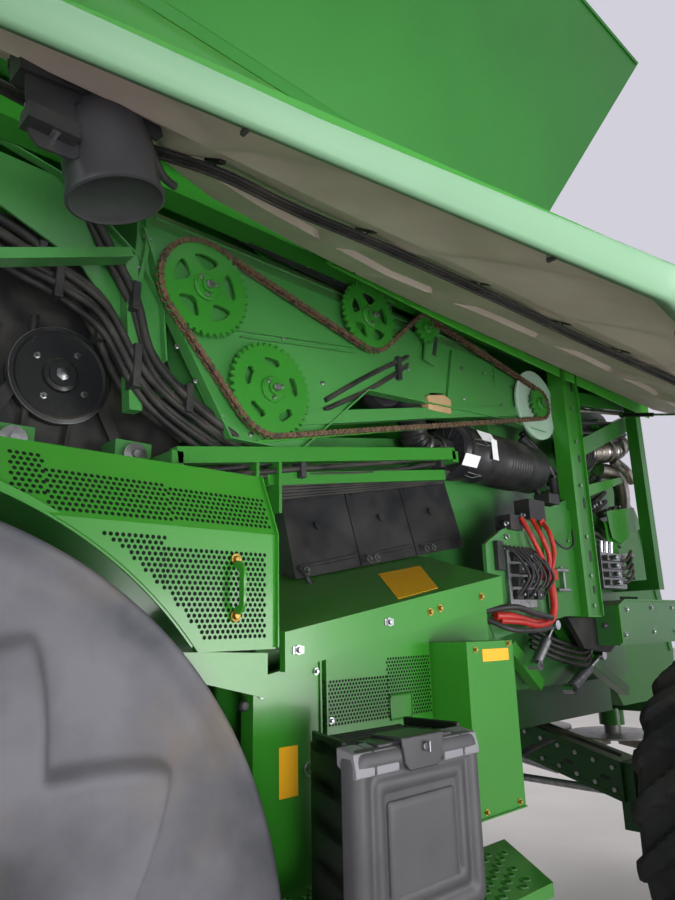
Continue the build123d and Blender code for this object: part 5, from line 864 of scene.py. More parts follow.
def drive_fittings():
    """Tensioner arm, hems and beams of the plate, flanges of the tube, and its arched cover."""
    green, bright, dark, metal = Stock(), Stock(), Stock(), Stock()
    hem = [(-0.79, 2.96), (-0.90, 2.70), (-1.13, 2.33), (-1.42, 2.33), (-1.78, 2.64), (-2.70, 2.70), (-3.20, 2.70)]
    for (ax, az), (bx, bz) in zip(hem, hem[1:]):
        green.sweep([(-0.003, -0.004), (0.003, -0.004), (0.003, 0.026), (-0.003, 0.026)], [(ax, 1.203, az), (bx, 1.203, bz)], (0, 1, 0))
    green.plate([(-0.035, -0.13), (0.035, -0.13), (0.045, 0.10), (-0.045, 0.10)], (-2.20, 1.222, 2.98), (1, 0, 0.25), (-0.25, 0, 1), -0.010)
    dark.plate([(-0.011, -0.05), (0.011, -0.05), (0.011, 0.05), (-0.011, 0.05)], (-2.215, 1.2325, 2.945), (1, 0, 0.25), (-0.25, 0, 1), -0.002)
    # Beam above the chain's lower run, with its thin lower edge in the lighter green as a painted highlight
    green.sweep([(-0.02, -0.025), (0.02, -0.025), (0.02, 0.025), (-0.02, 0.025)], [(-1.43, 1.20, 2.455), (-2.10, 1.20, 2.607)], (0, 0, 1))
    bright.sweep([(-0.004, -0.004), (0.004, -0.004), (0.004, 0.004), (-0.004, 0.004)], [(-1.236, 1.222, 2.334), (-2.861, 1.222, 2.716)])
    green.sweep([(-0.02, -0.024), (0.02, -0.024), (0.02, 0.024), (-0.02, 0.024)], [(-2.10, 1.20, 2.607), (-2.87, 1.20, 2.771)], (0, 0, 1))
    # Flanges round the tube, and a seam along it
    for x, radius, wide in ((-0.80, 0.238, 0.014), (-1.88, 0.232, 0.010), (-1.90, 0.232, 0.010), (-2.70, 0.228, 0.012), (-3.10, 0.135, 0.014)):
        green.turned([(0.10, 0.0), (radius, 0.0), (radius, wide), (0.10, wide)], (x, 0.985, 2.936), (-1, 0, 0), 64)
        for i in range(14):
            turn = 2 * pi * i / 14
            metal.turned([(0.0, -0.008), (0.007, -0.008), (0.007, 0.022), (0.0, 0.022)],
                         (x, 0.985 + (radius - 0.012) * cos(turn), 2.936 + (radius - 0.012) * sin(turn)), (-1, 0, 0), 6)
    turn = radians(38)
    seam = [(x, 0.985 + 0.217 * cos(turn), 2.936 + 0.217 * sin(turn)) for x in (-0.86, -2.66)]
    green.sweep([(-0.022, -0.004), (0.022, -0.004), (0.022, 0.004), (-0.022, 0.004)], seam, (0, cos(turn), sin(turn)))
    # Arched cover that stands over the tube, its bolts and its dark seal; the cover and the edge above the seal are in
    # the lighter green of painted light
    arc = np.linspace(radians(28), radians(152), 40)
    middle = (-1.53, 3.02)
    for radius, y, thick in ((0.262, 1.125, 0.012),):
        outer = np.column_stack([middle[0] + radius * np.cos(arc), middle[1] + radius * np.sin(arc)])
        inner = np.column_stack([middle[0] + (radius - 0.035) * np.cos(arc), middle[1] + (radius - 0.035) * np.sin(arc)])
        bright.plate(np.vstack([outer, inner[::-1]]), (0, y, 0), (1, 0, 0), (0, 0, 1), -thick)
    path = [(middle[0] + 0.225 * cos(a), 1.10, middle[1] + 0.225 * sin(a)) for a in arc]
    bright.sweep([(-0.05, -0.003), (0.03, -0.003), (0.03, 0.003), (-0.05, 0.003)], path, (0, 1, 0))
    green.plate([(middle[0] + 0.225 * cos(a), middle[1] + 0.225 * sin(a)) for a in arc], (0, 1.07, 0), (1, 0, 0), (0, 0, 1), -0.006)
    for a in arc[3:-3:7]:
        metal.turned([(0.0, 0.0), (0.008, 0.0), (0.008, 0.007), (0.0, 0.008)], (middle[0] + 0.243 * cos(a), 1.137, middle[1] + 0.243 * sin(a)),
                     (0, 1, 0), 6)
    dark.sweep([(-0.012, -0.016), (0.012, -0.016), (0.012, 0.016), (-0.012, 0.016)], [(-1.165, 1.20, 3.098), (-1.96, 1.20, 3.062)], (0, 0, 1))
    bright.sweep([(-0.004, -0.005), (0.014, -0.005), (0.014, 0.005), (-0.004, 0.005)], [(-1.165, 1.21, 3.118), (-1.96, 1.21, 3.082)], (0, 0, 1))
    for i in range(6):
        x = -1.2 - 0.14 * i
        metal.turned([(0.0, 0.0), (0.006, 0.0), (0.006, 0.006), (0.0, 0.007)], (x, 1.212, 3.097 - 0.045 * (-x - 1.165)), (0, 1, 0), 6)
    # Ribs and bolts on the plate, between the sprockets
    for (ax, az), (bx, bz) in (((-1.16, 2.72), (-1.72, 2.81)), ((-1.17, 2.70), (-1.73, 2.79)), ((-2.30, 2.72), (-2.36, 2.97))):
        green.sweep([(-0.002, 0.0), (0.002, 0.0), (0.002, 0.016), (-0.002, 0.016)], [(ax, 1.204, az), (bx, 1.204, bz)], (0, 1, 0))
    for x, z in ((-0.93, 2.60), (-1.00, 2.50), (-1.10, 2.40), (-1.22, 2.36), (-1.45, 2.40), (-1.55, 2.62), (-1.36, 2.75), (-1.48, 2.90),
                 (-1.95, 2.74), (-2.05, 2.80), (-2.44, 2.75), (-2.44, 2.90), (-2.62, 2.74), (-2.62, 2.92), (-2.85, 2.90), (-2.75, 2.78)):
        metal.turned([(0.0, 0.0), (0.009, 0.0), (0.009, 0.007), (0.005, 0.009), (0.005, 0.013), (0.0, 0.013)], (x, 1.204, z), (0, 1, 0), 6)
    return green, bright, dark, metal


def guard_disc():
    stock = Stock()
    x, z = DRIVE_WHEELS["drive"][:2]
    stock.turned([(0.0, -0.002), (0.186, -0.002), (0.187, 0.010), (0.180, 0.012), (0.150, 0.006), (0.060, 0.006), (0.0, 0.006)],
                 (x, 1.222, z), (0, 1, 0), 64)
    return stock


def belt_pieces():
    """Grooved pulley with its bright rim, bolts and belt, in front of a dark sheet and bars that stand for the shade in
    the bay.
    """
    pulley, belt, metal, shade, green = Stock(), Stock(), Stock(), Stock(), Stock()
    x, z, y = -0.64, 2.485, 1.0
    pulley.turned([(0.0, -0.030), (0.138, -0.030), (0.150, -0.028), (0.150, -0.020), (0.128, -0.008), (0.128, 0.012), (0.150, 0.024),
                   (0.152, 0.034), (0.140, 0.036), (0.128, 0.026), (0.060, 0.022), (0.052, 0.040), (0.040, 0.044), (0.0, 0.045)],
                  (x, y, z), (0, 1, 0), 72)
    metal.turned([(0.150, 0.026), (0.1535, 0.026), (0.1535, 0.034), (0.150, 0.034)], (x, y, z), (0, 1, 0), 72)
    metal.turned([(0.0, 0.045), (0.022, 0.045), (0.022, 0.052), (0.012, 0.056), (0.0, 0.058)], (x, y, z), (0, 1, 0), 6)
    for i in range(4):
        turn = 2 * pi * (i + 0.35) / 4
        metal.turned([(0.0, 0.0), (0.011, 0.0), (0.011, 0.010), (0.006, 0.012), (0.006, 0.022), (0.0, 0.022)],
                     (x + 0.088 * cos(turn), y + 0.023, z + 0.088 * sin(turn)), (0, 1, 0), 6)
    ring = [(x + 0.138 * cos(a), y + 0.002, z + 0.138 * sin(a)) for a in np.linspace(radians(-20), radians(200), 40)]
    belt.sweep([(-0.015, -0.011), (0.015, -0.011), (0.019, 0.012), (-0.019, 0.012)],
               np.vstack([[(-0.36, y + 0.002, 2.10)], ring, [(-0.92, y + 0.002, 2.16)]]), (0, 1, 0))
    # Black sheet and bars over the body's side: painted shade filling the dark bay.
    shade.slab((0.30, -1.12), (0.984, 0.990), (2.17, 2.98))
    for i in range(7):
        px = 0.05 - 0.12 * i
        shade.bar((px, 1.01, 2.20), (px - 0.05 + 0.02 * (i % 3), 1.0, 2.62 + 0.05 * (i % 2)), 0.008 + 0.004 * (i % 2), 8)
    for px, pz in ((-0.50, 2.235), (-0.86, 2.245)):
        green.slab((px - 0.06, px + 0.06), (0.99, 1.09), (pz - 0.06, pz + 0.055))
        metal.turned([(0.0, 0.0), (0.038, 0.0), (0.038, 0.016), (0.012, 0.018), (0.012, 0.03), (0.0, 0.03)], (px, 1.09, pz + 0.01), (0, 1, 0), 24)
    green.sweep([(-0.03, -0.014), (0.03, -0.014), (0.03, 0.014), (-0.03, 0.014)], [(-0.05, 1.35, 2.515), (-0.685, 1.35, 2.765)], (0, 0, 1))
    green.sweep([(-0.024, -0.02), (0.024, -0.02), (0.024, 0.02), (-0.024, 0.02)], [(-0.76, 1.19, 2.86), (-0.80, 1.19, 2.36)], (1, 0, 0))
    green.plate([(-0.05, 3.07), (-0.53, 3.057), (-0.79, 2.88), (-0.89, 2.745), (-0.91, 2.55), (-1.04, 2.42), (-0.90, 2.44), (-0.80, 2.60),
                 (-0.62, 2.80), (-0.30, 2.93), (-0.05, 2.95)], (0, 1.165, 0), (1, 0, 0), (0, 0, 1), 0.008)
    green.sweep([(-0.003, -0.014), (0.003, -0.014), (0.003, 0.014), (-0.003, 0.014)],
                [(-0.355, 1.18, 3.09), (-0.53, 1.18, 3.057), (-0.79, 1.18, 2.88), (-0.885, 1.18, 2.745), (-0.905, 1.18, 2.55)], (0, 1, 0))
    return pulley, belt, metal, shade, green


# Hoses that run together: knots (x, y, z), number, spacing, radius
HOSE_RUNS = (
    (((-0.05, 1.22, 2.86), (-0.39, 1.22, 2.737), (-0.54, 1.22, 2.70), (-0.68, 1.22, 2.634), (-0.78, 1.23, 2.486), (-0.88, 1.22, 2.40),
      (-1.07, 1.18, 2.33), (-1.30, 1.10, 2.28)), 5, 0.024, 0.011),
    (((-0.60, 1.16, 3.05), (-0.70, 1.19, 2.86), (-0.77, 1.22, 2.713), (-0.84, 1.22, 2.534), (-0.97, 1.21, 2.43), (-1.14, 1.19, 2.36),
      (-1.35, 1.12, 2.32)), 3, 0.026, 0.013),
    (((0.10, 1.16, 2.96), (-0.395, 1.15, 2.841), (-0.51, 1.15, 2.79), (-0.60, 1.16, 2.71), (-0.69, 1.17, 2.60), (-0.80, 1.16, 2.44),
      (-1.0, 1.14, 2.34)), 2, 0.03, 0.012),
    (((-0.95, 1.15, 2.20), (-1.13, 1.19, 2.225), (-1.44, 1.20, 2.287), (-1.86, 1.20, 2.359), (-2.24, 1.19, 2.44), (-2.55, 1.12, 2.50)),
     4, 0.021, 0.010),
    (((-1.56, 1.20, 2.52), (-1.78, 1.20, 2.655), (-1.98, 1.20, 2.785), (-2.12, 1.17, 2.86), (-2.30, 1.12, 2.80)), 4, 0.022, 0.010),
)


def hose_runs():
    stock, ties = Stock(), Stock()
    for knots, count, gap, radius in HOSE_RUNS:
        knots = np.array(knots)
        for i in range(count):
            shift = (i - (count - 1) / 2) * gap
            wobble = 0.006 * np.sin(np.arange(len(knots)) * 1.7 + i * 2.1)
            stock.hose(knots + np.column_stack([wobble, 0.010 * ((i % 2) * 2 - 1) + 0 * wobble, shift + wobble]), radius, steps=7, sides=10)
        for k in (2, 4):
            if k < len(knots):
                ties.slab((knots[k][0] - 0.012, knots[k][0] + 0.012), (knots[k][1] - 0.028, knots[k][1] + 0.026),
                          (knots[k][2] - count * gap / 2 - 0.008, knots[k][2] + count * gap / 2 + 0.008))
    return stock, ties


def drive_pieces():
    fit("roller_chain", chain_stock(), CHAIN, stands_for=["drive_chain"])
    discs, metal = sprocket_stock()
    fit("sprocket_discs", discs, GREEN, stands_for=["drive_sprockets"], sharp=30)
    fit("sprocket_nuts", metal, ZINC)
    fit("guard_disc_skin", guard_disc(), DISC_PAINT)
    green, bright, dark, metal = drive_fittings()
    fit("drive_case_fittings", green, GREEN_DEEP)
    fit("drive_case_edges", bright, GREEN_LIT)
    fit("drive_case_seals", dark, BLACK)
    fit("drive_case_bolts", metal, ZINC)
    pulley, belt, metal, shade, green = belt_pieces()
    fit("belt_pulley_skin", pulley, BLACK_PAINT, sharp=30)
    fit("drive_belt", belt, HOSE)
    fit("belt_pulley_bolts", metal, ZINC)
    fit("bay_painted_shade", shade, HOSE)
    fit("bay_brackets", green, GREEN_DEEP)
    stock, ties = hose_runs()
    fit("drive_hoses", stock, HOSE, sharp=60)
    fit("hose_ties", ties, BLACK, bevel=0.003)


drive_pieces()
# Guard panels, shelf, covers, doors, toolbox and step on the left; the same panels on the right


def hexagons(points, radius, normal, lift=0.0006):
    """Flat dark six-sided discs that stand for punched holes, a hair proud of the sheet."""
    points = np.asarray(points, float)
    normal = unit(normal)
    across = unit(np.cross((0, 0, 1), normal))
    upward = np.cross(normal, across)
    angle = np.arange(6) * pi / 3 + pi / 6
    ring = radius * (np.cos(angle)[:, None] * across + np.sin(angle)[:, None] * upward)
    corners = (points + normal * lift)[:, None] + ring[None]
    stock = Stock()
    stock.add(corners, [np.arange(len(points) * 6).reshape(-1, 6)])
    return stock


def hole_field(x0, x1, z0, z1, pitch):
    """Staggered (x, z) places between two stations and two heights."""
    rows = np.arange(z0, z1, pitch * 0.866)
    columns = np.arange(min(x0, x1), max(x0, x1), pitch)
    x = columns[None] + (np.arange(len(rows)) % 2)[:, None] * pitch / 2
    return np.column_stack([x.ravel(), np.broadcast_to(rows[:, None], x.shape).ravel()])


def guard_plane(x, z):
    """Point on the guard's leaning upper face at station x and height z."""
    return np.column_stack([x, 1.5 - (z - 1.978) * 0.08 / 0.182, z])


# Perforated fields: first and last station, lowest and highest place
UPPER_FIELDS = ((-0.39, -0.465, 2.030, 2.125), (-0.465, -0.775, 1.995, 2.095), (-0.775, -1.085, 2.000, 2.082))
LOWER_FIELDS = ((-0.545, -0.755, 1.705, 1.955), (-0.755, -1.062, 1.705, 1.925))
DOOR_FIELDS = ((-1.322, -1.585, 1.448, 1.572), (-1.585, -1.792, 1.448, 1.625))


def perforations(side):
    fields = []
    for x0, x1, z0, z1 in UPPER_FIELDS:
        places = hole_field(x0, x1, z0, z1, 0.0155)
        fields.append(hexagons(guard_plane(*places.T) * (1, side, 1), 0.0058, (0, side * 0.182, 0.08)))
    for x0, x1, z0, z1 in LOWER_FIELDS:
        places = hole_field(x0, x1, z0, z1, 0.0155)
        clear = np.hypot(places[:, 0], places[:, 1] - 1.0) > 1.118
        slope = places[:, 1] > 1.69 + (places[:, 0] + 1.062) * -0.10
        places = places[clear & slope]
        fields.append(hexagons(np.column_stack([places[:, 0], np.full(len(places), side * 1.5), places[:, 1]]), 0.0058, (0, side, 0)))
    for x0, x1, z0, z1 in DOOR_FIELDS:
        places = hole_field(x0, x1, z0, z1, 0.0125)
        pocket = (np.abs(places[:, 0] + 1.645) < 0.052) & (np.abs(places[:, 1] - 1.473) < 0.036)
        places = places[~pocket]
        fields.append(hexagons(np.column_stack([places[:, 0], np.full(len(places), side * 1.45), places[:, 1]]), 0.0047, (0, side, 0)))
    whole = Stock()
    for field in fields:
        whole.copies(field, [np.eye(4)])
    return whole


def bolt(stock, place, normal, radius=0.009, washer=True):
    profile = [(0.0, -0.002)]
    if washer:
        profile += [(radius * 1.7, -0.002), (radius * 1.7, 0.002)]
    profile += [(radius, 0.002), (radius, 0.009), (radius * 0.8, 0.0105), (0.0, 0.011)]
    stock.turned(profile, place, normal, 6 if not washer else 12)


def ring_pin(stock, place, normal, radius=0.014):
    """Small ring of bright wire that hangs on a face."""
    normal = unit(normal)
    across = unit(np.cross((0, 0, 1), normal))
    upward = np.cross(normal, across)
    angle = np.linspace(0, 2 * pi, 22)
    path = np.asarray(place) + normal * 0.012 + radius * (np.cos(angle)[:, None] * across + np.sin(angle)[:, None] * upward)
    stock.sweep(circle(0.0022, 6), path, normal)
    stock.bar(np.asarray(place) - normal * 0.004, np.asarray(place) + normal * 0.02, 0.004, 8)


def shelf_height(x, y):
    return 1.713 + (-1.133 - x) * tan(ROTOR_RISE) + 0.11 * (1.5 - y) / 0.395


def flank_trim(side):
    """Handle, hems, bolts, latches and blank patches of one flank."""
    green, chromate, zinc, black, patch = Stock(), Stock(), Stock(), Stock(), Stock()
    s = side
    green.sweep([(-0.010, -0.004), (0.010, -0.004), (0.010, 0.004), (-0.010, 0.004)],
                smooth_path([(-0.963, s * 1.503, 1.905), (-0.963, s * 1.506, 1.893), (-0.9635, s * 1.535, 1.878), (-0.964, s * 1.538, 1.83),
                             (-0.9645, s * 1.535, 1.782), (-0.965, s * 1.506, 1.766), (-0.965, s * 1.503, 1.754)], 6), (1, 0, 0))
    for z in (1.903, 1.757):
        bolt(chromate, (-0.964, s * 1.507, z), (0, s, 0), 0.009)
    # Returned edges of the guard: along its rear end and round the arch
    green.sweep([(-0.002, -0.012), (0.002, -0.012), (0.002, 0.012), (-0.002, 0.012)],
                [(-1.1, s * 1.424, 2.157), (-1.101, s * 1.5, 1.978), (-1.101, s * 1.5, 1.674)], (0, 1, 0))
    arch = [(1.093 * sin(a), s * 1.493, 1.0 + 1.093 * cos(a)) for a in np.linspace(radians(-51), radians(17), 50)]
    green.sweep([(-0.010, -0.002), (0.010, -0.002), (0.010, 0.004), (-0.010, 0.004)], arch, (0, 1, 0))
    # Sheet beside the guard's foot, over the tyre
    green.plate([(-0.78, 1.62), (-1.075, 1.545), (-1.075, 1.66), (-0.88, 1.67), (-0.80, 1.672)], (0, s * 1.492, 0), (1, 0, 0), (0, 0, 1), -0.006)
    # Shelf: lip fasteners and the crease's bright fold
    for x, z, kind in ((-1.178, 1.664, 1), (-1.55, 1.735, 1), (-1.755, 1.766, 0), (-1.808, 1.778, 0), (-2.05, 1.82, 0)):
        if kind:
            zinc.slab((x - 0.020, x + 0.020), (s * 1.499, s * 1.503), (z - 0.010, z + 0.010))
            bolt(zinc, (x, s * 1.503, z), (0, s, 0), 0.008)
        else:
            bolt(chromate, (x, s * 1.501, z), (0, s, 0), 0.008)
    # Doors: hems, hinges and ring latch
    for x, low, top in ((-1.062, 0.90, 1.59), (-1.300, 0.90, 1.63), (-1.324, 0.90, 1.635), (-1.64, 0.90, 1.10)):
        green.slab((x - 0.003, x + 0.003), (s * 1.448, s * 1.456), (low + 0.01, top))
    ring_pin(zinc, (-1.248, s * 1.452, 1.346), (0, s, 0), 0.019)
    for x, z in ((-1.09, 1.55), (-1.285, 1.60), (-1.34, 1.46), (-1.34, 1.30)):
        bolt(zinc, (x, s * 1.452, z), (0, s, 0), 0.006)
    black.turned([(0.0, 0.0), (0.014, 0.0), (0.014, 0.012), (0.010, 0.016), (0.0, 0.017)], (-1.027, s * 1.45, 1.528), (0, s, 0), 20)
    green.sweep(circle(0.0035, 8), [(-1.645 + 0.052 * a, s * 1.4515, 1.473 + 0.036 * b) for a, b in
                                    ((-1, -1), (-1, 1), (1, 1), (1, -1), (-1, -1))], (0, 1, 0))
    # Proud box: hem, bolts
    green.sweep([(-0.002, -0.006), (0.002, -0.006), (0.002, 0.006), (-0.002, 0.006)],
                [(-1.812, s * 1.602, 1.132), (-2.073, s * 1.602, 1.132)], (0, 1, 0))
    for x, z in ((-1.855, 1.150), (-2.040, 1.150), (-1.855, 1.640), (-2.045, 1.655)):
        bolt(chromate, (x, s * 1.6, z), (0, s, 0), 0.006)
    # Covers: dots, ring pins, hinge strip and the latch at their foot
    for x in (-1.648, -2.002, -2.333):
        place = (x, s * (1.047 + 0.003), 1.963 + (-1.133 - x) * tan(ROTOR_RISE) + 0.05)
        black.turned([(0.0, 0.0), (0.016, 0.0), (0.016, 0.010), (0.0, 0.012)], place, (0, s, 0.28), 16)
    for x in (-1.538, -1.864, -1.905, -2.216, -2.262):
        ring_pin(zinc, (x, s * 1.108, shelf_height(x, 1.105) + 0.026), (0, s, 0.28), 0.013)
    black.hose([(-1.50, s * 1.12, 1.93), (-1.505, s * 1.15, 1.905), (-1.515, s * 1.155, 1.88), (-1.54, s * 1.15, 1.875)], 0.008)
    for x0, x1 in ((-1.505, -1.825), (-1.845, -2.165), (-2.18, -2.50)):
        rise = tan(ROTOR_RISE)
        for share in (0.12, 0.86):
            z0 = 1.829 + (-1.133 - x0) * rise + 0.35 * share
            black.sweep([(-0.008, -0.002), (0.008, -0.002), (0.005, 0.006), (-0.005, 0.006)],
                        [(x0 - 0.02, s * (1.1 - 0.1 * share + 0.001), z0), (x1 + 0.02, s * (1.1 - 0.1 * share + 0.001), z0 - (x1 - x0) * rise)],
                        (0, s, 0.28))
    # Blank patches: on the shelf's slope, on the plain door and on the proud box
    corners = ((-1.815, 1.206), (-2.05, 1.215), (-1.848, 1.465), (-1.629, 1.472))
    normal = unit((tan(ROTOR_RISE), 0.11 / 0.395, 1.0))
    face = np.array([(x, y, shelf_height(x, y)) for x, y in corners]) + normal * 0.0012
    patch.grid(np.stack([face, face - normal * 0.001]) * (1, s, 1), round_v=True, ends=True)
    patch.slab((-1.150, -1.215), (s * 1.4500, s * 1.4512), (1.282, 1.410))
    patch.slab((-1.893, -2.045), (s * 1.600, s * 1.6013), (1.600, 1.640))
    return green, chromate, zinc, black, patch


def beams(side):
    """Sloped beams and the seal above the covers."""
    stock, seal, metal = Stock(), Stock(), Stock()
    s = side
    for y, x0, z0, x1, z1, half in ((1.22, -0.93, 2.238, -2.30, 2.455, 0.026), (1.18, -1.30, 2.218, -2.27, 2.362, 0.022)):
        stock.sweep([(-0.02, -half), (0.02, -half), (0.02, half), (-0.02, half)], [(x0, s * y, z0), (x1, s * y, z1)], (0, 0, 1))
    for x in (-1.235, -1.33):
        stock.slab((x - 0.006, x + 0.006), (s * 1.17, s * 1.23), (2.10, 2.31))
    for x in (-0.93, -2.30):
        stock.slab((x - 0.02, x + 0.02), (s * 0.975, s * 1.24), (2.20 + (-0.93 - x) * 0.158, 2.25 + (-0.93 - x) * 0.158))
    for i in range(5):
        seal.hose([(-1.36, s * (1.14 + 0.012 * i), 2.165 + 0.01 * i), (-1.8, s * (1.15 + 0.010 * i), 2.245 + 0.008 * i),
                   (-2.32, s * (1.14 + 0.01 * i), 2.345 + 0.01 * i)], 0.008, steps=6, sides=8)
    for i in range(5):
        x = -1.45 - 0.2 * i
        bolt(metal, (x, s * 1.201, 2.238 + (-0.93 - x) * 0.158 - 0.01), (0, s, 0), 0.006)
    return stock, seal, metal


def box_shell():
    """Moulded toolbox: its front side slants in behind the lid, with ribs along it."""
    stock = Stock()
    y0, y1, low, top, x0, x1, taper = 1.645, 1.848, 1.062, 1.452, -1.016, -1.424, 0.078
    slant = np.array([-taper, y0 - y1])
    out = unit((slant[1], -slant[0]))
    plan = [(x0, y1), (x1, y1), (x1, y0), (x0 - taper, y0)]
    for z0, z1 in ((low, low + 0.012), (top - 0.012, top)):
        stock.plate(plan, (0, 0, z0), (1, 0, 0), (0, 1, 0), z1 - z0)
    stock.plate([(x0, y1), (x0 - taper, y0), (x0 - taper - 0.012, y0), (x0 - 0.012, y1)], (0, 0, low), (1, 0, 0), (0, 1, 0), top - low)
    stock.slab((x1, x1 + 0.012), (y0, y1), (low, top))
    stock.slab((x0 - taper, x1), (y0, y0 + 0.010), (low, top))
    for i in range(5):
        z = low + 0.03 + i * 0.085
        stock.slab((x1, x1 - 0.012), (y0 + 0.012, y1 - 0.004), (z, z + 0.046))
        for share0, share1, deep, z0, z1 in ((0.03, 0.94, 0.012, z, z + 0.046), (0.20, 0.80, 0.020, z + 0.012, z + 0.034)):
            a = np.array([x0, y1]) + slant * share0
            b = np.array([x0, y1]) + slant * share1
            stock.plate([a, b, b - out[:2] * deep * -1, a - out[:2] * deep * -1], (0, 0, z0), (1, 0, 0), (0, 1, 0), z1 - z0)
    for i in range(7):
        y = y0 + 0.016 + i * 0.027
        inset = taper * (y1 - y) / (y1 - y0)
        stock.slab((x0 - 0.02 - inset, x1 + 0.02), (y, y + 0.012), (top - 0.004, top + 0.010))
    return stock


def box_lid():
    """Lid with its raised border, inset panel, corner blocks and centre latch."""
    stock, pale, latch, metal = Stock(), Stock(), Stock(), Stock()
    low, top, x0, x1 = 1.072, 1.462, -1.000, -1.440
    middle, height, wide, tall = (x0 + x1) / 2, (low + top) / 2, abs(x1 - x0), top - low
    # Face relief from outside in: (inset, y)
    rings = [(0.0, 1.858), (0.0, 1.884), (0.006, 1.894), (0.014, 1.899), (0.040, 1.8995), (0.047, 1.894), (0.062, 1.8925),
             (0.066, 1.896), (0.088, 1.8965), (0.094, 1.891), (0.098, 1.8905)]
    loops = []
    for inset, y in rings:
        outline = rounded(wide - 2 * inset, tall - 2 * inset, max(0.028 - inset * 0.18, 0.008), 5)
        loops.append(np.column_stack([outline[:, 0] + middle, np.full(len(outline), y), outline[:, 1] + height]))
    stock.grid(np.array(loops), round_v=True, ends=True)
    panel = []
    for inset, y in ((0.0, 1.889), (0.0, 1.8935), (0.004, 1.896), (0.020, 1.896)):
        outline = rounded(0.235 - 2 * inset, 0.205 - 2 * inset, 0.012, 4)
        panel.append(np.column_stack([outline[:, 0] + middle, np.full(len(outline), y), outline[:, 1] + height - 0.02]))
    stock.grid(np.array(panel), round_v=True, ends=True)
    # Lit blocks along the upper edge: first and last station
    for a, b in ((-1.004, -1.062), (-1.068, -1.140), (-1.300, -1.372), (-1.378, -1.436)):
        outline = [(1.840, top + 0.006), (1.893, top - 0.004), (1.9005, top - 0.040), (1.9005, top - 0.052), (1.880, top - 0.058), (1.840, top - 0.03)]
        ring = np.array(outline)
        points = np.stack([np.column_stack([np.full(len(ring), x), ring]) for x in (a, b)])
        pale.grid(points, round_v=True, ends=True)
    outline = [(-0.075, 0.014), (0.075, 0.014), (0.066, -0.040), (0.050, -0.058), (-0.050, -0.058), (-0.066, -0.040)]
    latch.plate(outline, (middle, 1.8985, top), (1, 0, 0), (0, 0, 1), -0.006)
    latch.slab((middle - 0.07, middle + 0.07), (1.800, 1.900), (top + 0.001, top + 0.014))
    latch.slab((middle - 0.13, middle + 0.13), (1.812, 1.884), (top - 0.006, top + 0.006))
    metal.turned([(0.0, 0.0), (0.009, 0.0), (0.009, 0.005), (0.0, 0.006)], (middle - 0.005, 1.904, top - 0.012), (0, 1, 0), 20)
    metal.slab((middle - 0.0065, middle - 0.0035), (1.906, 1.920), (top - 0.022, top + 0.0))
    return stock, pale, latch, metal


def step_stock():
    """Perforated step with a turned-down edge and two brackets."""
    plan = [(-1.0, 1.455), (-1.0, 1.91), (-1.70, 1.91), (-1.93, 1.605), (-1.81, 1.605), (-1.81, 1.455)]
    holes, marks = [], []
    for i in range(18):
        for j in range(9):
            x, y = -1.04 - i * 0.048, 1.490 + j * 0.048 + (i % 2) * 0.024
            inside = y < 1.885 - max(0.0, -1.66 - x) * 1.35 and not (x < -1.78 and y < 1.66)
            if inside and y > 1.47:
                angle = np.arange(10) * 2 * pi / 10
                holes.append(np.column_stack([x + 0.0125 * np.cos(angle), y + 0.0125 * np.sin(angle)]))
                marks.append((x, y))
    top = cut_plate(plan, holes, 0.006)
    stock = Stock()
    stock.copies(top, [placed((0, 0, 1.057))])
    for x, y in marks:
        stock.turned([(0.0120, 0.0), (0.0165, 0.0), (0.0145, 0.004), (0.0125, 0.004)], (x, y, 1.0597), (0, 0, 1), 10)
    ring = plan + plan[:1]
    for (ax, ay), (bx, by) in zip(ring[1:5], ring[2:6]):
        stock.sweep([(-0.002, -0.032), (0.002, -0.032), (0.002, 0.002), (-0.002, 0.002)], [(ax, ay, 1.058), (bx, by, 1.058)], (0, 0, 1))
    stock.sweep([(-0.002, -0.032), (0.002, -0.032), (0.002, 0.002), (-0.002, 0.002)], [(-1.0, 1.455, 1.058), (-1.0, 1.91, 1.058)], (0, 0, 1))
    for x in (-1.145, -1.605):
        stock.slab((x - 0.025, x + 0.025), (1.45, 1.89), (0.962, 1.030))
    return stock


def flank_pieces():
    for side, word in ((1, "left"), (-1, "right")):
        fit(f"punched_holes_{word}", perforations(side), PIT)
        green, chromate, zinc, black, patch = flank_trim(side)
        fit(f"flank_hems_{word}", green, GREEN_LIT)
        fit(f"flank_chromate_bolts_{word}", chromate, CHROMATE)
        fit(f"flank_zinc_bolts_{word}", zinc, ZINC)
        fit(f"flank_black_trim_{word}", black, BLACK)
        fit(f"flank_patches_{word}", patch, ORANGE)
        stock, seal, metal = beams(side)
        fit(f"cover_beams_{word}", stock, GREEN)
        fit(f"cover_seals_{word}", seal, HOSE)
        fit(f"cover_beam_bolts_{word}", metal, ZINC)
    fit("toolbox_shell", box_shell(), BLACK_SHADE, stands_for=["toolbox"], bevel=0.003)
    stock, pale, latch, metal = box_lid()
    fit("toolbox_lid_shell", stock, BOX_GREY, "toolbox_lid", stands_for=["toolbox_lid"], sharp=60)
    fit("toolbox_lid_blocks", pale, BOX_LIT_GREY, "toolbox_lid", bevel=0.002)
    fit("toolbox_latch", latch, BLACK_SATIN, "toolbox_lid", bevel=0.003)
    fit("toolbox_lock", metal, ZINC, "toolbox_lid")
    fit("step_plate", step_stock(), GREEN_LIT, stands_for=["step_platform"])


flank_pieces()
# Air cleaner, ducts, relay plate, post, pipes and cylinders between the flank and the rear axle


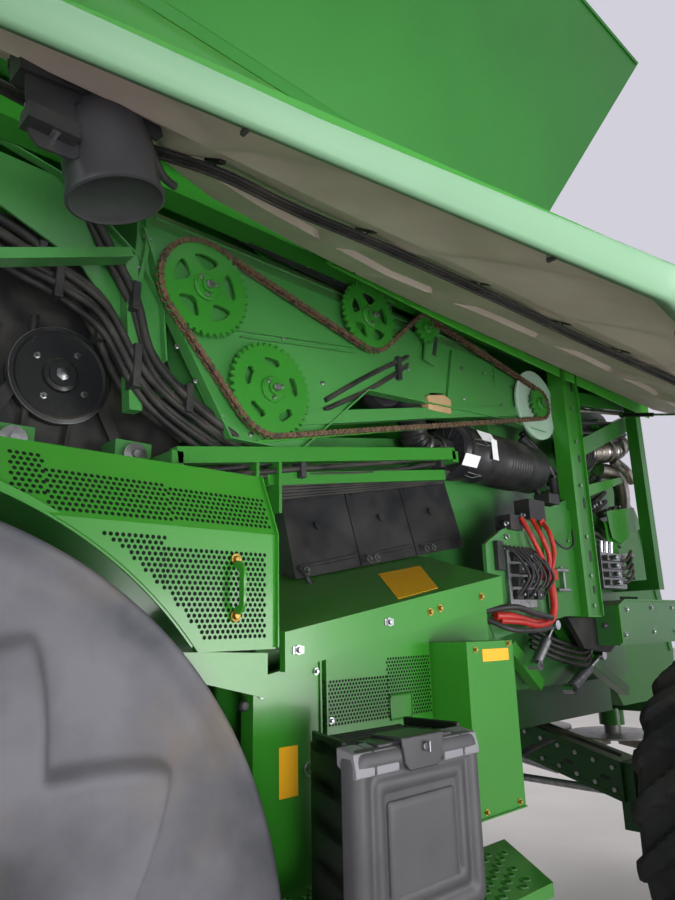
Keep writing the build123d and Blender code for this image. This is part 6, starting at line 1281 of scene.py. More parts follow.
def air_cleaner_piece():
    """Ribbed can with its lid, clips' bands and outlet, at the cleaner's own place."""
    x, y, z, r = -2.729, 1.130, 2.505, 0.132
    front, back = x + 0.36, x - 0.36
    profile = [(0.0, back), (r * 0.80, back), (r * 0.93, back + 0.012), (r * 0.93, back + 0.10)]
    for i in range(9):
        at = back + 0.17 + i * 0.022
        profile += [(r * 0.955, at), (r * 0.975, at + 0.006), (r * 0.975, at + 0.012), (r * 0.955, at + 0.018)]
    profile += [(r * 0.955, front - 0.225), (r * 0.99, front - 0.215), (r, front - 0.20), (r, front - 0.185), (r * 0.97, front - 0.175),
                (r * 0.94, front - 0.12), (r * 0.94, front - 0.075), (r * 1.04, front - 0.070), (r * 1.04, front - 0.042),
                (r * 0.97, front - 0.036), (r * 0.93, front - 0.010), (r * 0.86, front), (r * 0.52, front + 0.004), (0.0, front + 0.006)]
    can = Stock()
    can.turned(profile, (0, y, z), (1, 0, 0), 72)
    for i in range(12):
        turn = 2 * pi * i / 12
        can.bar((front + 0.004, y + 0.045 * cos(turn), z + 0.045 * sin(turn)), (front + 0.004, y + 0.115 * cos(turn), z + 0.115 * sin(turn)),
                0.004, 6)
    for at in (front - 0.180, back + 0.120):
        can.slab((at, at - 0.04), (0.98, y - 0.055), (z - 0.08, z - 0.02))
    return can


def clips_and_labels():
    metal, labels = Stock(), Stock()
    x, y, z, r = -2.37, 1.130, 2.505, 0.132
    for turn in (radians(8), radians(68), radians(-58)):
        out = np.array([0.0, cos(turn), sin(turn)])
        side = np.array([0.0, -sin(turn), cos(turn)])
        start = np.array([x - 0.050, y, z]) + out * (r * 1.06)
        for way in (-1, 1):
            metal.hose([start + side * 0.011 * way, start + side * 0.012 * way + (-0.05, 0, 0) + out * 0.006,
                        start + side * 0.006 * way + (-0.09, 0, 0) - out * 0.004, start + (-0.118, 0, 0) - out * 0.006], 0.0022, steps=4, sides=6)
    for along_x, turn, size in ((-0.165, radians(28), (0.055, 0.030)), (-0.035, radians(-30), (0.055, 0.028)), (-0.20, radians(2), (0.022, 0.05))):
        out = np.array([0.0, cos(turn), sin(turn)])
        side = np.array([0.0, -sin(turn), cos(turn)])
        origin = np.array([x + along_x, y, z]) + out * (r * 1.035)
        labels.plate([(-size[0], -size[1]), (size[0], -size[1]), (size[0], size[1]), (-size[0], size[1])], origin, (1, 0, 0), side, -0.0008)
    labels.plate([(-0.05, -0.02), (0.05, -0.02), (0.05, 0.02), (-0.05, 0.02)], (-1.80, 0.985 + 0.2165 * cos(radians(12)), 2.936 + 0.2165 * sin(radians(12))),
                 (1, 0, 0), (0, -sin(radians(12)), cos(radians(12))), -0.001)
    labels.plate([(-0.034, -0.018), (0.034, -0.018), (0.034, 0.018), (-0.034, 0.018)],
                 (-2.48, 0.985 + 0.2165 * cos(radians(-16)), 2.936 + 0.2165 * sin(radians(-16))), (1, 0, 0),
                 (0, -sin(radians(-16)), cos(radians(-16))), -0.001)
    return metal, labels


def intake_duct():
    """Elbow duct from above down into the cleaner's front, with its ribs and bands."""
    duct, bands, dull = Stock(), Stock(), Stock()
    knots = [(-1.97, 1.07, 2.70), (-2.04, 1.10, 2.735), (-2.11, 1.12, 2.70), (-2.142, 1.13, 2.60), (-2.165, 1.13, 2.52), (-2.22, 1.13, 2.485),
             (-2.37, 1.13, 2.495)]
    path = smooth_path(knots, 16)
    run = np.arange(len(path))
    wave = 1.0 + 0.05 * np.sign(np.sin(run * 2 * pi / 5.0)) * ((run > 40) & (run < 72))
    duct.sweep(circle(0.062, 28), path, (0, 1, 0), scale=wave)
    duct.turned([(0.0, -0.05), (0.066, -0.05), (0.080, -0.02), (0.084, 0.02), (0.074, 0.05), (0.0, 0.055)], (-1.985, 1.09, 2.70), (0.25, 0.95, 0.1), 36)
    for k, radius in ((6, 0.068), (76, 0.068), (88, 0.070)):
        at = path[k]
        way = unit(path[k + 1] - path[k - 1])
        bands.turned([(radius - 0.006, -0.008), (radius, -0.008), (radius, 0.008), (radius - 0.006, 0.008)], at, way, 36)
    dull.plate([(0.0, 0.0), (0.16, -0.012), (0.175, 0.055), (0.13, 0.078), (0.012, 0.065)], (-2.155, 1.172, 2.636), (-1, 0, 0.12), (0.12, 0, 1), 0.05)
    dull.plate([(0.0, 0.0), (0.10, 0.0), (0.10, 0.02), (0.0, 0.02)], (-2.19, 1.165, 2.706), (-1, 0, 0.2), (0.2, 0, 1), 0.04)
    duct.hose([(-2.98, 1.16, 2.66), (-3.06, 1.19, 2.585), (-3.16, 1.20, 2.51), (-3.19, 1.20, 2.42), (-3.19, 1.20, 2.25), (-3.17, 1.19, 2.10)], 0.022)
    duct.hose([(-3.02, 1.14, 2.70), (-3.12, 1.17, 2.60), (-3.22, 1.18, 2.49), (-3.24, 1.18, 2.36), (-3.235, 1.18, 2.10), (-3.22, 1.17, 1.96)], 0.018)
    duct.hose([(-2.96, 1.12, 2.60), (-3.03, 1.16, 2.50), (-3.07, 1.17, 2.38), (-3.06, 1.17, 2.24)], 0.016)
    for z in (2.30, 2.46):
        bands.slab((-3.15, -3.26), (1.155, 1.228), (z, z + 0.012))
    return duct, bands, dull


def relay_plate():
    """Wide sheet behind the post with its relay block, cardboard-coloured shelf, battery cables and junction."""
    sheet, black, metal, red, block = Stock(), Stock(), Stock(), Stock(), Stock()
    outline = [(-2.43, 2.06), (-2.56, 2.13), (-3.19, 2.34), (-3.19, 1.77), (-2.46, 1.66), (-2.43, 1.72)]
    sheet.plate(outline, (0, 1.262, 0), (1, 0, 0), (0, 0, 1), 0.006)
    sheet.sweep([(-0.003, -0.008), (0.003, -0.008), (0.003, 0.010), (-0.003, 0.010)], [(-2.43, 1.262, 1.72), (-2.43, 1.262, 2.06), (-2.56, 1.262, 2.13)],
                (0, 1, 0))
    # Relay block: an aluminium tray with rows of relays, plugs and their loops of cable
    block.slab((-2.575, -2.790), (1.262, 1.280), (1.79, 2.045))
    for i in range(3):
        for j in range(4):
            x, z = -2.600 - i * 0.065, 1.825 + j * 0.056
            black.slab((x, x - 0.05), (1.28, 1.30 + 0.012 * ((i + j) % 3)), (z, z + 0.042))
            metal.bar((x - 0.025, 1.30, z + 0.02), (x - 0.025, 1.325 + 0.01 * (i % 2), z + 0.02), 0.006, 8)
    for i in range(7):
        x = -2.575 - i * 0.034
        black.hose([(x, 1.31, 1.83 + 0.03 * (i % 3)), (x - 0.02, 1.345, 1.88), (x - 0.05, 1.352, 1.93 + 0.02 * (i % 2)), (x - 0.01, 1.33, 2.01), (x + 0.03, 1.29, 2.06)],
                   0.0065, steps=5, sides=8)
    for x, z, w, h in ((-2.62, 2.14, 0.10, 0.07), (-2.79, 2.20, 0.14, 0.10), (-2.98, 2.30, 0.10, 0.05), (-2.50, 1.95, 0.05, 0.13)):
        black.slab((x, x - w), (1.20, 1.285), (z, z + h))
    for x, z in ((-2.60, 2.105), (-2.60, 2.165), (-2.745, 2.155), (-2.745, 2.215), (-2.845, 1.965), (-3.03, 1.98), (-3.13, 2.12), (-2.87, 1.75), (-2.48, 1.88)):
        metal.turned([(0.0, 0.0), (0.013, 0.0), (0.013, 0.008), (0.007, 0.010), (0.007, 0.02), (0.0, 0.02)], (x, 1.264, z), (0, 1, 0), 6)
    # Cables: three branches into a block, one thick lead down and forward along the shelf
    for knots, radius in ((((-2.70, 1.29, 2.20), (-2.735, 1.32, 2.10), (-2.80, 1.325, 2.00), (-2.822, 1.322, 1.955)), 0.0115),
                          (((-2.80, 1.285, 2.20), (-2.80, 1.325, 2.12), (-2.845, 1.33, 2.03), (-2.845, 1.322, 1.955)), 0.0115),
                          (((-2.905, 1.28, 2.19), (-2.885, 1.32, 2.14), (-2.895, 1.33, 2.05), (-2.868, 1.322, 1.955)), 0.0115),
                          (((-2.845, 1.322, 1.915), (-2.848, 1.33, 1.84), (-2.850, 1.325, 1.775), (-2.81, 1.32, 1.728), (-2.70, 1.325, 1.722),
                            (-2.60, 1.325, 1.735), (-2.50, 1.32, 1.752), (-2.42, 1.30, 1.755)), 0.018),
                          (((-2.76, 1.34, 1.718), (-2.65, 1.345, 1.712), (-2.55, 1.34, 1.728), (-2.44, 1.31, 1.735)), 0.013)):
        red.hose(knots, radius, steps=8, sides=12)
    red.slab((-2.805, -2.885), (1.295, 1.345), (1.912, 1.962))
    red.turned([(0.0, 0.0), (0.024, 0.0), (0.024, 0.012), (0.0, 0.014)], (-2.905, 1.272, 2.20), (0, 1, 0), 20)
    black.hose([(-2.93, 1.30, 2.12), (-3.0, 1.33, 2.07), (-3.08, 1.33, 2.09), (-3.13, 1.31, 2.17)], 0.006)
    black.hose([(-2.36, 1.28, 1.775), (-2.50, 1.34, 1.79), (-2.66, 1.345, 1.762), (-2.80, 1.34, 1.742)], 0.014)
    black.hose([(-2.33, 1.27, 1.76), (-2.45, 1.345, 1.70), (-2.62, 1.35, 1.690), (-2.80, 1.33, 1.70)], 0.011)
    metal.slab((-3.02, -3.035), (1.266, 1.296), (1.865, 1.975))
    metal.slab((-2.965, -3.025), (1.266, 1.27), (1.87, 1.968))
    for z in (1.872, 1.966):
        metal.bar((-2.95, 1.30, z), (-3.06, 1.30, z), 0.008, 8)
    return sheet, black, metal, red, block


def post_dress():
    """Folded flanges, slots and bolts of the post, the long black rods behind it and the lamp above it."""
    green, dark, metal, lens = Stock(), Stock(), Stock(), Stock()
    for x, y in ((-3.197, 1.312), (-3.353, 1.312)):
        green.slab((x - 0.004, x + 0.004), (1.225, y), (1.75, 3.075))
    green.slab((-3.205, -3.235), (1.298, 1.308), (1.75, 3.07))
    green.slab((-3.205, -3.345), (1.225, 1.302), (1.744, 1.752))
    for z in (1.80, 1.95, 2.15, 2.42, 2.66, 2.85):
        metal.turned([(0.0, 0.0), (0.010, 0.0), (0.010, 0.008), (0.0, 0.009)], (-3.285, 1.2985, z), (0, 1, 0), 6)
    # Slots drawn as thin dark plates: painted shade in the openings.
    for z0, z1 in ((1.86, 1.90), (2.02, 2.08), (2.30, 2.36), (2.55, 2.59), (2.95, 3.02)):
        dark.plate(rounded(0.020, z1 - z0, 0.009, 4), (-3.31, 1.3008, (z0 + z1) / 2), (1, 0, 0), (0, 0, 1), 0.0008)
    for knots in (((-3.20, 1.15, 2.835), (-3.60, 1.15, 2.868), (-4.30, 1.13, 2.99)), ((-3.30, 1.15, 2.79), (-3.59, 1.15, 2.804), (-4.30, 1.13, 2.915))):
        dark.hose(knots, 0.013, steps=4, sides=12)
    # Lamp bracket under the rail
    outline = [(-2.866, 3.06), (-2.866, 3.10), (-3.043, 3.165), (-3.50, 3.165), (-3.50, 3.10), (-3.12, 3.09), (-3.04, 3.06)]
    dark.slab((-2.87, -3.12), (1.302, 1.336), (3.058, 3.13))
    dark.slab((-3.14, -3.50), (1.302, 1.334), (3.078, 3.12))
    dark.plate(np.array(outline)[::-1], (0, 1.303, 0), (1, 0, 0), (0, 0, 1), 0.004)
    lens.slab((-2.93, -3.06), (1.336, 1.339), (3.072, 3.10))
    for x in (-2.90, -3.09, -3.2, -3.44):
        metal.turned([(0.0, 0.0), (0.009, 0.0), (0.009, 0.006), (0.0, 0.007)], (x, 1.336, 3.112), (0, 1, 0), 12)
    return green, dark, metal, lens


def rear_pipes():
    """Corrugated stainless pipe, tail pipe, green brackets, valve block, cylinders and the dark deflector."""
    steel, green, black, cast, chrome = Stock(), Stock(), Stock(), Stock(), Stock()
    knots = [(-3.72, 1.05, 2.68), (-3.85, 1.09, 2.73), (-4.02, 1.10, 2.765), (-4.20, 1.10, 2.80), (-4.33, 1.06, 2.87)]
    path = smooth_path(knots, 34)
    run = np.arange(len(path))
    steel.sweep(circle(0.062, 32), path, (0, 1, 0), scale=0.96 + 0.07 * np.sin(run * 2 * pi / 7.0))
    for k in (4, 70, 128):
        steel.turned([(0.060, -0.012), (0.076, -0.012), (0.076, 0.012), (0.060, 0.012)], path[k], unit(path[k + 1] - path[k - 1]), 32)
    steel.hose([(-4.05, 1.04, 2.66), (-4.18, 1.07, 2.645), (-4.245, 1.08, 2.57), (-4.24, 1.08, 2.45), (-4.19, 1.08, 2.36), (-4.12, 1.07, 2.31)], 0.048,
               steps=10, sides=28)
    steel.hose([(-4.10, 1.12, 2.715), (-4.25, 1.13, 2.66), (-4.32, 1.13, 2.60)], 0.030, steps=8, sides=20)
    black.turned([(0.0, 0.0), (0.10, 0.0), (0.11, 0.02), (0.11, 0.24), (0.09, 0.28), (0.0, 0.28)], (-3.62, 1.03, 2.70), (-1, 0.02, 0.16), 36)
    for i in range(6):
        black.turned([(0.108, 0.0), (0.118, 0.004), (0.118, 0.016), (0.108, 0.02)], (-3.66 - 0.032 * i, 1.03, 2.706 + 0.005 * i), (-1, 0.02, 0.16), 36)
    green.plate([(-3.86, 2.36), (-4.24, 2.42), (-4.32, 2.30), (-4.00, 2.17), (-3.90, 2.20)], (0, 1.15, 0), (1, 0, 0), (0, 0, 1), 0.008)
    green.plate([(-3.86, 2.30), (-3.98, 2.32), (-4.02, 1.90), (-3.90, 1.90)], (0, 1.13, 0), (1, 0, 0), (0, 0, 1), 0.006)
    green.plate([(-3.60, 2.48), (-4.20, 2.62), (-4.20, 2.58), (-3.60, 2.40)], (0, 1.12, 0), (1, 0, 0), (0, 0, 1), 0.05)
    cast.slab((-3.62, -3.90), (1.10, 1.20), (1.90, 2.10))
    for i in range(4):
        cast.slab((-3.63, -3.78), (1.20, 1.235), (1.915 + 0.045 * i, 1.945 + 0.045 * i))
        chrome.turned([(0.0, 0.0), (0.014, 0.0), (0.014, 0.03), (0.010, 0.04), (0.0, 0.04)], (-3.66, 1.235, 1.93 + 0.045 * i), (0, 1, 0), 12)
        black.hose([(-3.80, 1.20, 1.93 + 0.045 * i), (-3.86, 1.23, 1.94 + 0.04 * i), (-3.96, 1.22, 2.0 + 0.04 * i), (-4.05, 1.15, 2.06)], 0.009)
    for i in range(3):
        chrome.turned([(0.0, 0.0), (0.016, 0.0), (0.016, 0.07), (0.0, 0.07)], (-3.70 - 0.06 * i, 1.16, 2.10), (0, 0.1, 1), 16)
    # Lift struts: barrel, rod and eyes
    for foot, eye, r0 in (((-2.93, 1.15, 1.528), (-3.127, 1.15, 1.71), 0.026), ((-3.334, 1.09, 1.387), (-3.690, 1.09, 1.541), 0.028)):
        foot, eye = np.array(foot), np.array(eye)
        way = unit(eye - foot)
        cast.bar(foot, foot + way * np.linalg.norm(eye - foot) * 0.62, r0, 20)
        chrome.bar(foot, eye, r0 * 0.5, 16)
        for at in (foot, eye):
            chrome.bar(at - (0, 0.03, 0), at + (0, 0.03, 0), r0 * 0.9, 16)
    black.plate([(-3.19, 1.745), (-3.70, 1.735), (-3.68, 1.60), (-3.60, 1.56), (-3.33, 1.59)], (0, 1.20, 0), (1, 0, 0), (0, 0, 1), 0.03)
    for (ax, az), (bx, bz) in (((-3.20, 1.84), (-3.60, 1.50)), ((-3.62, 1.52), (-4.02, 1.33)), ((-2.86, 1.62), (-3.10, 1.42))):
        green.sweep([(-0.03, -0.03), (0.03, -0.03), (0.03, 0.03), (-0.03, 0.03)], [(ax, 1.05, az), (bx, 1.05, bz)], (0, 1, 0))
    for i in range(4):
        black.hose([(-3.05, 1.06, 1.70 - 0.03 * i), (-3.25, 1.12, 1.62 - 0.03 * i), (-3.5, 1.12, 1.60 - 0.03 * i), (-3.7, 1.02, 1.70 - 0.02 * i)], 0.011)
    return steel, green, black, cast, chrome


def axle_dress():
    """Bolt pattern, slots and hose runs on the rear axle's front face, and the knuckle's pin caps."""
    green, metal, dark = Stock(), Stock(), Stock()
    slope = tan(radians(14.7))
    for s in (1, -1):
        for i in range(6):
            y = 0.56 + 0.105 * i
            z = 1.065 - (y - 0.48) * slope
            for dz in (0.055, -0.055):
                metal.turned([(0.0, 0.0), (0.013, 0.0), (0.013, 0.010), (0.0, 0.011)], (-3.70, s * y, z + dz), (1, 0, 0), 6)
            # Slots drawn as thin dark plates: painted shade in the openings.
            if i % 2:
                dark.plate(rounded(0.055, 0.020, 0.009, 4), (-3.6998, s * (y - 0.05), z), (0, 1, -s * slope), (0, s * slope, 1), 0.0008)
        rib = [(0.50, 1.065), (1.12, 1.065 - 0.64 * slope)]
        green.sweep([(-0.010, -0.012), (0.004, -0.012), (0.004, 0.012), (-0.010, 0.012)], [(-3.70, s * y, z + 0.088) for y, z in rib], (0, 0, 1))
        green.sweep([(-0.010, -0.012), (0.004, -0.012), (0.004, 0.012), (-0.010, 0.012)], [(-3.70, s * y, z - 0.088) for y, z in rib], (0, 0, 1))
        dark.hose([(-3.69, s * 0.30, 1.19), (-3.66, s * 0.60, 1.17), (-3.66, s * 0.90, 1.10), (-3.68, s * 1.15, 1.03)], 0.010)
        metal.turned([(0.0, 0.0), (0.045, 0.0), (0.045, 0.006), (0.030, 0.012), (0.0, 0.013)], (-3.8, s * 1.25, 0.9975), (0, 0, 1), 24)
    for s in (1, -1):
        metal.bar((-3.93, s * 0.20, 0.93), (-3.93, s * 0.62, 0.87), 0.032, 20)
        metal.bar((-3.93, s * 0.62, 0.87), (-3.96, s * 0.98, 0.83), 0.016, 16)
        metal.bar((-3.93, s * 0.18, 0.90), (-3.93, s * 0.18, 1.0), 0.03, 16)
    return green, metal, dark


def box_trim():
    """Edges, hinges and bolts of the green boxes above the rear wheels and of the drawer beside them."""
    green, metal = Stock(), Stock()
    for s in (1, -1):
        green.sweep([(-0.004, -0.012), (0.004, -0.012), (0.004, 0.012), (-0.004, 0.012)],
                    [(-3.483, s * 1.322, 1.61), (-3.483, s * 1.322, 1.80), (-3.562, s * 1.322, 1.83), (-4.24, s * 1.322, 1.83)], (0, 1, 0))
        for x, z in ((-3.55, 1.65), (-3.60, 1.78), (-3.90, 1.66), (-3.90, 1.79), (-4.18, 1.66), (-4.18, 1.79)):
            bolt(metal, (x, s * 1.32, z), (0, s, 0), 0.010)
        for y in (1.05, 1.25):
            bolt(metal, (-3.478, s * y, 1.70), (1, 0, 0), 0.010)
    return green, metal


def gear_pieces():
    fit("air_cleaner_can", air_cleaner_piece(), BLACK_RIBBED, stands_for=["air_cleaner"], sharp=30)
    metal, labels = clips_and_labels()
    fit("cleaner_clips", metal, ZINC)
    fit("blank_labels", labels, LABEL)
    duct, bands, dull = intake_duct()
    fit("intake_duct", duct, BLACK_RIBBED, sharp=50)
    fit("duct_bands", bands, ZINC)
    fit("relay_cover", dull, CARDBOARD, bevel=0.003)
    sheet, black, metal, red, block = relay_plate()
    fit("relay_sheet", sheet, GREEN_DEEP)
    fit("relay_blocks", black, BLACK, bevel=0.002)
    fit("relay_terminals", metal, ZINC)
    fit("battery_cables", red, RED, bevel=0.002)
    fit("relay_tray", block, ALUMINIUM, bevel=0.002)
    green, dark, metal, lens = post_dress()
    fit("post_flanges", green, GREEN_LIT, bevel=0.001)
    fit("post_rods", dark, BLACK_PAINT)
    fit("post_bolts", metal, ZINC)
    fit("rail_lamp_lens", lens, LENS)
    steel, green, black, cast, chrome = rear_pipes()
    fit("stainless_pipes", steel, STAINLESS, sharp=60)
    fit("rear_brackets", green, GREEN_LIT, bevel=0.002)
    fit("rear_hoses", black, HOSE, sharp=60)
    fit("valve_block", cast, ALUMINIUM, bevel=0.003)
    fit("cylinder_rods", chrome, CHROME)
    green, metal, dark = axle_dress()
    fit("rear_axle_ribs", green, GREEN_CAST)
    fit("rear_axle_bolts", metal, ZINC)
    fit("rear_axle_lines", dark, HOSE)
    green, metal = box_trim()
    fit("fender_edges", green, GREEN_LIT)
    fit("fender_bolts", metal, ZINC)


gear_pieces()
# Tank extension, its cloth end walls, marker lamp, gutter rail and what stands behind the post

TANK_BOX = (-0.250, -2.830, 3.600)
FLAP_FOOT, FLAP_HEAD = (1.420, 3.640), (1.907, 4.700)


def flap_ribs(side):
    """Pressed stripe painted pale as a highlight, edge hems and stiffeners of one tank flap, on its outer and inner
    face.
    """
    stripe, hems = Stock(), Stock()
    along_flap = unit((0.0, side * (FLAP_HEAD[0] - FLAP_FOOT[0]), FLAP_HEAD[1] - FLAP_FOOT[1]))
    out = unit((0.0, side * along_flap[2], -abs(along_flap[1])))
    length = hypot(FLAP_HEAD[0] - FLAP_FOOT[0], FLAP_HEAD[1] - FLAP_FOOT[1])

    def spot(x, share, lift):
        return np.array([x, side * FLAP_FOOT[0], FLAP_FOOT[1]]) + along_flap * length * share + out * lift

    # A shallow bead in pale green: a painted highlight along the flap.
    stripe.sweep([(-0.020, -0.002), (0.020, -0.002), (0.014, 0.003), (-0.014, 0.003)], [spot(-1.30, 0.69, 0.0062), spot(-2.80, 0.577, 0.0062)], out,
                 scale=np.array([1.0, 0.2]))
    for x in (-0.75, -1.95, -2.60):
        hems.sweep([(-0.025, -0.004), (0.025, -0.004), (0.012, 0.014), (-0.012, 0.014)], [spot(x, 0.05, -0.017), spot(x, 0.95, -0.017)], -out)
    hems.sweep([(-0.004, -0.018), (0.006, -0.018), (0.006, 0.004), (-0.004, 0.004)], [spot(0.08, 0.985, -0.002), spot(-3.28, 0.985, -0.002)], -out)
    # Lip that closes the hinge gap
    hems.slab((-0.262, -2.818), (side * 1.4225, side * 1.4275), (3.576, 3.662))
    return stripe, hems


def end_curtain(front):
    """One coated cloth end wall, hung in folds between the two open flaps."""
    x_foot, x_top = (-0.259, 0.02) if front else (-2.821, -3.19)
    u = np.linspace(-1, 1, 150)[None]
    v = np.linspace(0, 1, 44)[:, None]
    half = 1.395 + (1.846 - 1.395) * v
    sag = 0.10 * v * (1 - np.abs(u) ** 2.2)
    fold = 0.012 * np.sin(u * 21.0 + 2.5 * v) * (0.25 + 0.75 * v) * (1 - u ** 4)
    x = x_foot + (x_top - x_foot) * v + fold * (1 if front else -1)
    points = np.stack([np.broadcast_to(x, (44, 150)), half * u, 3.604 + (4.60 - 3.604) * v - sag + 0 * u], -1)
    back = points + np.array([-0.003 if front else 0.003, 0, 0])
    stock = Stock()
    ring = np.concatenate([points, back[:, ::-1]], 1)
    stock.grid(ring, round_v=True, ends=True)
    return stock


def marker_lamp(side):
    """White marker lamp in its black frame under the tank's edge."""
    frame_stock, lens = Stock(), Stock()
    frame_stock.slab((-0.505, -0.705), (side * 1.399, side * 1.412), (3.502, 3.597))
    outline = rounded(0.160, 0.058, 0.012, 5)
    lens.plate(outline * (1, side) + (0, 0), (-0.605, side * 1.412, 3.550), (-side, 0, 0), (0, 0, 1), 0.006)
    for x in (-0.515, -0.695):
        bolt(frame_stock, (x, side * 1.412, 3.550), (0, side, 0), 0.005)
    return frame_stock, lens


def tank_skirt(side):
    """Folded cover along the tank's upper edge, under the flap's hinge."""
    stock = Stock()
    section = [(1.4005, 3.602), (1.4075, 3.602), (1.4075, 3.44), (1.395, 3.425), (1.392, 3.43), (1.4005, 3.445)]
    stock.grid(np.stack([[(x, side * y, z) for y, z in section] for x in (-0.252, -2.828)]), round_v=True, ends=True)
    return stock


def gutter(side, rear):
    """Gutter rail under the tank's edge, painted bright green as lit by the sky from above, with its seal and the hinge
    covers.
    """
    stock, dark = Stock(), Stock()
    stock.slab((-1.45, rear), (side * 1.3005, side * 1.305), (3.082, 3.198))
    lower = np.array([(-1.50, 3.066), (-2.20, 3.030), (rear, 2.988), (rear, 3.084), (-1.50, 3.084)])
    stock.plate(lower[::side], (0, side * 1.304, 0), (1, 0, 0), (0, 0, 1), side * 0.008)
    for x in np.arange(-1.6, rear + 0.2, -0.62):
        bolt(dark, (x, side * 1.305, 3.15), (0, side, 0), 0.008)
    return stock, dark


def behind_post():
    """Engine-side frame, hoses, deck edge and dark screens of painted shade that fill the view behind the post."""
    green, dark, metal, bright = Stock(), Stock(), Stock(), Stock()
    # Two black sheets that stand for the shade deep behind the post: painted shade.
    dark.slab((-3.42, -4.29), (0.60, 0.64), (1.95, 2.80))
    dark.slab((-3.42, -4.29), (0.80, 0.83), (2.02, 2.40))
    for x0, z0, x1, z1, y, w in ((-3.40, 2.62, -4.28, 2.98, 1.14, 0.05), (-3.40, 2.98, -4.28, 3.10, 1.16, 0.04), (-3.42, 2.40, -4.10, 2.62, 0.98, 0.04),
                                 (-3.40, 2.08, -4.28, 2.34, 0.94, 0.05), (-3.62, 2.46, -4.26, 2.20, 1.02, 0.03), (-3.95, 2.95, -4.26, 2.60, 1.10, 0.03)):
        green.sweep([(-w, -0.02), (w, -0.02), (w, 0.02), (-w, 0.02)], [(x0, y, z0), (x1, y, z1)], (0, 1, 0))
    for x in (-3.56, -3.80, -4.04):
        green.slab((x, x - 0.05), (0.90, 0.96), (2.0, 2.8))
    for i in range(6):
        dark.hose([(-3.45, 1.02 + 0.02 * (i % 2), 2.60 - 0.05 * i), (-3.70, 1.06, 2.54 - 0.06 * i), (-3.95, 1.02, 2.58 - 0.05 * i), (-4.22, 0.98, 2.72 - 0.06 * i)],
                  0.015, steps=8, sides=10)
    for i in range(4):
        dark.hose([(-3.44, 1.12, 2.30 - 0.05 * i), (-3.60, 1.16, 2.22 - 0.05 * i), (-3.80, 1.12, 2.20 - 0.03 * i), (-3.98, 1.08, 2.06 - 0.02 * i)],
                  0.011, steps=8, sides=10)
    for i in range(9):
        bright.turned([(0.0, 0.0), (0.016, 0.0), (0.016, 0.05), (0.010, 0.055), (0.010, 0.075), (0.0, 0.076)],
                      (-3.50 - 0.085 * i, 1.02, 2.36 + 0.03 * (i % 3)), (0.1, 1, 0.05), 12)
    for i in range(3):
        green.turned([(0.0, 0.0), (0.09, 0.0), (0.09, 0.02), (0.03, 0.03), (0.0, 0.03)], (-3.58 - 0.24 * i, 0.97, 2.20), (0, 1, 0), 28)
    metal.bar((-3.46, 1.10, 2.02), (-4.24, 1.10, 2.12), 0.018, 14)
    metal.bar((-3.50, 1.17, 2.92), (-4.24, 1.17, 3.04), 0.014, 14)
    return green, dark, metal, bright


def door_jamb(side):
    """Plate that closes the body beside the plain door, behind the front wheel."""
    stock = Stock()
    outline = np.array([(-1.045, 0.95), (-1.045, 1.60), (-1.17, 1.62), (-1.19, 1.71), (-1.27, 1.71), (-1.27, 0.95)])
    stock.plate(outline[::-side], (0, side * 1.300, 0), (1, 0, 0), (0, 0, 1), 0.010)
    return stock


def top_pieces():
    for side, word in ((1, "left"), (-1, "right")):
        stripe, hems = flap_ribs(side)
        fit(f"flap_painted_highlight_{word}", stripe, GREEN_PAINTED_LIT, f"tank_flap_{word}")
        fit(f"flap_hems_{word}", hems, FLAP_GREEN, f"tank_flap_{word}")
        fit(f"tank_skirt_{word}", tank_skirt(side), FLAP_GREEN)
        frame_stock, lens = marker_lamp(side)
        fit(f"marker_frame_{word}", frame_stock, BLACK, bevel=0.003)
        fit(f"marker_lens_{word}", lens, LENS)
        stock, dark = gutter(side, -4.30 if side > 0 else -3.10)
        fit(f"gutter_rail_{word}", stock, LEDGE_SKYLIT, bevel=0.001)
        fit(f"gutter_bolts_{word}", dark, ZINC)
        fit(f"door_jamb_{word}", door_jamb(side), GREEN)
    green, dark, metal, bright = behind_post()
    fit("engine_side_frame", green, GREEN, bevel=0.003)
    fit("engine_side_hoses_and_painted_shade", dark, HOSE)
    fit("engine_side_pipes", metal, STAINLESS)
    fit("engine_side_fittings", bright, ZINC)


def curtain_pieces():
    """Cloth end walls, each with its own mesh."""
    walls = []
    for front, word in ((True, "front"), (False, "rear")):
        walls.append(fit(f"tank_curtain_{word}", end_curtain(front), CURTAIN, sharp=60,
                         stands_for=["tank_curtains"] if front else ()))
    for wall in walls:
        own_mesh(wall)


top_pieces()
curtain_pieces()
# Cab with its seat and controls, platform, feeder house, auger, rear end, air screen and tank fittings

FLOOR = 2.145


def cushion(centre, half, turn=0.0, power=3.2, steps=(40, 24)):
    """Rounded pad: a squared-off ellipsoid that leans back by the turn, about the side axis."""
    u = np.linspace(0, 2 * pi, steps[0], endpoint=False)[None]
    v = np.linspace(-pi / 2, pi / 2, steps[1])[:, None]

    def swell(value):
        return np.sign(value) * np.abs(value) ** (2.0 / power)

    shape = np.stack([swell(np.cos(v)) * swell(np.cos(u)) * half[0], swell(np.cos(v)) * swell(np.sin(u)) * half[1],
                      swell(np.sin(v)) * half[2] + 0 * u], -1)
    x = shape[..., 0] * cos(turn) - shape[..., 2] * sin(turn)
    z = shape[..., 0] * sin(turn) + shape[..., 2] * cos(turn)
    stock = Stock()
    stock.grid(np.stack([x, shape[..., 1], z], -1) + np.array(centre), round_v=True)
    return stock


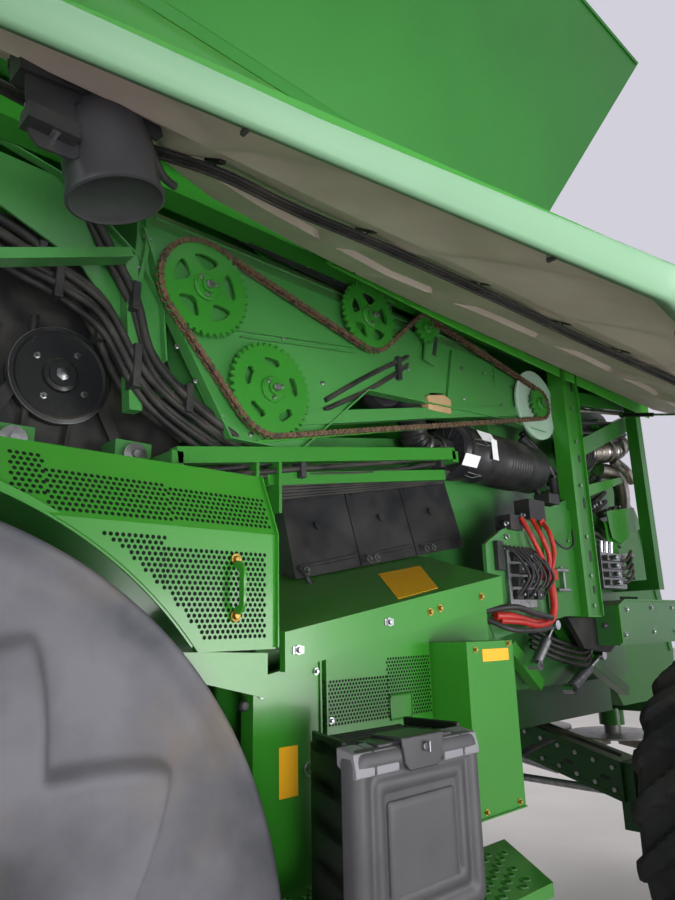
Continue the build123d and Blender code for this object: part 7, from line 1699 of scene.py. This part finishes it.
def cab_controls():
    """Seat base, armrest console with its grip and screen, column, wheel and pedals."""
    black, satin, screen = Stock(), Stock(), Stock()
    black.slab((0.84, 1.16), (-0.145, 0.145), (FLOOR, FLOOR + 0.10))
    for i in range(6):
        black.slab((0.85 + 0.004 * i, 1.15 - 0.004 * i), (-0.135, 0.135), (FLOOR + 0.10 + 0.036 * i, FLOOR + 0.126 + 0.036 * i))
    black.slab((0.80, 1.20), (-0.20, 0.20), (FLOOR + 0.318, FLOOR + 0.345))
    satin.plate([(0.80, FLOOR + 0.02), (1.35, FLOOR + 0.02), (1.37, FLOOR + 0.56), (1.28, FLOOR + 0.63), (0.82, FLOOR + 0.56)], (0, -0.46, 0),
                (1, 0, 0), (0, 0, 1), -0.17)
    for i in range(3):
        for j in range(4):
            black.slab((0.92 + 0.06 * j, 0.955 + 0.06 * j), (-0.42 + 0.045 * i, -0.39 + 0.045 * i), (FLOOR + 0.585 + 0.009 * j, FLOOR + 0.592 + 0.009 * j))
    black.hose([(1.27, -0.375, FLOOR + 0.60), (1.285, -0.375, FLOOR + 0.63), (1.29, -0.372, FLOOR + 0.638)], 0.022, steps=5, sides=14)
    screen.slab((1.36, 1.375), (-0.455, -0.29), (FLOOR + 0.42, FLOOR + 0.60))
    axis = unit((-0.08, 0.0, 0.62))
    satin.bar((1.70, 0.0, FLOOR + 0.01), (1.62, 0.0, FLOOR + 0.62), 0.033, 20)
    black.turned([(0.0, 0.0), (0.055, 0.0), (0.05, 0.03), (0.0, 0.03)], (1.70, 0.0, FLOOR), (0, 0, 1), 28)
    tilt = unit((-0.35, 0.0, 1.0))
    side = np.array([0.0, 1.0, 0.0])
    front = np.cross(side, tilt)
    ring = [np.array([1.60, 0.0, FLOOR - 0.045 + 0.68]) + (side * cos(a) + front * sin(a)) * 0.19 for a in np.linspace(0, 2 * pi, 49)]
    black.sweep(circle(0.0145, 12), ring, tilt)
    for a in (0.0, pi, pi / 2):
        satin.bar(ring[0] * 0 + np.array([1.60, 0.0, FLOOR + 0.63]), np.array([1.60, 0.0, FLOOR + 0.635]) + (side * cos(a) + front * sin(a)) * 0.185, 0.011, 10)
    black.turned([(0.0, -0.01), (0.045, -0.01), (0.04, 0.015), (0.0, 0.02)], (1.60, 0.0, FLOOR + 0.635), tilt, 24)
    return black, satin, screen


def cab_seals():
    """Rubber seals round the panes, wiper, handles, hinge covers, lamps and roof seam."""
    rubber, door_rubber, black, lens, door_black = Stock(), Stock(), Stock(), Stock(), Stock()
    strip = [(-0.012, -0.004), (0.012, -0.004), (0.012, 0.004), (-0.012, 0.004)]
    quarter = [(0.44, 2.70), (0.44, 3.58), (0.90, 3.58), (0.90, 2.70), (0.44, 2.70)]
    for s in (1, -1):
        rubber.sweep(strip, [(x, s * 0.931, z) for x, z in quarter], (0, 1, 0))
    door = [(0.96, 2.16), (0.96, 3.58), (1.87, 3.58), (1.94, 2.56), (1.81, 2.16), (0.96, 2.16)]
    rubber.sweep(strip, [(x, -0.931, z) for x, z in door], (0, 1, 0))
    inner = [(1.02, 2.23), (1.02, 3.515), (1.81, 3.515), (1.875, 2.56), (1.765, 2.23), (1.02, 2.23)]
    door_rubber.sweep(strip, [(x, 0.932, z) for x, z in inner], (0, 1, 0))
    rear = [(-0.60, 2.70), (-0.60, 3.56), (0.60, 3.56), (0.60, 2.70), (-0.60, 2.70)]
    rubber.sweep(strip, [(0.349, y, z) for y, z in rear], (1, 0, 0))
    door_black.sweep(rounded(0.030, 0.018, 0.006, 4), smooth_path([(1.80, 0.934, 2.50), (1.80, 0.958, 2.52), (1.80, 0.960, 2.62), (1.80, 0.934, 2.64)], 5), (1, 0, 0))
    door_black.slab((1.765, 1.83), (0.931, 0.938), (2.47, 2.68))
    for z in (2.36, 3.26):
        door_black.slab((0.965, 1.03), (0.931, 0.940), (z - 0.01, z + 0.10))
    black.bar((2.108, 0.0, 3.60), (2.06, 0.20, 2.75), 0.008, 8)
    black.slab((2.045, 2.062), (0.19, 0.21), (2.42, 2.98))
    for y in (-0.78, -0.52, 0.52, 0.78):
        black.slab((2.098, 2.112), (y - 0.085, y + 0.085), (3.655, 3.735))
        lens.plate(rounded(0.145, 0.058, 0.012, 5), (2.112, y, 3.695), (0, 1, 0), (0, 0, 1), -0.003)
        for row in (-1, 0, 1):
            lens.turned([(0.0, 0.0), (0.016, 0.0), (0.012, 0.005), (0.0, 0.007)], (2.113, y + row * 0.043, 3.695), (1, 0, 0), 16)
    for s in (1, -1):
        black.slab((0.42, 2.05), (s * 0.970, s * 0.974), (3.645, 3.665))
        lens.slab((0.292, 0.286), (s * 0.70, s * 0.86), (3.68, 3.75))
    for i in range(9):
        black.slab((0.50 + 0.05 * i, 0.52 + 0.05 * i), (-0.35, 0.35), (3.850, 3.856))
    return rubber, door_rubber, black, lens, door_black


def mirror_dress():
    back, glass = Stock(), Stock()
    for s in (1, -1):
        for z, h in ((3.44, 0.250), (3.24, 0.110)):
            y = s * (2.56 - 0.13)
            glass.plate(rounded(0.22, h - 0.02, 0.018, 5), (1.970, y, z), (0, s, 0), (0, 0, 1), s * 0.002)
        back.sweep(rounded(0.25, 0.385, 0.03, 5), [(2.112, s * 2.43, 3.38), (2.118, s * 2.43, 3.38)], (0, 0, 1))
    return back, glass


def platform_dress():
    """Tread pattern of the walkway and rungs, and rail caps."""
    treads, black = Stock(), Stock()
    marks = [(x, y, 0.785 * (1 if (i + j) % 2 else -1)) for i, x in enumerate(np.arange(0.39, 1.88, 0.045)) for j, y in enumerate(np.arange(0.97, 1.73, 0.045))]
    stud = Stock()
    stud.plate([(-0.014, 0.0), (0.0, -0.004), (0.014, 0.0), (0.0, 0.004)], (0, 0, 0), (1, 0, 0), (0, 1, 0), 0.002)
    treads.copies(stud, [placed((x, y, 2.085), turn, "Z", 1.0) for x, y, turn in marks])
    top, pitch = 2.085, (2.085 - 0.48) / 5
    for i in range(5):
        z = 0.48 + i * pitch
        y = 1.75 - 0.02 + (top - z) / (top - 0.43) * 0.14
        for j in range(9):
            black.slab((1.30 + 0.042 * j, 1.325 + 0.042 * j), (y + 0.006, y + 0.054), (z + 0.030, z + 0.034))
    for x in (0.38, 1.08):
        black.turned([(0.017, 0.0), (0.045, 0.0), (0.045, 0.008), (0.017, 0.010)], (x, 1.725, 2.085), (0, 0, 1), 24)
    return treads, black


def feeder_dress():
    """Slat conveyor in the mouth, side ribs, flange bolts, hinges of the top cover and hoses."""
    slats, ribs, bolts, hose = Stock(), Stock(), Stock(), Stock()
    ux, uz = unit((2.64 - 0.52, 0.0, 1.05 - 1.65))[[0, 2]]

    def spot(s, v, y):
        return (0.52 + s * ux - v * uz, y, 1.65 + s * uz + v * ux)

    drum_s = 1.86
    slats.turned([(0.0, -0.52), (0.13, -0.52), (0.13, 0.52), (0.0, 0.52)], spot(drum_s, 0.0, 0.0), (0, 1, 0), 40)
    for side in (-0.36, 0.0, 0.36):
        for v in (0.155, -0.155):
            slats.bar(spot(1.46, v, side), spot(drum_s, v, side), 0.014, 8)
    for i in range(4):
        for v in (0.17, -0.17):
            s = 1.50 + 0.12 * i
            slats.plate([(-0.48, 0.0), (0.48, 0.0), (0.48, 0.035), (-0.48, 0.035)], spot(s, v - 0.0175, 0.0), (0, 1, 0), (0.28, 0, 0.96), 0.006)
    for i in range(3):
        turn = -pi / 2 + pi * (i + 1) / 4
        slats.plate([(-0.48, 0.13), (0.48, 0.13), (0.48, 0.17), (-0.48, 0.17)], spot(drum_s, 0.0, 0.0), (0, 1, 0), (cos(turn), 0, sin(turn)), 0.006)
    for side in (1, -1):
        for s in (0.35, 0.75, 1.15, 1.55):
            ribs.sweep([(-0.02, 0.0), (0.02, 0.0), (0.012, 0.018), (-0.012, 0.018)], [spot(s, -0.27, side * 0.6), spot(s, 0.27, side * 0.6)], (0, side, 0))
        ribs.sweep([(-0.015, 0.0), (0.015, 0.0), (0.010, 0.012), (-0.010, 0.012)], [spot(0.2, 0.0, side * 0.6), spot(1.9, 0.0, side * 0.6)], (0, side, 0))
        hose.hose([spot(0.3, 0.20, side * 0.625), spot(0.9, 0.23, side * 0.64), spot(1.5, 0.20, side * 0.635), spot(1.85, 0.10, side * 0.63)], 0.013)
        hose.hose([spot(0.3, 0.16, side * 0.625), spot(0.9, 0.19, side * 0.64), spot(1.5, 0.165, side * 0.635), spot(1.82, 0.05, side * 0.63)], 0.011)
        for i in range(7):
            bolt(bolts, (2.6401, side * 0.665, 0.76 + 0.095 * i), (1, 0, 0), 0.012)
    for i in range(11):
        for z in (0.705, 1.352):
            bolt(bolts, (2.6401, -0.55 + 0.11 * i, z), (1, 0, 0), 0.010)
    for y in (-0.4, 0.0, 0.4):
        ribs.bar(spot(0.55, 0.302, y - 0.06), spot(0.55, 0.302, y + 0.06), 0.012, 14)
    return slats, ribs, bolts, hose


def auger_dress():
    """Flanges, weld bands and their bolts on the folded auger; the rubber stock stays empty."""
    bands, bolts, rubber = Stock(), Stock(), Stock()
    start, end = np.array([0.13, 1.47, 3.27]), np.array([-5.51, 1.47, 3.175])
    way = unit(end - start)
    for share in (0.09, 0.35, 0.62, 0.90):
        at = start + (end - start) * share
        bands.turned([(0.160, -0.014), (0.1755, -0.014), (0.1755, 0.014), (0.160, 0.014)], at, way, 56)
        for i in range(12):
            turn = 2 * pi * i / 12
            out = np.array([0.0, cos(turn), sin(turn)])
            bolts.turned([(0.0, 0.0), (0.006, 0.0), (0.006, 0.006), (0.0, 0.007)], at + out * 0.1745, out, 6)
    return bands, bolts, rubber


def rear_dress():
    """Louvres, lamps, hinges, handles and number-free plate of the rear hood, chopper knives and engine hood slots."""
    green, black, red, amber, knives, pit = Stock(), Stock(), Stock(), Stock(), Stock(), Stock()
    for s in (1, -1):
        for i in range(7):
            z = 1.75 + 0.07 * i
            green.plate([(-4.42, z), (-4.98, z), (-4.98, z + 0.028), (-4.42, z + 0.028)], (0, s * 0.770, 0), (1, 0, 0), (0, 0, 1), -s * 0.014)
            pit.slab((-4.425, -4.975), (s * 0.7702, s * 0.7712), (z - 0.020, z - 0.003))
        green.sweep([(-0.012, 0.0), (0.012, 0.0), (0.008, 0.010), (-0.008, 0.010)], [(-4.30, s * 0.77, 2.45), (-5.15, s * 0.77, 2.40), (-5.40, s * 0.77, 1.50)], (0, s, 0))
        black.sweep(rounded(0.016, 0.016, 0.005, 3), smooth_path([(-4.62, s * 0.772, 1.62), (-4.62, s * 0.796, 1.62), (-4.78, s * 0.796, 1.62), (-4.78, s * 0.772, 1.62)], 5), (0, 0, 1))
        way = unit((-(2.35 - 1.50), 0.0, 0.17))
        for z, stock in ((2.18, red), (2.06, amber), (1.94, red)):
            x = -5.30 - (2.35 - z) * 0.2
            stock.turned([(0.0, 0.0), (0.050, 0.0), (0.050, 0.012), (0.042, 0.022), (0.0, 0.026)], (x, s * 0.60, z), (-0.98, 0, -0.2), 32)
            black.turned([(0.048, -0.004), (0.060, -0.004), (0.060, 0.008), (0.050, 0.010)], (x, s * 0.60, z), (-0.98, 0, -0.2), 32)
        for i in range(14):
            x = -3.10 - 0.085 * i
            pit.slab((x, x - 0.05), (s * 1.2895, s * 1.2908), (3.27, 3.42))
            green.slab((x + 0.004, x - 0.002), (s * 1.2895, s * 1.298), (3.265, 3.425))
        for x in (-3.15, -4.10):
            black.slab((x, x - 0.09), (s * 1.2895, s * 1.302), (3.44, 3.465))
    for i in range(5):
        z = 2.28 - 0.10 * i
        x = -5.30 - (2.35 - z) * 0.2
        green.slab((x - 0.008, x + 0.004), (-0.42, 0.42), (z, z + 0.05))
    for i in range(16):
        turn = 2 * pi * ((i * 5) % 16) / 16
        y = -0.66 + 0.088 * i
        for way in (0.0, pi):
            knives.plate([(0.03, -0.022), (0.186, -0.022), (0.186, 0.022), (0.03, 0.022)], (-4.70, y, 1.43), (cos(turn + way), 0, sin(turn + way)),
                         (-sin(turn + way), 0, cos(turn + way)), 0.005)
    knives.bar((-4.70, -0.74, 1.43), (-4.70, 0.74, 1.43), 0.075, 32)
    return green, black, red, amber, knives, pit


def screen_dress():
    """Mesh, rim and rotary arm of the round air screen, with louvres on its box."""
    mesh, rim, pit = Stock(), Stock(), Stock()
    x, y, z = -3.62, -1.3302, 2.51
    for i in range(-26, 27):
        reach = (0.445 ** 2 - (i * 0.0165) ** 2) ** 0.5
        mesh.slab((x - reach, x + reach), (y, y - 0.0022), (z + i * 0.0165 - 0.0022, z + i * 0.0165 + 0.0022))
        mesh.slab((x + i * 0.0165 - 0.0022, x + i * 0.0165 + 0.0022), (y + 0.0004, y - 0.0018), (z - reach, z + reach))
    rim.turned([(0.440, 0.0), (0.470, 0.0), (0.470, 0.012), (0.455, 0.018), (0.440, 0.012)], (x, y, z), (0, -1, 0), 96)
    rim.turned([(0.0, 0.0), (0.07, 0.0), (0.065, 0.02), (0.0, 0.024)], (x, y, z), (0, -1, 0), 40)
    rim.plate([(0.0, -0.035), (0.44, -0.055), (0.44, 0.055), (0.0, 0.035)], (x, y, z), (0.6, 0, 0.8), (-0.8, 0, 0.6), 0.022)
    for i in range(6):
        pit.slab((x - 0.50, x - 0.30), (-1.2905, -1.2915), (1.99 + 0.022 * i, 2.00 + 0.022 * i))
        pit.slab((x + 0.30, x + 0.50), (-1.2905, -1.2915), (1.99 + 0.022 * i, 2.00 + 0.022 * i))
    return mesh, rim, pit


def right_side_dress():
    """Fuel tank's cap, straps and sight strip, and the long lines under the body."""
    black, metal = Stock(), Stock()
    for x in (-2.42, -2.72):
        metal.sweep([(-0.020, -0.002), (0.020, -0.002), (0.020, 0.002), (-0.020, 0.002)],
                    [(x, -0.985, 1.903), (x, -1.222, 1.903), (x, -1.222, 1.477), (x, -0.985, 1.477)], (1, 0, 0))
    black.turned([(0.0, 0.0), (0.055, 0.0), (0.055, 0.03), (0.045, 0.04), (0.0, 0.042)], (-2.32, -1.12, 1.90), (0, 0, 1), 30)
    for i in range(4):
        black.slab((-2.27 - 0.16 * i, -2.29 - 0.16 * i), (-1.2205, -1.226), (1.50, 1.88))
    for s in (1, -1):
        for i in range(3):
            black.hose([(0.35, s * (0.835 + 0.018 * i), 1.02), (-1.2, s * (0.835 + 0.018 * i), 1.00), (-2.6, s * (0.835 + 0.018 * i), 1.02), (-3.5, s * (0.835 + 0.018 * i), 1.10)],
                       0.0085, steps=10, sides=8)
    return black, metal


def cab_pieces():
    black, satin, screen = cab_controls()
    fit("cab_controls", black, BLACK, stands_for=["cab_interior"], sharp=40)
    fit("cab_console", satin, BLACK_SATIN, bevel=0.004)
    fit("cab_screen", screen, GLASS)
    fit("seat_cushion", cushion((1.0, 0.0, FLOOR + 0.405), (0.245, 0.245, 0.065)), SEAT_CLOTH, sharp=80)
    fit("seat_back", cushion((0.765, 0.0, FLOOR + 0.74), (0.058, 0.235, 0.33), radians(9)), SEAT_CLOTH, sharp=80)
    rubber, door_rubber, black, lens, door_black = cab_seals()
    fit("cab_seals", rubber, HOSE)
    fit("cab_door_seal", door_rubber, HOSE, "cab_door")
    fit("cab_black_trim", black, BLACK, bevel=0.002)
    fit("cab_lamps", lens, LENS)
    fit("cab_door_handle", door_black, BLACK, "cab_door", bevel=0.002)
    back, glass = mirror_dress()
    fit("mirror_backs", back, BLACK_SATIN)
    fit("mirror_glass", glass, CHROME)
    treads, black = platform_dress()
    fit("platform_treads", treads, GREEN_CAST)
    fit("ladder_grips", black, BLACK)


def end_pieces():
    slats, ribs, bolts, hose = feeder_dress()
    fit("feeder_slats", slats, IRON, "feeder_house")
    fit("feeder_ribs", ribs, GREEN, "feeder_house")
    fit("feeder_bolts", bolts, ZINC, "feeder_house")
    fit("feeder_hoses", hose, HOSE, "feeder_house")
    bands, bolts, rubber = auger_dress()
    fit("auger_flanges", bands, GREEN, "unloading_auger")
    fit("auger_bolts", bolts, ZINC, "unloading_auger")
    green, black, red, amber, knives, pit = rear_dress()
    fit("rear_louvres", green, GREEN)
    fit("rear_black_trim", black, BLACK)
    fit("tail_lamps", red, RED_LENS)
    fit("turn_lamps", amber, AMBER)
    fit("chopper_knives", knives, STRAW, stands_for=["straw_chopper"])
    fit("louvre_slots", pit, PIT)
    mesh, rim, pit = screen_dress()
    fit("air_screen_mesh", mesh, ZINC)
    fit("air_screen_rim", rim, BLACK)
    fit("air_screen_slots", pit, PIT)
    black, metal = right_side_dress()
    fit("fuel_tank_trim", black, BLACK)
    fit("fuel_tank_straps", metal, ZINC)


cab_pieces()
end_pieces()


# Finishes of the frame's own nodes

NODE_FINISHES = {
    "frame_rails": GREEN_CAST, "front_axle": GREEN_CAST, "rear_axle": GREEN_CAST, "knuckle_left": GREEN_CAST,
    "knuckle_right": GREEN_CAST, "tie_rod": ZINC, "separator_body": GREEN_DEEP, "guard_panels": GREEN_LIT,
    "sloped_shelves": GREEN_LIT, "side_doors": GREEN_LIT, "separator_covers": BLACK, "upper_frame": GREEN,
    "shield_left": GREEN, "shield_right": GREEN, "strut_barrel": BLACK_PAINT, "strut_rod": CHROME, "grain_tank": GREEN,
    "tank_flap_left": FLAP_GREEN, "tank_flap_right": FLAP_GREEN, "tank_curtains": CURTAIN, "unloading_auger": GREEN,
    "auger_foot": GREEN, "drive_sprockets": GREEN, "drive_chain": CHAIN, "drive_case": GREEN_DEEP,
    "belt_drive": BLACK_PAINT, "engine": IRON, "engine_hood": GREEN, "cooling_screen": GREEN, "air_cleaner": BLACK_RIBBED,
    "rear_hood": GREEN, "straw_chopper": STRAW, "spreader_left": STRAW, "spreader_right": STRAW, "cab_shell": GREEN,
    "cab_glass": GLASS, "cab_roof": GREEN, "cab_door": GREEN, "cab_door_glass": GLASS, "cab_interior": BLACK,
    "cab_mirrors": BLACK, "feeder_house": GREEN, "lift_barrels": BLACK_PAINT, "lift_rods": CHROME,
    "step_platform": GREEN_LIT, "toolbox": BLACK, "toolbox_lid": BLACK, "front_platform": GREEN_CAST,
    "fuel_tank": BLACK, "tyre_front_left": RUBBER, "tyre_front_right": RUBBER, "tyre_rear_left": RUBBER,
    "tyre_rear_right": RUBBER, "rim_front_left": YELLOW, "rim_front_right": YELLOW, "rim_rear_left": YELLOW,
    "rim_rear_right": YELLOW,
}


def finish_frame():
    for name, finish in NODE_FINISHES.items():
        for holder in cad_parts[name].material_slots:
            holder.material = finish


finish_frame()


# Floor, light and camera


def stage_floor():
    """Level floor of pale screed with faint clouds."""
    stock = Stock()
    half = 45.0
    corners = np.array([[(-half, -half, 0.0), (-half, half, 0.0)], [(half, -half, 0.0), (half, half, 0.0)]])
    mesh = bpy.data.meshes.new("pale_floor")
    mesh.from_pydata(corners.reshape(-1, 3).tolist(), [], [(0, 2, 3, 1)])
    material, tree, skin, place = new_finish("pale screed floor", Roughness=0.6)
    clouds = patches(tree, place, 900, 0.3, 0.7, 8.0)
    tree.links.new(blended(tree, clouds, hex_colour("#CFCAC6"), hex_colour("#DAD6D2")), skin.inputs["Base Color"])
    mesh.materials.append(material)
    floor = bpy.data.objects.new("pale_floor", mesh)
    bpy.context.scene.collection.objects.link(floor)


def studio_light():
    """Overcast light from all round, and three large soft lamps."""
    world = bpy.data.worlds.new("overcast")
    bpy.context.scene.world = world
    world.use_nodes = True
    tree = world.node_tree
    tree.nodes.clear()
    rays = add(tree, "ShaderNodeLightPath")
    seen = add(tree, "ShaderNodeMath", {}, {0: rays.outputs["Is Camera Ray"], 1: rays.outputs["Is Glossy Ray"]},
               operation="MAXIMUM").outputs[0]
    sky = add(tree, "ShaderNodeBackground", {"Color": hex_colour("#E4E3E6"), "Strength": 0.62})
    back = add(tree, "ShaderNodeBackground", {"Color": hex_colour("#D2D0DB"), "Strength": 1.0})
    mixed = add(tree, "ShaderNodeMixShader", {}, {"Fac": seen, 1: sky.outputs[0], 2: back.outputs[0]})
    add(tree, "ShaderNodeOutputWorld", links={"Surface": mixed.outputs[0]})
    # Lamp, place, where it points, size, power, spread in degrees, and whether gloss shows it
    for name, place, goal, size, power, spread, shown in (
            ("high lamp", (2.0, 9.0, 9.0), (0.0, 0.0, 2.0), 7.0, 120.0, 180.0, True),
            ("front lamp", (9.0, 3.0, 6.0), (0.0, 0.0, 2.0), 6.0, 120.0, 180.0, True),
            ("bay lamp", (2.6, 6.4, 0.9), (-0.3, 1.2, 2.85), 2.0, 26.0, 40.0, False),
            ("liner lamp", (1.0, 5.5, 0.3), (-0.8, 1.8, 2.95), 2.3, 16.0, 50.0, False),
            ("rear fill lamp", (-3.5, 8.0, 0.7), (-0.5, 1.4, 1.2), 3.0, 90.0, 100.0, True),
            ("far lamp", (-6.0, -9.0, 8.0), (0.0, 0.0, 2.0), 7.0, 600.0, 180.0, True)):
        lamp = bpy.data.lights.new(name, "AREA")
        lamp.energy, lamp.size, lamp.spread = power, size, radians(spread)
        holder = bpy.data.objects.new(name, lamp)
        bpy.context.scene.collection.objects.link(holder)
        holder.location = place
        holder.visible_glossy = shown
        holder.rotation_euler = (Vector(goal) - Vector(place)).to_track_quat("-Z", "Y").to_euler()


def photo_camera():
    """Camera beside the front axle, looking back and up along the left flank."""
    heading, pitch, roll, focal = radians(47.0), radians(14.6), radians(-1.4), 684.0
    level = np.array([-cos(heading), -sin(heading), 0.0])
    way = level * cos(pitch) + np.array([0.0, 0.0, sin(pitch)])
    right = unit(np.cross(way, (0, 0, 1)))
    upward = np.cross(right, way)
    side, top = right * cos(roll) + upward * sin(roll), upward * cos(roll) - right * sin(roll)
    lens = bpy.data.cameras.new("photo camera")
    lens.sensor_fit, lens.sensor_width = "HORIZONTAL", 36.0
    lens.lens = focal / 675.0 * 36.0
    lens.clip_end = 200.0
    camera = bpy.data.objects.new("photo camera", lens)
    bpy.context.scene.collection.objects.link(camera)
    matrix = np.eye(4)
    matrix[:3, 0], matrix[:3, 1], matrix[:3, 2], matrix[:3, 3] = side, top, -way, (AXLE_X + 0.08, 3.03, 1.72)
    camera.matrix_world = Matrix(matrix.tolist())
    bpy.context.scene.camera = camera


stage_floor()
studio_light()
photo_camera()
bpy.context.scene.view_settings.view_transform = "Standard"
bpy.context.view_layer.update()
